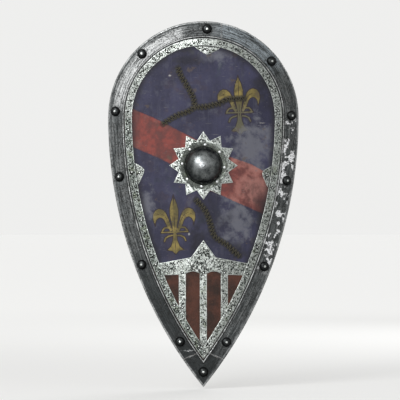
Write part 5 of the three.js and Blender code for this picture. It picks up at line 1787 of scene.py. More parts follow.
@dataclass
class Rim:
    """The steel rim: a sheet folded over the board's edge, in two lengths and a cap plate at the tip.

    Attributes:
        seam: Where the two lengths meet at the top.
        seam_gap: The gap between lengths.
        cap_reach: How far the cap's seams reach from the tip along the edge.
        cap_level: The level of the seams' outer ends.
        cap_inner: Where the right seam's inner end is.
        step: The length of one step of its turn.
        dents: How deep its dents are.
        dent_lengths: How long its broad dents and its fine ones are.
        fine_dents: How deep the fine ones are, as a share.
        dented: The depth from which a vertex belongs to the dented front.
        section_reach: How far inside the outline the section has surely ended.
        profile: The folded section, as pairs of inset and depth.
    """

    seam: float = 54.0
    seam_gap: float = 1.3
    cap_reach: float = 104.0
    cap_level: float = -585.0
    cap_inner: Point = (16.2, -563.2)
    step: float = 7.0
    dents: float = 0.35
    dent_lengths: tuple[float, float] = (26.0, 9.0)
    fine_dents: float = 0.6
    dented: float = 2.9
    section_reach: float = 60.0
    profile: tuple[Point, ...] = (
        (32.0, -9.3), (32.0, -10.3), (31.0, -10.5), (1.6, -10.5), (0.45, -10.0), (0.0, -8.8), (0.0, -0.2),
        (0.35, 1.1), (1.5, 2.5), (3.4, 3.4), (5.4, 3.7), (6.8, 3.4), (7.6, 3.0), (10.0, 3.1), (16.0, 3.2),
        (22.0, 3.3), (28.0, 3.3), (34.0, 3.2), (39.0, 3.2), (42.5, 3.1), (43.8, 3.3), (44.7, 4.1),
        (46.2, 4.6), (47.7, 4.1), (48.4, 3.4), (49.6, 3.4), (50.5, 3.0), (50.5, 2.2), (5.3, 2.2), (1.2, 0.7),
        (1.2, -9.3),
    )

    def arms(self, side: int, top_angle: float) -> BMesh:
        """Spins the profile over the top and down one side.

        Args:
            side: 1 for the right side, -1 for the left.
            top_angle: The angle that the top part covers, in radians, or 0 for none.

        Returns:
            The flat mesh, with its ends open.
        """
        bm = new_mesh()
        loop = [
            bm.verts.new((side * (FORM.half_width - inset), -depth, FORM.boss_drop))
            for inset, depth in self.profile
        ]
        section = [bm.edges.new((a, b)) for a, b in zip(loop, [*loop[1:], loop[0]])]
        turns = [((-side * FORM.side_centre, 0, FORM.boss_drop), FORM.side_angle(0), side)]
        if top_angle:
            turns.append(((0, 0, FORM.boss_drop), top_angle, -side))
        for centre, angle, way in turns:
            radius = abs(side * FORM.half_width - centre[0])
            bmesh.ops.spin(
                bm, geom=loop + section, cent=centre, axis=(0, way, 0), dvec=(0, 0, 0), angle=angle,
                steps=max(2, round(radius * angle / self.step)), use_merge=False, use_normal_flip=False,
                use_duplicate=False,
            )
        bmesh.ops.remove_doubles(bm, verts=bm.verts[:], dist=0.005)
        return bm

    def trim_side(self, bm: BMesh, side: int, outside_cap: bool) -> None:
        """Cuts an arm at the centre line and at the seam of the cap.

        Args:
            bm: The arm.
            side: 1 for the right arm, -1 for the left.
            outside_cap: Whether the part above the cap's seam is kept, or else the part below it.
        """
        low = parts_where(bm, lambda level: level < 0)
        cut_across(bm, (0, 0, 0), (-side, 0, 0), clear=True, parts=low)
        outer_reach = math.sqrt(self.cap_reach**2 - (self.cap_level - FORM.tip_level) ** 2)
        outer = Vector((side * outer_reach, 0, self.cap_level))
        inner = Vector((side * self.cap_inner[0], 0, self.cap_inner[1]))
        across = Vector((outer.z - inner.z, 0, inner.x - outer.x)).normalized()
        if across.z > 0:
            across.negate()
        way = 1 if outside_cap else -1
        cut_across(bm, inner - across * way * self.seam_gap / 2, across * way, clear=True)

    def close(self, bm: BMesh, name: str, node: str) -> None:
        """Closes a length's ends, writes its attributes, dents and bends it, and shows it.

        Args:
            bm: The flat length, with its ends open.
            name: The piece's name.
            node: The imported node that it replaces.
        """
        bmesh.ops.remove_doubles(bm, verts=bm.verts[:], dist=0.005)
        rims = [edge for edge in bm.edges if edge.is_boundary]
        ends = {vert for edge in rims for vert in edge.verts}
        set_layer(bm, "edge", lambda vert: float(vert in ends))
        caps = bmesh.ops.holes_fill(bm, edges=rims, sides=0)["faces"]
        bmesh.ops.triangulate(bm, faces=caps)
        face_out(bm)
        set_layer(bm, "run", lambda vert: FORM.run_and_inset(vert.co.x, vert.co.z)[0] * MM)
        set_layer(bm, "inset", lambda vert: FORM.run_and_inset(vert.co.x, vert.co.z)[1] * MM)
        for vert in bm.verts:
            if vert.co.y < -self.dented:
                place = Vector((vert.co.x, 0, vert.co.z))
                broad, fine = (noise.noise(place / length) for length in self.dent_lengths)
                vert.co.y -= self.dents * (broad + self.fine_dents * fine)
        FORM.bend(bm)
        show(bm, name, [RIM_STEEL], [node], crease=38.0)

    def build(self) -> None:
        """Builds both lengths and the cap."""
        over = math.pi / 2 + math.asin((self.seam + self.seam_gap) / (FORM.half_width - self.section_reach))
        for side, name, node, angle in (
            (1, "rim_length_right", "rim_right", math.pi / 2),
            (-1, "rim_length_left", "rim_left", over),
        ):
            bm = self.arms(side, angle)
            seam = (self.seam + side * self.seam_gap / 2, 0, 0)
            high = parts_where(bm, lambda level: level > FORM.boss_drop - 1)
            cut_across(bm, seam, (-side, 0, 0), clear=True, parts=high)
            self.trim_side(bm, side, outside_cap=True)
            self.close(bm, name, node)
        cap = new_mesh()
        for side in (1, -1):
            arm = self.arms(side, 0.0)
            self.trim_side(arm, side, outside_cap=False)
            absorb(cap, arm)
        self.close(cap, "rim_cap", "rim_tip_cap")


# Rivets and nails

NOT_HEAD = 2.0


def mark_crown(bm: BMesh, radius: float, low: float = -math.inf, high: float = math.inf) -> None:
    """Writes how far each vertex of a head lies from its top, as a share of its radius.

    Args:
        bm: The mesh, still round the depth axis.
        radius: The head's radius.
        low: The y that the head lies beyond.
        high: The y that it ends before.
    """
    layer = bm.verts.layers.float["crown"]
    for vert in bm.verts:
        is_head = low < vert.co.y < high
        vert[layer] = math.hypot(vert.co.x, vert.co.z) / radius if is_head else NOT_HEAD


@dataclass(frozen=True)
class Rivet:
    """A domed rivet drawn round the depth axis.

    Attributes:
        head: The radius of its head.
        height: The height of its head.
        shank: The radius of its shank.
        seat: The depth that its head sits at.
        back: The depth of the shank's far end.
        rove: The radius of the washer on the back, or 0 for none.
        rove_thickness: How thick the washer is.
        peen: How high the shank's hammered end stands on the washer.
        steps: How many sides it has.
    """

    head: float
    height: float
    shank: float
    seat: float
    back: float
    rove: float = 0.0
    rove_thickness: float = 1.5
    peen: float = 1.6
    steps: int = 28

    def solid(self) -> BMesh:
        """Makes the rivet, with how far each vertex lies from the top of its head as crown.

        Returns:
            The rivet, round the depth axis.
        """
        dome = dome_line(self.head, self.height, self.seat + 0.5, 7, 0.86)
        profile = [*dome, (self.head - 0.3, self.seat), (self.shank, self.seat), (self.shank, self.back)]
        if self.rove:
            under = self.back - self.rove_thickness
            profile += [
                (self.rove - 0.3, self.back), (self.rove, self.back - 0.3), (self.rove, under + 0.3),
                (self.rove - 0.3, under), (self.shank + 1.4, under),
                (self.shank + 0.9, under - self.peen * 0.7), (0.0, under - self.peen),
            ]
        else:
            profile += [(0.0, self.back)]
        bm = turned(profile, self.steps)
        mark_crown(bm, self.head, high=0.01 - self.seat)
        return bm

    def drive(self, name: str, node: str, place: Point, finish: Finish, turn: float = 0.0) -> None:
        """Puts the rivet through the board and shows it.

        Args:
            name: The piece's name.
            node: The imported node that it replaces.
            place: Where it stands.
            finish: Its finish.
            turn: How far it is turned round its axis.
        """
        bm = self.solid()
        move(bm, FORM.seat(*place) @ Matrix.Rotation(turn, 4, "Y"))
        show(bm, name, [finish], [node], crease=50.0)


@dataclass
class RimRivets:
    """The twelve big rivets of the rim."""

    inset: float = 23.0
    top_shares: tuple[float, ...] = (0.006, 0.22, 0.487, 0.744, 0.978)
    right_shares: tuple[float, ...] = (0.23, 0.551, 0.856)
    left_shares: tuple[float, ...] = (0.216, 0.544, 0.854)
    tip_rise: float = 46.0

    def places(self) -> list[Point]:
        """Lists where the rivets stand: over the top, down the right, down the left, and the tip.

        Returns:
            The places, across and up.
        """
        return [
            *(FORM.edge_point(1 + share, self.inset) for share in self.top_shares),
            *(FORM.edge_point(1 - share, self.inset) for share in self.right_shares),
            *(FORM.edge_point(2 + share, self.inset) for share in self.left_shares),
            (0.0, FORM.tip_level + self.tip_rise),
        ]

    def build(self) -> None:
        """Builds the rivets."""
        rivet = Rivet(head=15.0, height=9.5, shank=2.6, seat=RIM_TOP, back=-10.8, rove=7.0)
        for index, place in enumerate(self.places(), 1):
            rivet.drive(f"rim_stud_{index}", f"rim_rivet_{index}", place, RIVET_STEEL, index)


def nail(place: Point) -> BMesh:
    """Makes one small domed nail of the trim, flat, at a place.

    Args:
        place: Where it is, across and up.

    Returns:
        The nail.
    """
    radius, height, base = 4.7, 2.6, TRIM_TOP - 0.2
    bm = turned([*dome_line(radius, height, base, 5), (0.0, base)], 12)
    mark_crown(bm, radius)
    shift(bm, (place[0], 0, place[1]))
    return bm


def show_plates(
    plates: Sequence[BMesh], nails: Sequence[Point], name: str, node: str, finish: Finish = ETCHED
) -> None:
    """Joins flat plates and their nails, bends them and shows them.

    Args:
        plates: The flat plates.
        nails: Where its nails are.
        name: The piece's name.
        node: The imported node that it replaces.
        finish: The plates' finish.
    """
    bm = new_mesh()
    for part in plates:
        absorb(bm, part)
    for place in nails:
        absorb(bm, nail(place), material=1)
    FORM.bend(bm)
    show(bm, name, [finish, PIN_STEEL], [node])


# Trim, lobes and bars

@dataclass
class Trim:
    """The pitted strips inside the rim, and the three lobes on them."""

    outer: float = 51.5
    inner: float = 73.0
    joint: float = 1.0
    bar_spacing: float = 63.0
    bar_width: float = 21.0
    right_bar_end: float = -418.0
    left_bar_end: float = -437.0
    top_pins: tuple[float, ...] = (0.029, 0.114, 0.289, 0.428, 0.524, 0.662, 0.819, 0.95)
    right_pins: tuple[float, ...] = (0.03, 0.183, 0.283, 0.527, 0.64, 0.798, 0.968, 0.993)
    left_pins: tuple[float, ...] = (0.05, 0.22, 0.415, 0.6, 0.78, 0.968)
    lobe_height: float = 25.0
    lobe_length: float = 82.0
    lobe_pin: float = 0.42
    lobe_root: float = 1.0
    lobe_stations: tuple[tuple[str, float], ...] = (("top", 1.482), ("right", 0.752), ("left", 2.236))
    lobe_shares: tuple[Point, ...] = (
        (-1.0, 0.0), (-0.86, 0.2), (-0.7, 0.42), (-0.52, 0.63), (-0.34, 0.83), (-0.2, 0.94), (-0.07, 1.0),
        (0.07, 1.0), (0.2, 0.94), (0.34, 0.83), (0.52, 0.63), (0.7, 0.42), (0.86, 0.2), (1.0, 0.0),
        (0.5, 0.0), (0.0, 0.0), (-0.5, 0.0),
    )

    def strip(self, start: float, end: float) -> BMesh:
        """Makes a flat strip between two stations."""
        outer, inner = (FORM.edge_line(start, end, inset) for inset in (self.outer, self.inner))
        return plate([*outer, *reversed(inner)], PLATE_BOTTOM, TRIM_TOP, bevel=0.7)

    def widening(self, side: int, bar_end: float) -> BMesh:
        """Makes the part of a side strip that reaches round the end of a side bar.

        Args:
            side: 1 for the right strip, -1 for the left.
            bar_end: The level of the bar's end.

        Returns:
            The flat plate.
        """
        half = self.bar_width / 2
        inner = side * (self.bar_spacing - half)
        outer = side * (self.bar_spacing + half)
        level = [FORM.field_level(x, self.inner) - 1.5 for x in (inner, outer)]
        cup = [
            (
                side * (self.bar_spacing + (half + SEAT_GAP) * math.cos(turn)),
                bar_end + half - (half + SEAT_GAP) * math.sin(turn),
            )
            for turn in (math.pi * i / 8 for i in range(9))
        ]
        outline = [(outer, level[1]), *cup, (inner, level[0])]
        return plate(outline, PLATE_BOTTOM, TRIM_TOP - 0.1, bevel=0.4, edge=1.2)

    def lobe(self, name: str, station: float) -> None:
        """Builds one pointed lobe on the inside of the trim, with a dark joint at its root.

        Args:
            name: The end of its name.
            station: Where its middle stands on the outline.
        """
        side_run = FORM.side_radius * FORM.side_angle(0)
        run = (FORM.half_width - FIELD_INSET) * math.pi if 1 < station < 2 else side_run
        outline = []
        for along, inwards in self.lobe_shares:
            reach = station + along * self.lobe_length / 2 / run
            outline.append(FORM.edge_point(reach, FIELD_INSET + inwards * self.lobe_height))
        pin = FORM.edge_point(station, FIELD_INSET + self.lobe_pin * self.lobe_height)
        root = FIELD_INSET + self.lobe_root
        bm = plate(outline, PLATE_BOTTOM, TRIM_TOP, bevel=0.7)
        set_layer(bm, "seam", lambda vert: float(FORM.run_and_inset(vert.co.x, vert.co.z)[1] < root))
        show_plates([bm], [pin], f"trim_lobe_{name}", f"lobe_{name}")

    def build(self) -> None:
        """Builds the three strips and the three lobes."""
        middle = (self.outer + self.inner) / 2
        gap = self.joint / FORM.side_length
        rows = ((1, 1, self.top_pins), (1, -1, self.right_pins), (2, 1, self.left_pins))
        top, right, left = (
            [FORM.edge_point(start + way * share, middle) for share in shares] for start, way, shares in rows
        )
        show_plates([self.strip(1 + gap, 2 - gap)], top, "trim_arch", "trim_top")
        strip = [self.strip(gap / 2, 1 - gap), self.widening(1, self.right_bar_end)]
        show_plates(strip, right, "trim_strip_right", "trim_right")
        strip = [self.strip(2 + gap, 3 - gap / 2), self.widening(-1, self.left_bar_end)]
        show_plates(strip, left, "trim_strip_left", "trim_left", DARK_ETCHED)
        for name, station in self.lobe_stations:
            self.lobe(name, station)


@dataclass
class LowerField:
    """The peaked crossbar and the three bars below it, which end in the trim's widened strips."""

    trim: Trim
    peak: float = -224.0
    shoulder: Point = (37.0, -276.0)
    end_levels: tuple[float, ...] = (-330.0, -321.0, -312.0, -303.0, -294.0)
    cusp: float = -325.0
    arch: float = 7.0
    pin_rise: float = 2.8
    tip_gap: float = 2.0
    bevel: float = 0.8

    def show_bar(self, outline: Sequence[Point], nails: Sequence[Point], name: str, node: str) -> None:
        """Makes a bar's plate and shows it with its nails."""
        bm = plate(outline, PLATE_BOTTOM, TRIM_TOP, bevel=self.bevel)
        show_plates([bm], nails, name, node)

    def crossbar(self) -> None:
        """Builds the crossbar, with a shallow arch in its lower edge between the bars."""
        half, spacing, steps = self.trim.bar_width / 2, self.trim.bar_spacing, 6
        start, end = half, spacing - half
        arch = [
            (start + (end - start) * i / steps, self.cusp + self.arch * math.sin(math.pi * i / steps) ** 0.8)
            for i in range(1, steps)
        ]
        ends = [
            FORM.edge_point(FORM.right_station(level, FIELD_INSET), FIELD_INSET) for level in self.end_levels
        ]
        right = [
            (start, self.cusp), *arch, (end, self.cusp), (spacing + half, self.cusp - self.arch / 2),
            *ends, self.shoulder,
        ]
        left = [(-x, z) for x, z in reversed(right)]
        nails = [(x, self.cusp + self.pin_rise) for x in (-spacing, 0.0, spacing)]
        self.show_bar([*right, (0.0, self.peak), *left], nails, "field_crossbar", "crossbar")

    def middle_bar(self) -> None:
        """Builds the middle bar, pointed where the side strips meet."""
        half = self.trim.bar_width / 2
        foot, point = (FORM.field_level(x, self.trim.inner) + self.tip_gap for x in (half, 0))
        top = self.cusp - SEAT_GAP
        outline = [(-half, foot), (0.0, point), (half, foot), (half, top), (-half, top)]
        self.show_bar(outline, [], "field_bar_centre", "field_bar_middle")

    def side_bar(self, side: int, end: float, name: str, node: str) -> None:
        """Builds one side bar with its rounded end.

        Args:
            side: 1 for the right bar, -1 for the left.
            end: The level of its end.
            name: The piece's name.
            node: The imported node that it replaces.
        """
        half = self.trim.bar_width / 2
        centre = side * self.trim.bar_spacing
        turns = [math.pi * (1 + i / 12) for i in range(13)]
        round_end = [(centre + half * math.cos(turn), end + half + half * math.sin(turn)) for turn in turns]
        inner = (centre - side * half, self.cusp - SEAT_GAP)
        outer = (centre + side * half, self.cusp - self.arch / 2 - SEAT_GAP)
        top = [outer, inner] if side > 0 else [inner, outer]
        self.show_bar([*round_end, *top], [(centre, end + half)], name, node)

    def build(self) -> None:
        """Builds the crossbar and the bars."""
        self.crossbar()
        self.middle_bar()
        self.side_bar(1, self.trim.right_bar_end, "field_bar_east", "field_bar_right")
        self.side_bar(-1, self.trim.left_bar_end, "field_bar_west", "field_bar_left")


# Boss

@dataclass
class Boss:
    """The star plate, the domed boss, the collar over its foot and the rivets through them."""

    points: int = 12
    tip_radius: float = 103.0
    root_radius: float = 77.0
    bore_radius: float = 48.0
    dome_radius: float = 56.0
    dome_height: float = 43.0
    wall: float = 1.6
    flange_radius: float = 69.0
    flange_bottom: float = 3.8
    collar_inner: float = 57.5
    collar_radius: float = 71.0
    collar_bottom: float = 5.7
    collar_top: float = 7.0
    pip_radius: float = 4.5
    pip_height: float = 2.0
    rivet_count: int = 8
    rivet_circle: float = 63.0
    rivet_turn: float = 5.0
    steps: int = 72
    outline_bevel: float = 0.8
    edge_width: float = 2.6
    smallest_front: float = 30.0

    def star(self) -> None:
        """Builds the star plate as a ring from its points to the bore."""
        bm = new_mesh()
        outer, inner = [], []
        for index in range(2 * self.points):
            angle = index * math.pi / self.points
            tip = self.root_radius if index % 2 else self.tip_radius
            for ring, radius in ((outer, tip), (inner, self.bore_radius)):
                place = (radius * math.cos(angle), -PLATE_BOTTOM, radius * math.sin(angle))
                ring.append(bm.verts.new(place))
        loops = [
            bm.edges.new((a, b)) for ring in (outer, inner) for a, b in zip(ring, [*ring[1:], ring[0]])
        ]
        bmesh.ops.bridge_loops(bm, edges=loops)
        thicken(bm, PLATE_BOTTOM - TRIM_TOP)
        round_edges(bm, [edge for edge in bm.edges if self.is_outer(edge)], self.outline_bevel)
        front = [
            face for face in bm.faces if face.normal.y < -0.99 and face.calc_area() > self.smallest_front
        ]
        mark_edges(bm, front, self.edge_width)
        bmesh.ops.triangulate(bm, faces=bm.faces[:])
        FORM.slice_upright(bm)
        FORM.bend(bm)
        show(bm, "boss_star_plate", [ETCHED], ["boss_star"])

    def is_outer(self, edge: BMEdge) -> bool:
        """Tells whether an edge lies on the front of the star's outline.

        Args:
            edge: An edge of the flat star.

        Returns:
            Whether it does.
        """
        reach = [math.hypot(vert.co.x, vert.co.z) for vert in edge.verts]
        on_outline = min(reach) > self.root_radius - 1 and max(reach) > self.tip_radius - 1
        return on_outline and all(vert.co.y < -PLATE_BOTTOM - 0.5 for vert in edge.verts)

    def dome(self) -> None:
        """Builds the dome with its flange and the raised ring at its top."""
        base = self.flange_bottom + self.wall
        apex = base + self.dome_height
        outer = dome_line(self.dome_radius, self.dome_height, base, 18)
        ring = [
            (0.0, apex + self.pip_height), (1.4, apex + self.pip_height), (1.9, apex + 0.7),
            (2.6, apex + 0.6), (3.1, apex + 1.3), (3.9, apex + 1.3), (self.pip_radius, apex + 0.4),
            (self.pip_radius + 0.5, apex - 0.2),
        ]
        inner = dome_line(self.dome_radius - self.wall, self.dome_height - self.wall, base - self.wall, 12)
        profile = [
            *ring, *outer[2:-1], (self.dome_radius + 0.3, base + 0.6), (self.dome_radius + 1.2, base),
            (self.flange_radius, base), (self.flange_radius, self.flange_bottom), *reversed(inner),
        ]
        bm = turned(profile, self.steps)
        move(bm, FORM.seat(0, 0))
        show(bm, "boss_shell", [BOSS_STEEL], ["boss_dome"], crease=40.0)

    def collar(self) -> None:
        """Builds the flat ring over the dome's flange."""
        low, high = self.collar_bottom, self.collar_top
        profile = [
            (self.collar_inner, low), (self.collar_inner, high - 0.4), (self.collar_inner + 0.5, high),
            (self.collar_radius - 0.8, high), (self.collar_radius, high - 0.7), (self.collar_radius, low),
            (self.collar_inner, low),
        ]
        bm = turned(profile, self.steps)
        set_layer(bm, "edge", 0.6)
        move(bm, FORM.seat(0, 0))
        show(bm, "boss_ring", [COLLAR_STEEL], ["boss_collar"], crease=40.0)

    def rivets(self) -> None:
        """Builds the eight rivets of the boss."""
        seat = self.collar_top + SEAT_GAP
        rivet = Rivet(head=4.6, height=2.8, shank=1.9, seat=seat, back=-8.7, steps=16)
        for index in range(self.rivet_count):
            angle = math.radians(90 - self.rivet_turn) - index / self.rivet_count * 2 * math.pi
            place = (self.rivet_circle * math.cos(angle), self.rivet_circle * math.sin(angle))
            rivet.drive(f"boss_stud_{index + 1}", f"boss_rivet_{index + 1}", place, BOSS_RIVET_STEEL)

    def build(self) -> None:
        """Builds all of the boss."""
        self.star()
        self.dome()
        self.collar()
        self.rivets()


# Cords, straps and fittings that follow a path

def frames_along(path: Sequence[Vector], side: Vector) -> list[Matrix]:
    """Makes a frame at each point of a path.

    Args:
        path: The points.
        side: A direction that stays about square to the path.

    Returns:
        Matrices whose X points along the path and whose Z is the side direction.
    """
    frames = []
    for index, place in enumerate(path):
        before = path[max(index - 1, 0)]
        after = path[min(index + 1, len(path) - 1)]
        along = (after - before).normalized()
        out = side.cross(along).normalized()
        frames.append(stand(place, along, out, along.cross(out)))
    return frames


def frames_round(points: Sequence[Vector], normal: Vector) -> list[Matrix]:
    """Makes a frame at each point of a flat ring.

    Args:
        points: The ring's points.
        normal: The direction that the ring faces.

    Returns:
        Matrices whose X points along the ring and whose Z is the normal.
    """
    frames = []
    for index, point in enumerate(points):
        along = (points[(index + 1) % len(points)] - points[index - 1]).normalized()
        frames.append(stand(point, along, normal.cross(along).normalized(), normal))
    return frames


def swept(section: Sequence[Point], frames: Sequence[Matrix], closed: bool = False) -> BMesh:
    """Sweeps a closed section of (out, across) corners through frames, by extruding its edges.

    Args:
        section: The section's corners.
        frames: Where the section stands, one after another.
        closed: Whether the last frame joins the first.

    Returns:
        The swept body.
    """
    bm = new_mesh()
    verts = [bm.verts.new(frames[0] @ Vector((0, out, across))) for out, across in section]
    first = here = [bm.edges.new((a, b)) for a, b in zip(verts, [*verts[1:], verts[0]])]
    for before, after in zip(frames, frames[1:]):
        grown = bmesh.ops.extrude_edge_only(bm, edges=here)["geom"]
        moved = [item for item in grown if isinstance(item, BMVert)]
        loop = set(moved)
        here = [item for item in grown if isinstance(item, BMEdge) and loop.issuperset(item.verts)]
        bmesh.ops.transform(bm, matrix=after @ before.inverted(), verts=moved)
    if closed:
        bmesh.ops.bridge_loops(bm, edges=[*here, *first])
    else:
        for rim in (first, here):
            bmesh.ops.holes_fill(bm, edges=rim, sides=0)
    face_out(bm)
    return bm


def round_section(radius: float, sides: int) -> list[Point]:
    """Lists the corners of a round section."""
    turns = [2 * math.pi * i / sides for i in range(sides)]
    return [(radius * math.cos(turn), radius * math.sin(turn)) for turn in turns]


def band_section(thickness: float, width: float, round_off: float = 0.7, slot: float = 0.0) -> list[Point]:
    """Lists the corners of a strap's section, with its edges rounded off.

    Args:
        thickness: The strap's thickness.
        width: Its width.
        round_off: How much is taken off each edge.
        slot: The width of a slot to be opened in the strap's middle, or zero for none.

    Returns:
        The corners as pairs of out and across.
    """
    out, across = thickness / 2, width / 2
    middle = (-slot / 2, slot / 2) if slot else (0.0,)
    return [
        (out, -across + round_off), *((out, side) for side in middle), (out, across - round_off),
        (out - round_off, across), (-out + round_off, across), (-out, across - round_off),
        *((-out, side) for side in reversed(middle)), (-out, -across + round_off),
        (-out + round_off, -across), (out - round_off, -across),
    ]


@dataclass
class Lacing:
    """The cords that close the two tears: rungs over the slit, and slanting stitches between them.

    Attributes:
        pitch: From one rung to the next.
        reach: How far from the tear's line the holes are.
        radius: The cord's radius.
        rung_height: How high a rung is bowed.
        cross_height: How high a slanting stitch is bowed.
        bow_steps: How many steps a stitch has.
    """

    pitch: float = 10.5
    reach: float = 9.0
    radius: float = 1.3
    rung_height: float = 1.2
    cross_height: float = 2.4
    bow_steps: int = 8

    @staticmethod
    def walk(line: Sequence[Point], step: float) -> list[tuple[Vector, Vector]]:
        """Walks a line in about equal steps.

        Args:
            line: The line's points.
            step: The length of a step.

        Returns:
            The place and the direction at each step.
        """
        points = [Vector((x, 0, z)) for x, z in line]
        lengths = [0.0]
        for before, after in zip(points, points[1:]):
            lengths.append(lengths[-1] + (after - before).length)
        count = max(2, round(lengths[-1] / step))
        stops = []
        for index in range(count + 1):
            target = lengths[-1] * index / count
            place = next(i for i in range(1, len(points)) if lengths[i] >= target - 1e-6)
            share = (target - lengths[place - 1]) / (lengths[place] - lengths[place - 1])
            along = (points[place] - points[place - 1]).normalized()
            stops.append((points[place - 1].lerp(points[place], share), along))
        return stops

    def stitch(self, start: Vector, end: Vector, height: float) -> BMesh:
        """Makes one length of cord from hole to hole, bowed over the slit.

        Args:
            start: The hole that it starts from.
            end: The hole that it ends in.
            height: How high its middle stands over its ends.

        Returns:
            The flat cord.
        """
        path = []
        for index in range(self.bow_steps + 1):
            share = index / self.bow_steps
            place = start.lerp(end, share)
            dip = 0.8 if index in (0, self.bow_steps) else -0.5
            depth = COVER_TOP - dip + height * math.sin(math.pi * share) ** 0.6
            path.append(Vector((place.x, -depth, place.z)))
        return swept(round_section(self.radius, 6), frames_along(path, Vector((0, 1, 0))))

    def lace(self, bm: BMesh, line: Sequence[Point], chance: Random) -> None:
        """Laces one line of a tear with rungs, and with a slanting stitch from each to the next.

        Args:
            bm: The mesh that the lacing is added to.
            line: The line's points.
            chance: The source of the holes' small shifts.
        """
        holes = []
        for place, along in self.walk(line, self.pitch):
            across = Vector((-along.z, 0, along.x))
            reach = self.reach * chance.uniform(0.88, 1.12)
            slip = along * chance.uniform(-1.2, 1.2)
            holes.append((place + across * reach + slip, place - across * reach - slip))
        for index, (left, right) in enumerate(holes):
            absorb(bm, self.stitch(left, right, self.rung_height))
            if index + 1 < len(holes):
                absorb(bm, self.stitch(left, holes[index + 1][1], self.cross_height))

    def build(self) -> None:
        """Builds the lacing of the upper tear and of the lower one."""
        lines = TEARS.lines()
        for name, node, group in (
            ("upper_lacing", "lacing_upper", lines[:3]), ("lower_lacing", "lacing_lower", lines[3:]),
        ):
            chance = Random(11)
            bm = new_mesh()
            for line in group:
                self.lace(bm, line, chance)
            FORM.bend(bm)
            show(bm, name, [LACE], [node], crease=60.0)


# Straps. Each is drawn in its own frame: X along the strap, Y out from the board, Z across it.

ACROSS = Vector((0, 0, 1))
STRAP_THICKNESS = 2.6
GRIP_THICKNESS = 4.0
GUIGE_LEVEL = 205.0
CURVE_STEPS = 14
ROUND_SHARES = ((0.0, 0.45), (0.8, 0.66), (2.2, 0.84), (4.6, 0.96), (8.0, 1.0))


@dataclass(frozen=True)
class Foot:
    """Where a strap lies on the board.

    Attributes:
        end: The strap's end.
        start: Where it lifts off.
        control: The control point of the curve in which it lifts off.
    """

    end: Vector
    start: Vector
    control: Vector


def curve(start: Vector, out_control: Vector, in_control: Vector, end: Vector) -> list[Vector]:
    """Lists points of a cubic curve.

    Args:
        start: Where it starts.
        out_control: The control point after its start.
        in_control: The control point before its end.
        end: Where it ends.

    Returns:
        The points, both ends included.
    """
    points = []
    for index in range(CURVE_STEPS + 1):
        t = index / CURVE_STEPS
        s = 1 - t
        points.append(start * s**3 + out_control * 3 * s * s * t + in_control * 3 * s * t * t + end * t**3)
    return points


def flat_foot(side: int, inner: float, length: float, thickness: float, lift: float) -> Foot:
    """Makes a foot that lies flat on the board under the strap's frame.

    Args:
        side: 1 for the end that lies forward along the strap, -1 for the other.
        inner: How far from the frame's middle it starts.
        length: Its length.
        thickness: The strap's thickness.
        lift: How far from its start the curve's control point is.

    Returns:
        The foot.
    """
    out = SEAT_GAP + thickness / 2
    return Foot(*(Vector((side * along, out, 0)) for along in (inner + length, inner, inner - lift)))


def rounded_ends(path: Sequence[Vector]) -> list[tuple[Vector, float]]:
    """Adds close points at the ends of a path, where a strap narrows to its rounded ends.

    Args:
        path: The strap's path.

    Returns:
        The points, each with the share of the width that the strap has there.
    """
    first, last = (path[1] - path[0]).normalized(), (path[-2] - path[-1]).normalized()
    return [
        *((path[0] + first * reach, share) for reach, share in ROUND_SHARES),
        *((place, 1.0) for place in path[1:-1]),
        *((path[-1] + last * reach, share) for reach, share in reversed(ROUND_SHARES)),
    ]


def open_slot(bm: BMesh, slot: float, end: float) -> None:
    """Opens a slot through a strap's middle.

    Args:
        bm: The strap.
        slot: The slot's width, for which the strap's section has corners.
        end: The place along x before which the slot lies.
    """
    reach = slot / 2 + 0.1
    faces = [
        face for face in bm.faces if all(abs(vert.co.z) < reach and vert.co.x < end for vert in face.verts)
    ]
    bmesh.ops.delete(bm, geom=faces, context="FACES")
    bmesh.ops.bridge_loops(bm, edges=[edge for edge in bm.edges if edge.is_boundary])
    face_out(bm)


def strap_band(
    path: Sequence[Vector], thickness: float, width: float, slot: float = 0.0, end: float = 0.0
) -> BMesh:
    """Makes a strap along a path, with rounded ends and its bright worn edges marked.

    Args:
        path: The path's points.
        thickness: The strap's thickness.
        width: Its width.
        slot: The width of a slot in its middle, or zero for none.
        end: The place along x where the slot ends.

    Returns:
        The strap.
    """
    stops = rounded_ends(path)
    frames = frames_along([place for place, _ in stops], ACROSS)
    frames = [frame @ Matrix.Diagonal((1, 1, share, 1)) for frame, (_, share) in zip(frames, stops)]
    bm = swept(band_section(thickness, width, slot=slot), frames)
    if slot:
        open_slot(bm, slot, end)
    set_layer(bm, "edge", lambda vert: float(abs(vert.co.z) > width / 2 - 1))
    return bm


def add_stitches(bm: BMesh, path: Sequence[Vector], out: float, across: float, pitch: float = 5.2) -> None:
    """Adds a row of stitches along a path on each side of a strap.

    Args:
        bm: The strap that they are added to.
        path: The strap's path.
        out: How far out from the path the rows lie.
        across: How far to the sides they lie.
        pitch: From one stitch to the next.
    """
    for side in (across, -across):
        row = new_mesh()
        spent = pitch
        for before, after in zip(path, path[1:]):
            run = (after - before).length
            frame = frames_along([before, after], ACROSS)[0]
            while spent < run:
                place = frame @ Matrix.Translation((spent, out, side)) @ Matrix.Diagonal((1.75, 0.5, 0.55, 1))
                bmesh.ops.create_icosphere(row, subdivisions=1, radius=1.0, matrix=place)
                spent += pitch
            spent -= run
        absorb(bm, row, material=1)


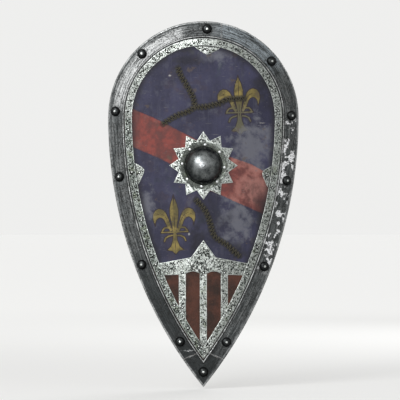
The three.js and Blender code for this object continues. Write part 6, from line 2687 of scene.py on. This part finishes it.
def hole_mark(length: float, width: float, along: float, out: float) -> BMesh:
    """Makes the dark mouth of a punched hole with a pressed lip, a disc of painted shade where the strap is
    not cut through.

    Args:
        length: Its length along the strap.
        width: Its width.
        along: Where it lies along the strap.
        out: Where the strap's outer face is.

    Returns:
        The mark.
    """
    bm = turned([(0.0, 0.12), (0.82, 0.12), (0.9, 0.24), (1.12, 0.2), (1.2, 0.0), (0.0, -0.2)], 16)
    move(bm, Matrix.Rotation(math.pi, 4, "Z") @ Matrix.Diagonal((length / 2, 1, width / 2, 1)))
    shift(bm, (along, out, 0))
    return bm


@dataclass
class BuckledStrap:
    """A strap in two lengths joined by a buckle, with a keeper for its loose end.

    Attributes:
        name: The start of its pieces' names.
        frame: Its frame: X along the strap, Y out from the board.
        width: Its width.
        height: The height of the buckle's heel bar above the board.
        crown: How far from its middle it runs straight.
        left: Its foot at the start.
        right: Its foot at the end.
        frame_body: The body of the buckle's frame.
        prong_body: The body of the prong.
        loop_body: The body of the keeper.
        long_node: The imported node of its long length.
        short_node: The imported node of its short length.
    """

    name: str
    frame: Matrix
    width: float
    height: float
    crown: float
    left: Foot
    right: Foot
    frame_body: Body
    prong_body: Body
    loop_body: Body
    long_node: str
    short_node: str
    leather: float = STRAP_THICKNESS
    lead: float = 2.1
    bar_radius: float = 2.2
    buckle_length: float = 24.0
    side_gap: float = 1.2
    corner: float = 2.6
    bow: float = 2.5
    prong_radius: float = 1.5
    eye_wall: float = 1.9
    eye_width: float = 4.0
    eye_gap: float = 1.2
    fold_taper: float = 8.0
    fold_end: float = 30.0
    fold_steps: int = 12
    hole_sizes: tuple[Point, ...] = ((9.0, 4.4), (4.4, 4.4), (4.4, 4.4))
    hole_spacing: float = 17.0
    hole_start: float = 1.5
    seam_inset: float = 3.0
    strap_end: float = 10.0
    keeper_width: float = 9.0
    keeper_leather: float = 2.0
    keeper_travel: float = 6.0
    keeper_corner: float = 1.3

    def __post_init__(self) -> None:
        """Works out the levels that the parts share."""
        self.bar = self.bar_radius + SEAT_GAP
        self.loop = self.bar + self.leather / 2
        self.layer = self.leather / 2 + SEAT_GAP
        self.heel = Vector((self.crown * 0.15, self.height, 0))
        self.long_level = self.height + self.loop + self.leather + SEAT_GAP
        self.long_top = self.long_level + self.leather / 2
        self.front_rise = self.long_top + SEAT_GAP + self.bar - self.height

    def show_leather(self, bm: BMesh, path: Sequence[Vector], part: str, node: str) -> None:
        """Stitches a length of the strap and shows it.

        Args:
            bm: The leather, with its punched holes.
            path: The path that the stitches follow.
            part: The end of the piece's name.
            node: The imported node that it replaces.
        """
        add_stitches(bm, path, self.leather / 2, self.width / 2 - self.seam_inset)
        move(bm, self.frame)
        name = f"{self.name}_leather_{part}"
        show(bm, name, [STRAP_LEATHER, THREAD, HOLE_SHADE], [node], crease=50.0)

    def long_length(self) -> None:
        """Builds the long length, which ends in the keeper."""
        level = self.long_level
        crown = Vector((-self.crown, level, 0))
        path = [
            self.left.end,
            *curve(self.left.start, self.left.control, Vector((-self.crown * self.lead, level, 0)), crown),
            Vector((self.crown + self.strap_end, level, 0)),
        ]
        bm = strap_band(path, self.leather, self.width)
        # The holes are discs of painted shade.
        for index, size in enumerate(self.hole_sizes):
            along = self.heel.x + self.hole_start - index * self.hole_spacing
            absorb(bm, hole_mark(*size, along, self.long_top), material=2)
        self.show_leather(bm, path[1:], "long", self.long_node)

    def short_length(self) -> None:
        """Builds the short length, which is folded round the heel bar and slotted there for the prong."""
        top, low = self.height + self.layer, self.height - self.layer
        taper = self.heel.x + self.fold_taper
        crown = Vector((self.crown, top, 0))
        fold = [
            Vector((self.heel.x - self.loop * math.sin(turn), self.height + self.loop * math.cos(turn), 0))
            for turn in (math.pi * i / self.fold_steps for i in range(self.fold_steps + 1))
        ]
        path = [
            self.right.end,
            *curve(self.right.start, self.right.control, Vector((self.crown * self.lead, top, 0)), crown),
            Vector((taper, top, 0)),
            *fold,
            Vector((taper, low, 0)),
            Vector((self.heel.x + self.fold_end, low, 0)),
        ]
        bm = strap_band(path, self.leather, self.width, self.eye_width + self.eye_gap, taper + 1)
        seam = [Vector((place.x, place.y, 0)) for place in reversed(path[1:CURVE_STEPS + 2])]
        self.show_leather(bm, seam, "short", self.short_node)

    def show_iron(self, bm: BMesh, part: str, end: str, body: Body, crease: float) -> None:
        """Puts a part of the buckle at the heel bar and shows it.

        Args:
            bm: The part, drawn round the heel bar.
            part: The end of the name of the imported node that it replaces.
            end: What its own name adds to the node's.
            body: The body that it moves with.
            crease: The angle in degrees above which an edge stays sharp.
        """
        shift(bm, self.heel)
        move(bm, self.frame)
        node = f"{self.name}_buckle_{part}"
        show(bm, f"{node}_{end}", [IRON], [node], body, crease=crease)

    def buckle_frame(self) -> None:
        """Builds the buckle's frame, a round bar bent into a ring."""
        half = self.width / 2 + self.side_gap + self.bar_radius
        straight = half - self.corner
        turn = self.corner * 0.3
        length = self.buckle_length
        side = [
            (0.0, straight), (turn, half - turn), (self.corner, half), (length - self.corner, half),
            (length - turn, half - turn), (length, straight), (length + self.bow, straight * 0.35),
        ]
        slope = self.front_rise / length
        points = [Vector((-forward, forward * slope, across)) for forward, across in side]
        points += [Vector((point.x, point.y, -point.z)) for point in reversed(points)]
        middle = sum(points, Vector()) / len(points)
        normal = (points[3] - middle).cross(points[6] - middle).normalized()
        bm = swept(round_section(self.bar_radius, 12), frames_round(points, normal), closed=True)
        self.show_iron(bm, "frame", "bar", self.frame_body, crease=60.0)

    def prong(self) -> None:
        """Builds the prong: an eye round the heel bar, and a rod that rests on the front bar."""
        half = self.eye_width / 2
        eye = self.bar + self.eye_wall
        profile = [
            (self.bar, -half), (eye - 0.4, -half), (eye, 0.4 - half), (eye, half - 0.4), (eye - 0.4, half),
            (self.bar, half), (self.bar, -half),
        ]
        ring = turned(profile, 24)
        move(ring, Matrix.Rotation(math.pi / 2, 4, "X"))
        reach = self.buckle_length + self.bow
        rise = self.front_rise * reach / self.buckle_length + self.bar + self.prong_radius
        shares = (
            (0.02, 0.24), (0.035, 0.45), (0.05, 0.72), (0.15, 0.9), (0.5, 0.97), (1.0, 1.0), (1.2, 0.98),
        )
        line = smooth_line([(-reach * forward, rise * up) for forward, up in shares], 4)
        frames = frames_along([Vector((x, y, 0)) for x, y in line], ACROSS)
        tips = reversed(range(len(frames)))
        frames = [
            frame @ Matrix.Scale(min(1.0, 0.45 + 0.14 * steps), 4) for frame, steps in zip(frames, tips)
        ]
        bm = swept(round_section(self.prong_radius, 10), frames)
        absorb(bm, ring)
        self.show_iron(bm, "prong", "rod", self.prong_body, crease=50.0)

    def keeper(self) -> None:
        """Builds the leather loop that holds the strap's loose end."""
        wall, cut = self.keeper_leather, self.keeper_corner
        across = self.width / 2 + SEAT_GAP + wall / 2
        low = self.height - self.layer - self.leather / 2 - SEAT_GAP - wall / 2
        high = self.long_top + SEAT_GAP + wall / 2
        along = self.crown - self.keeper_travel - self.keeper_width / 2 - SEAT_GAP
        near = [
            (low, across - cut), (low + cut * 0.3, across - cut * 0.3), (low + cut, across),
            (high - cut, across), (high - cut * 0.3, across - cut * 0.3), (high, across - cut),
        ]
        corners = [*near, *((out, -side) for out, side in reversed(near))]
        points = [Vector((along, out, side)) for out, side in corners]
        frames = frames_round(points, Vector((1, 0, 0)))
        bm = swept(band_section(wall, self.keeper_width, 0.5), frames, closed=True)
        edge = self.keeper_width / 2 - 1
        set_layer(bm, "edge", lambda vert: float(abs(vert.co.x - along) > edge))
        move(bm, self.frame)
        node = f"{self.name}_keeper"
        show(bm, f"{node}_loop", [STRAP_LEATHER], [node], self.loop_body, crease=50.0)

    def build(self) -> None:
        """Builds both lengths, the buckle and the keeper."""
        self.long_length()
        self.short_length()
        self.buckle_frame()
        self.prong()
        self.keeper()


def elbow_strap() -> BuckledStrap:
    """Makes the forearm's strap, upright near the elbow.

    Returns:
        The strap, ready to be built.
    """
    left, right = (
        flat_foot(side, inner=96.0, length=34.0, thickness=STRAP_THICKNESS, lift=34.0) for side in (-1, 1)
    )
    return BuckledStrap(
        name="elbow", frame=FORM.back_frame(3 * FORM.facet_width, 0.0, ACROSS),
        width=34.0, height=92.0, crown=40.0, left=left, right=right,
        frame_body=Body.ELBOW_FRAME, prong_body=Body.ELBOW_PRONG, loop_body=Body.ELBOW_LOOP,
        long_node="elbow_strap_long", short_node="elbow_strap_short",
    )


def shoulder_strap() -> BuckledStrap:
    """Makes the shoulder strap, level across the hollow of the back.

    Returns:
        The strap, ready to be built.
    """
    length, lift = 33.0, 34.0
    sideways = Vector((1, 0, 0))
    frame_matrix = FORM.back_frame(0.0, GUIGE_LEVEL, sideways)
    feet = []
    for side in (-1, 1):
        foot = FORM.back_frame(side * 5 * FORM.facet_width, GUIGE_LEVEL, sideways)
        out = foot.to_3x3() @ Vector((0, 1, 0))
        along = Vector((out.y, -out.x, 0)) * side
        centre = foot.translation + out * (SEAT_GAP + STRAP_THICKNESS / 2)
        reaches = (length / 2, -length / 2, -length / 2 - lift)
        feet.append(Foot(*(frame_matrix.inverted() @ (centre + along * reach) for reach in reaches)))
    return BuckledStrap(
        name="guige", frame=frame_matrix, width=28.0, height=56.0, crown=42.0, left=feet[0], right=feet[1],
        frame_body=Body.GUIGE_FRAME, prong_body=Body.GUIGE_PRONG, loop_body=Body.GUIGE_LOOP,
        long_node="guige_long", short_node="guige_short",
    )


@dataclass
class HandGrip:
    """The hand grip: a thick strap with a stitched, stuffed sleeve round its middle.

    Attributes:
        thickness: The strap's thickness.
        width: Its width.
        height: The height of its level middle above the board.
        foot_inner: How far from its middle its feet start.
        foot_length: Their length.
        foot_lift: How far the curve's control points are from its ends.
        level_half: Half the length of its level middle.
        seam_inset: How far inside its edges the stitches are.
        sleeve_half: Half the length of the sleeve.
        sleeve_width: Its width.
        sleeve_thickness: Its thickness.
        end_scale: The share of its thickness that it has at its ends.
        stations: How many sections the sleeve has.
        sides: How many corners each has.
        stitch_count: How many stitches close it.
        stitch_slip: How far along a stitch leans to each side.
        stitch_reach: How far across it reaches to each side.
        stitch_bow: How high its middle stands over its ends.
        thread_radius: The thread's radius.
    """

    thickness: float = GRIP_THICKNESS
    width: float = 30.0
    height: float = 52.0
    foot_inner: float = 84.0
    foot_length: float = 30.0
    foot_lift: float = 18.0
    level_half: float = 42.0
    seam_inset: float = 2.6
    sleeve_half: float = 37.6
    sleeve_width: float = 37.6
    sleeve_thickness: float = 16.6
    end_scale: float = 0.80
    stations: int = 25
    sides: int = 32
    stitch_count: int = 24
    stitch_slip: float = 1.6
    stitch_reach: float = 3.4
    stitch_bow: float = 0.9
    thread_radius: float = 0.6

    def path(self) -> list[Vector]:
        """Lists the points of the strap's path.

        Returns:
            The points, in the strap's frame.
        """
        foot = (self.foot_inner, self.foot_length, self.thickness, self.foot_lift)
        left, right = flat_foot(-1, *foot), flat_foot(1, *foot)
        start, end = (Vector((way * self.level_half, self.height, 0)) for way in (-1, 1))
        lift = Vector((self.foot_lift, 0, 0))
        return [
            left.end,
            *curve(left.start, left.control, start - lift, start),
            *curve(end, end + lift, right.control, right.start),
            right.end,
        ]

    def strap(self, frame_matrix: Matrix) -> None:
        """Builds the strap with a row of stitches along each side.

        Args:
            frame_matrix: The strap's frame.
        """
        path = self.path()
        bm = strap_band(path, self.thickness, self.width)
        for run in (path[1:CURVE_STEPS + 2], path[CURVE_STEPS + 2:-1]):
            add_stitches(bm, run, self.thickness / 2, self.width / 2 - self.seam_inset)
        move(bm, frame_matrix)
        show(bm, "grip_leather", [STRAP_LEATHER, THREAD], ["grip_strap"], crease=50.0)

    def sleeve(self, frame_matrix: Matrix) -> None:
        """Builds the stuffed sleeve, drawn in at its ends and along its stitched seam.

        Args:
            frame_matrix: The strap's frame.
        """
        out, across = self.sleeve_thickness / 2, self.sleeve_width / 2
        shares = [2 * index / (self.stations - 1) - 1 for index in range(self.stations)]
        places = [Vector((share * self.sleeve_half, self.height, 0)) for share in shares]
        frames = []
        for share, frame in zip(shares, frames_along(places, ACROSS)):
            scale = self.end_scale + (1 - self.end_scale) * (1 - abs(share) ** 7) ** 0.5
            frames.append(frame @ Matrix.Diagonal((1, scale, scale, 1)))
        section = []
        for index in range(self.sides):
            turn = 2 * math.pi * index / self.sides
            seam = 1 - 0.10 * max(0.0, math.cos(turn)) ** 24
            section.append((out * seam * math.cos(turn), across * math.sin(turn)))
        bm = swept(section, frames)
        split_large(bm)
        self.close_sleeve(bm, self.height + out - 1.1)
        move(bm, frame_matrix)
        piece = show(
            bm, "grip_sleeve_stuffed", [SLEEVE_LEATHER, THREAD], ["grip_sleeve"], crease=70.0
        )

    def close_sleeve(self, bm: BMesh, top: float) -> None:
        """Adds the slanting stitches that close the sleeve's seam.

        Args:
            bm: The sleeve.
            top: How far out their ends lie.
        """
        chance = Random(3)
        for index in range(self.stitch_count):
            along = (index / (self.stitch_count - 1) * 2 - 1) * (self.sleeve_half - 4)
            slip = self.stitch_slip if index % 2 else -self.stitch_slip
            start = Vector((along - slip, top, -self.stitch_reach))
            end = Vector((along + slip + chance.uniform(-0.3, 0.3), top, self.stitch_reach))
            bowed = [start, start.lerp(end, 0.5) + Vector((0, self.stitch_bow, 0)), end]
            frames = frames_along(bowed, Vector((1, 0, 0)))
            absorb(bm, swept(round_section(self.thread_radius, 5), frames), material=1)

    def build(self) -> None:
        """Builds the strap and its sleeve."""
        frame_matrix = FORM.back_frame(-3 * FORM.facet_width, 0.0, ACROSS)
        self.strap(frame_matrix)
        self.sleeve(frame_matrix)


@dataclass
class StrapRivets:
    """The rivets of the three straps, with flat heads sunk under the face leather.

    Attributes:
        head: The radius of the head on the strap.
        height: Its height.
        shank: The radius of the shank.
        sunk_radius: The radius of the flat head in the board.
        sunk_thickness: Its thickness.
        places: Each rivet's name, facet, level and thickness of leather.
    """

    head: float = 8.0
    height: float = 4.0
    shank: float = 2.4
    sunk_radius: float = 6.0
    sunk_thickness: float = 1.5
    places: tuple[tuple[str, int, float, float], ...] = (
        ("elbow_strap_rivet_low", 3, -113.0, STRAP_THICKNESS),
        ("elbow_strap_rivet_top", 3, 113.0, STRAP_THICKNESS),
        ("grip_rivet_low", -3, -99.0, GRIP_THICKNESS),
        ("grip_rivet_top", -3, 99.0, GRIP_THICKNESS),
        ("guige_rivet_left", -5, GUIGE_LEVEL, STRAP_THICKNESS),
        ("guige_rivet_right", 5, GUIGE_LEVEL, STRAP_THICKNESS),
    )

    def build(self) -> None:
        """Builds the six rivets through the board and the straps' feet."""
        for name, facet, level, leather in self.places:
            seat = -FORM.board_thickness - leather - 2 * SEAT_GAP - 0.3
            dome = dome_line(self.head, self.height, seat, 6, 0.86)
            profile = [
                (0.0, 0.0), (self.sunk_radius, 0.0), (self.sunk_radius, -self.sunk_thickness),
                (self.shank, -self.sunk_thickness), (self.shank, seat), (self.head - 0.3, seat),
                *((radius, 2 * seat - depth) for radius, depth in reversed(dome)),
            ]
            bm = turned(profile, 24)
            mark_crown(bm, self.head, low=-seat)
            move(bm, FORM.seat(facet * FORM.facet_width, level))
            show(bm, f"{name}_stud", [RIVET_STEEL], [name], crease=50.0)


@dataclass
class ForearmPad:
    """The stuffed leather pad behind the boss, sewn into upright channels.

    Attributes:
        width: Its width.
        height: Its height.
        thickness: Its full thickness.
        channels: How many channels it has.
        corner_pull: How far its corners are drawn in, as a share.
        seam_reach: How far across and up the seams run, as a share.
        seam_depth: How much of the thickness a seam takes.
        columns: How many squares its grid has across.
        rows: How many it has upwards.
        start_share: The share of its thickness that it has before it is blown up.
        cap: How far a place may move when it is blown up.
        stitch_pitch: From one stitch to the next.
        piping_steps: How many steps the piping has on each side.
        piping_radius: The piping's radius.
        piping_rise: How far from the board's back the piping has its middle.
    """

    width: float = 178.0
    height: float = 144.0
    thickness: float = 24.0
    channels: int = 4
    corner_pull: float = 0.12
    seam_reach: float = 0.9
    seam_depth: float = 0.30
    columns: int = 48
    rows: int = 36
    start_share: float = 0.45
    cap: float = 12.0
    stitch_pitch: float = 5.0
    piping_steps: int = 12
    piping_radius: float = 1.7
    piping_rise: float = 3.2

    @property
    def base(self) -> float:
        """Where its back lies."""
        return FORM.board_thickness + SEAT_GAP

    def outline_point(self, u: float, v: float) -> Point:
        """Finds a point of the pad from its shares across and up, drawn in at the corners."""
        pull = 1 - self.corner_pull * u * u * v * v
        return u * pull * self.width / 2, v * pull * self.height / 2

    def seam_share(self, u: float) -> float:
        """Tells how near a channel's seam a place lies: 1 on it, 0 far from it."""
        return abs(math.cos(math.pi * self.channels * (u + 1) / 2)) ** 10

    def crown(self, u: float, v: float) -> float:
        """Finds the share of the full thickness that the pad has at a place.

        Args:
            u: The place's share across, from -1 to 1.
            v: Its share up.

        Returns:
            The share.
        """
        swell = math.sqrt(max(1 - u**4, 0.0)) * math.sqrt(max(1 - v**4, 0.0))
        seam = self.seam_depth * self.seam_share(u) if abs(u) < self.seam_reach else 0.0
        return max(0.05, swell * (1 - seam))

    def blank(self) -> BMesh:
        """Makes the flat pad: a grid for its face, grown back to the board.

        Returns:
            The flat pad.
        """
        bm = new_mesh()
        bmesh.ops.create_grid(bm, x_segments=self.columns, y_segments=self.rows, size=1.0)
        grown = bmesh.ops.extrude_face_region(bm, geom=bm.faces[:])["geom"]
        faces = {item for item in grown if isinstance(item, BMVert)}
        for vert in bm.verts:
            u, v = vert.co.x, vert.co.y
            x, z = self.outline_point(u, v)
            rise = self.crown(u, v) * self.thickness * self.start_share + 1.5 if vert in faces else 0.0
            vert.co = Vector((x, self.base + rise, z))
        weld(bm)
        return bm

    def hold(self, pad: bpy.types.Object) -> None:
        """Holds the pad's back and its seams while it is blown up.

        Args:
            pad: The flat pad, in metres.
        """
        held = pad.vertex_groups.new(name="held")
        for vert in pad.data.vertices:
            u = 2 * vert.co.x / (self.width * MM)
            if vert.co.y < (self.base + 0.4) * MM:
                held.add([vert.index], 1.0, "REPLACE")
            elif self.seam_share(u) > 0.75 and abs(u) < self.seam_reach:
                held.add([vert.index], 0.85, "REPLACE")

    def puff(self, bm: BMesh) -> BMesh:
        """Blows the pad up by a cloth simulation, with its back and its seams held.

        Args:
            bm: The flat pad in millimetres. It is freed.

        Returns:
            The blown-up pad in millimetres.
        """
        bmesh.ops.scale(bm, vec=(MM, MM, MM), verts=bm.verts[:])
        mesh = as_mesh(bm, "pad_blank")
        pad = add_object("pad_blank", mesh)
        self.hold(pad)
        cloth = pad.modifiers.new("cloth", "CLOTH")
        settings = {
            "quality": 6, "mass": 0.2, "tension_stiffness": 12, "compression_stiffness": 12,
            "bending_stiffness": 0.6, "use_pressure": True, "uniform_pressure_force": 4.0,
            "vertex_group_mass": "held",
        }
        for name, value in settings.items():
            setattr(cloth.settings, name, value)
        cloth.settings.effector_weights.gravity = 0.0
        scene = bpy.context.scene
        for step in range(1, 21):
            scene.frame_set(step)
        shape = pad.evaluated_get(bpy.context.evaluated_depsgraph_get()).to_mesh()
        places = []
        for before, after in zip(mesh.vertices, shape.vertices):
            step = after.co - before.co
            places.append(before.co + step * min(1.0, self.cap * MM / max(step.length, 1e-9)))
        pad.to_mesh_clear()
        scene.frame_set(1)
        pad.modifiers.clear()
        for vert, place in zip(mesh.vertices, places):
            vert.co = place
        puffed = new_mesh()
        puffed.from_mesh(mesh)
        bpy.data.objects.remove(pad)
        bpy.data.meshes.remove(mesh)
        bmesh.ops.scale(puffed, vec=(1 / MM, 1 / MM, 1 / MM), verts=puffed.verts[:])
        return puffed

    def fit(self, bm: BMesh) -> None:
        """Brings the pad to its full thickness, within the room that it has.

        Args:
            bm: The pad, still flat.
        """
        highest = max(vert.co.y for vert in bm.verts) - self.base
        scale = (self.thickness - 0.6) / highest
        for vert in bm.verts:
            vert.co.y = self.base + max(vert.co.y - self.base, 0.0) * scale
            vert.co.x = max(-self.width / 2, min(self.width / 2, vert.co.x))
            vert.co.z = max(-self.height / 2, min(self.height / 2, vert.co.z))

    def sewing(self, bm: BMesh) -> BMesh:
        """Lays stitches along the channels.

        Args:
            bm: The blown-up pad, still flat.

        Returns:
            The stitches, still flat, with the second material.
        """
        tree = BVHTree.FromBMesh(bm)
        sewn = new_mesh()
        count = round(self.height * 0.94 / self.stitch_pitch)
        for index in range(1, self.channels):
            u = 2 * index / self.channels - 1
            for step in range(count):
                x, z = self.outline_point(u, (step + 0.5) / count * 1.88 - 0.94)
                hit = tree.ray_cast(Vector((x, 80, z)), Vector((0, -1, 0)))[0]
                if hit is not None:
                    place = Matrix.Translation(hit) @ Matrix.Diagonal((0.7, 0.6, 1.7, 1))
                    bmesh.ops.create_icosphere(sewn, subdivisions=1, radius=1.0, matrix=place)
        for face in sewn.faces:
            face.material_index = 1
        return sewn

    def piping(self) -> BMesh:
        """Makes the piping round the pad's edge, still flat.

        Returns:
            The piping.
        """
        around = []
        steps = self.piping_steps
        for side in range(4):
            for share in (step / steps * 2 - 1 for step in range(steps)):
                x, z = self.outline_point(*((share, -1), (1, share), (-share, 1), (-1, -share))[side])
                around.append(Vector((x * 0.992, FORM.board_thickness + self.piping_rise, z * 0.99)))
        frames = frames_round(around, Vector((0, 1, 0)))
        return swept(round_section(self.piping_radius, 8), frames, closed=True)

    def build(self) -> None:
        """Builds the pad."""
        bm = self.blank()
        bm = self.puff(bm)
        self.fit(bm)
        seams = self.sewing(bm)
        absorb(seams, self.piping())
        FORM.bend(bm)
        piece = show(bm, "pad_cushion", [PAD_LEATHER], ["forearm_pad"], crease=80.0)
        finer = piece.modifiers.new("finer", "SUBSURF")
        finer.levels = 1
        finer.render_levels = 1
        FORM.bend(seams)
        show(seams, "pad_seams", [SLEEVE_LEATHER, THREAD], crease=60.0)


# Camera, lights, floor and backdrop

@dataclass
class Studio:
    """The camera straight in front, soft lamps, a pale floor and a pale world."""

    view_x: float = -0.0102
    view_z: float = -0.1035
    view_height: float = 1.2038
    distance: float = 9.0
    sensor: float = 36.0
    floor_level: float = -0.672
    floor_radius: float = 40.0
    floor_tone: Colour = (0.46, 0.46, 0.455)
    near_glow: float = 0.48
    far_glow: float = 0.765
    near_reach: float = 0.5
    far_reach: float = 7.0
    pale: Colour = (0.86, 0.86, 0.85)
    fill: float = 0.45
    glossy_glow: float = 0.72
    aim: tuple[float, float, float] = (0.0, 0.0, -0.1)
    lamps: tuple[tuple[str, tuple[float, float, float], float, float], ...] = (
        ("key", (-2.0, -3.4, 2.2), 1.6, 105.0),
        ("front", (-0.7, -5.5, 0.35), 0.7, 40.0),
        ("back", (1.6, 3.6, 1.8), 2.2, 55.0),
    )

    def camera(self) -> None:
        """Sets the camera at the photograph's angle."""
        data = bpy.data.cameras.new("camera")
        data.sensor_width = self.sensor
        data.lens = self.sensor * self.distance / self.view_height
        data.clip_end = 100.0
        camera = add_object("camera", data)
        camera.location = (self.view_x, -self.distance, self.view_z)
        camera.rotation_euler = (math.pi / 2, 0, 0)
        bpy.context.scene.camera = camera

    def light(self) -> None:
        """Adds the soft square lamps, which look at the shield."""
        for name, place, size, power in self.lamps:
            data = bpy.data.lights.new(name, "AREA")
            data.size = size
            data.energy = power
            lamp = add_object(name, data)
            lamp.location = place
            lamp.rotation_euler = (Vector(self.aim) - Vector(place)).to_track_quat("-Z", "Y").to_euler()
            lamp.visible_camera = False

    def floor(self) -> None:
        """Adds the floor, which looks as pale as the world to the camera and keeps the shadow."""
        bm = bmesh.new()
        bmesh.ops.create_circle(bm, cap_ends=True, segments=96, radius=self.floor_radius)
        shift(bm, (0, 0, self.floor_level))
        mesh = as_mesh(bm, "floor")
        material = bpy.data.materials.new("floor")
        nodes = fresh_tree(material)
        rays = nodes.add("ShaderNodeLightPath").outputs
        away = nodes.length(nodes.place())
        grade = nodes.span(away, self.near_reach, self.far_reach, self.near_glow, self.far_glow)
        inputs = {
            "Base Color": self.floor_tone, "Roughness": 0.9, "Emission Color": self.pale,
            "Emission Strength": nodes.times(rays["Is Camera Ray"], grade),
        }
        shader = nodes.add("ShaderNodeBsdfPrincipled", inputs)
        nodes.add("ShaderNodeOutputMaterial", {"Surface": shader.outputs[0]})
        mesh.materials.append(material)
        add_object("floor", mesh)

    def world(self) -> None:
        """Sets a world that is pale to the camera and in reflections, and a soft fill elsewhere."""
        world = bpy.data.worlds.new("studio")
        nodes = fresh_tree(world)
        rays = nodes.add("ShaderNodeLightPath").outputs
        seen = nodes.most(rays["Is Camera Ray"], rays["Is Transmission Ray"])
        glossy = nodes.times(rays["Is Glossy Ray"], self.glossy_glow)
        strength = nodes.most(nodes.most(seen, glossy), self.fill)
        shader = nodes.add("ShaderNodeBackground", {"Color": self.pale, "Strength": strength})
        nodes.add("ShaderNodeOutputWorld", {"Surface": shader.outputs[0]})
        bpy.context.scene.world = world

    def build(self) -> None:
        """Sets the camera, the floor, the world and the lamps."""
        bpy.context.scene.view_settings.view_transform = "Standard"
        self.camera()
        self.floor()
        self.world()
        self.light()


def main() -> None:
    """Builds the studio and the shield, piece by piece."""
    logging.basicConfig(level=logging.INFO, format="%(name)s: %(message)s")
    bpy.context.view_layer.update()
    trim = Trim()
    assemblies = (
        Studio(), Board(), FaceLeather(), LowerPanel(), Rim(), RimRivets(), trim, LowerField(trim), Boss(),
        Lacing(), ForearmPad(), elbow_strap(), shoulder_strap(), HandGrip(), StrapRivets(),
    )
    for assembly in assemblies:
        assembly.build()


if __name__ == "__main__":
    main()
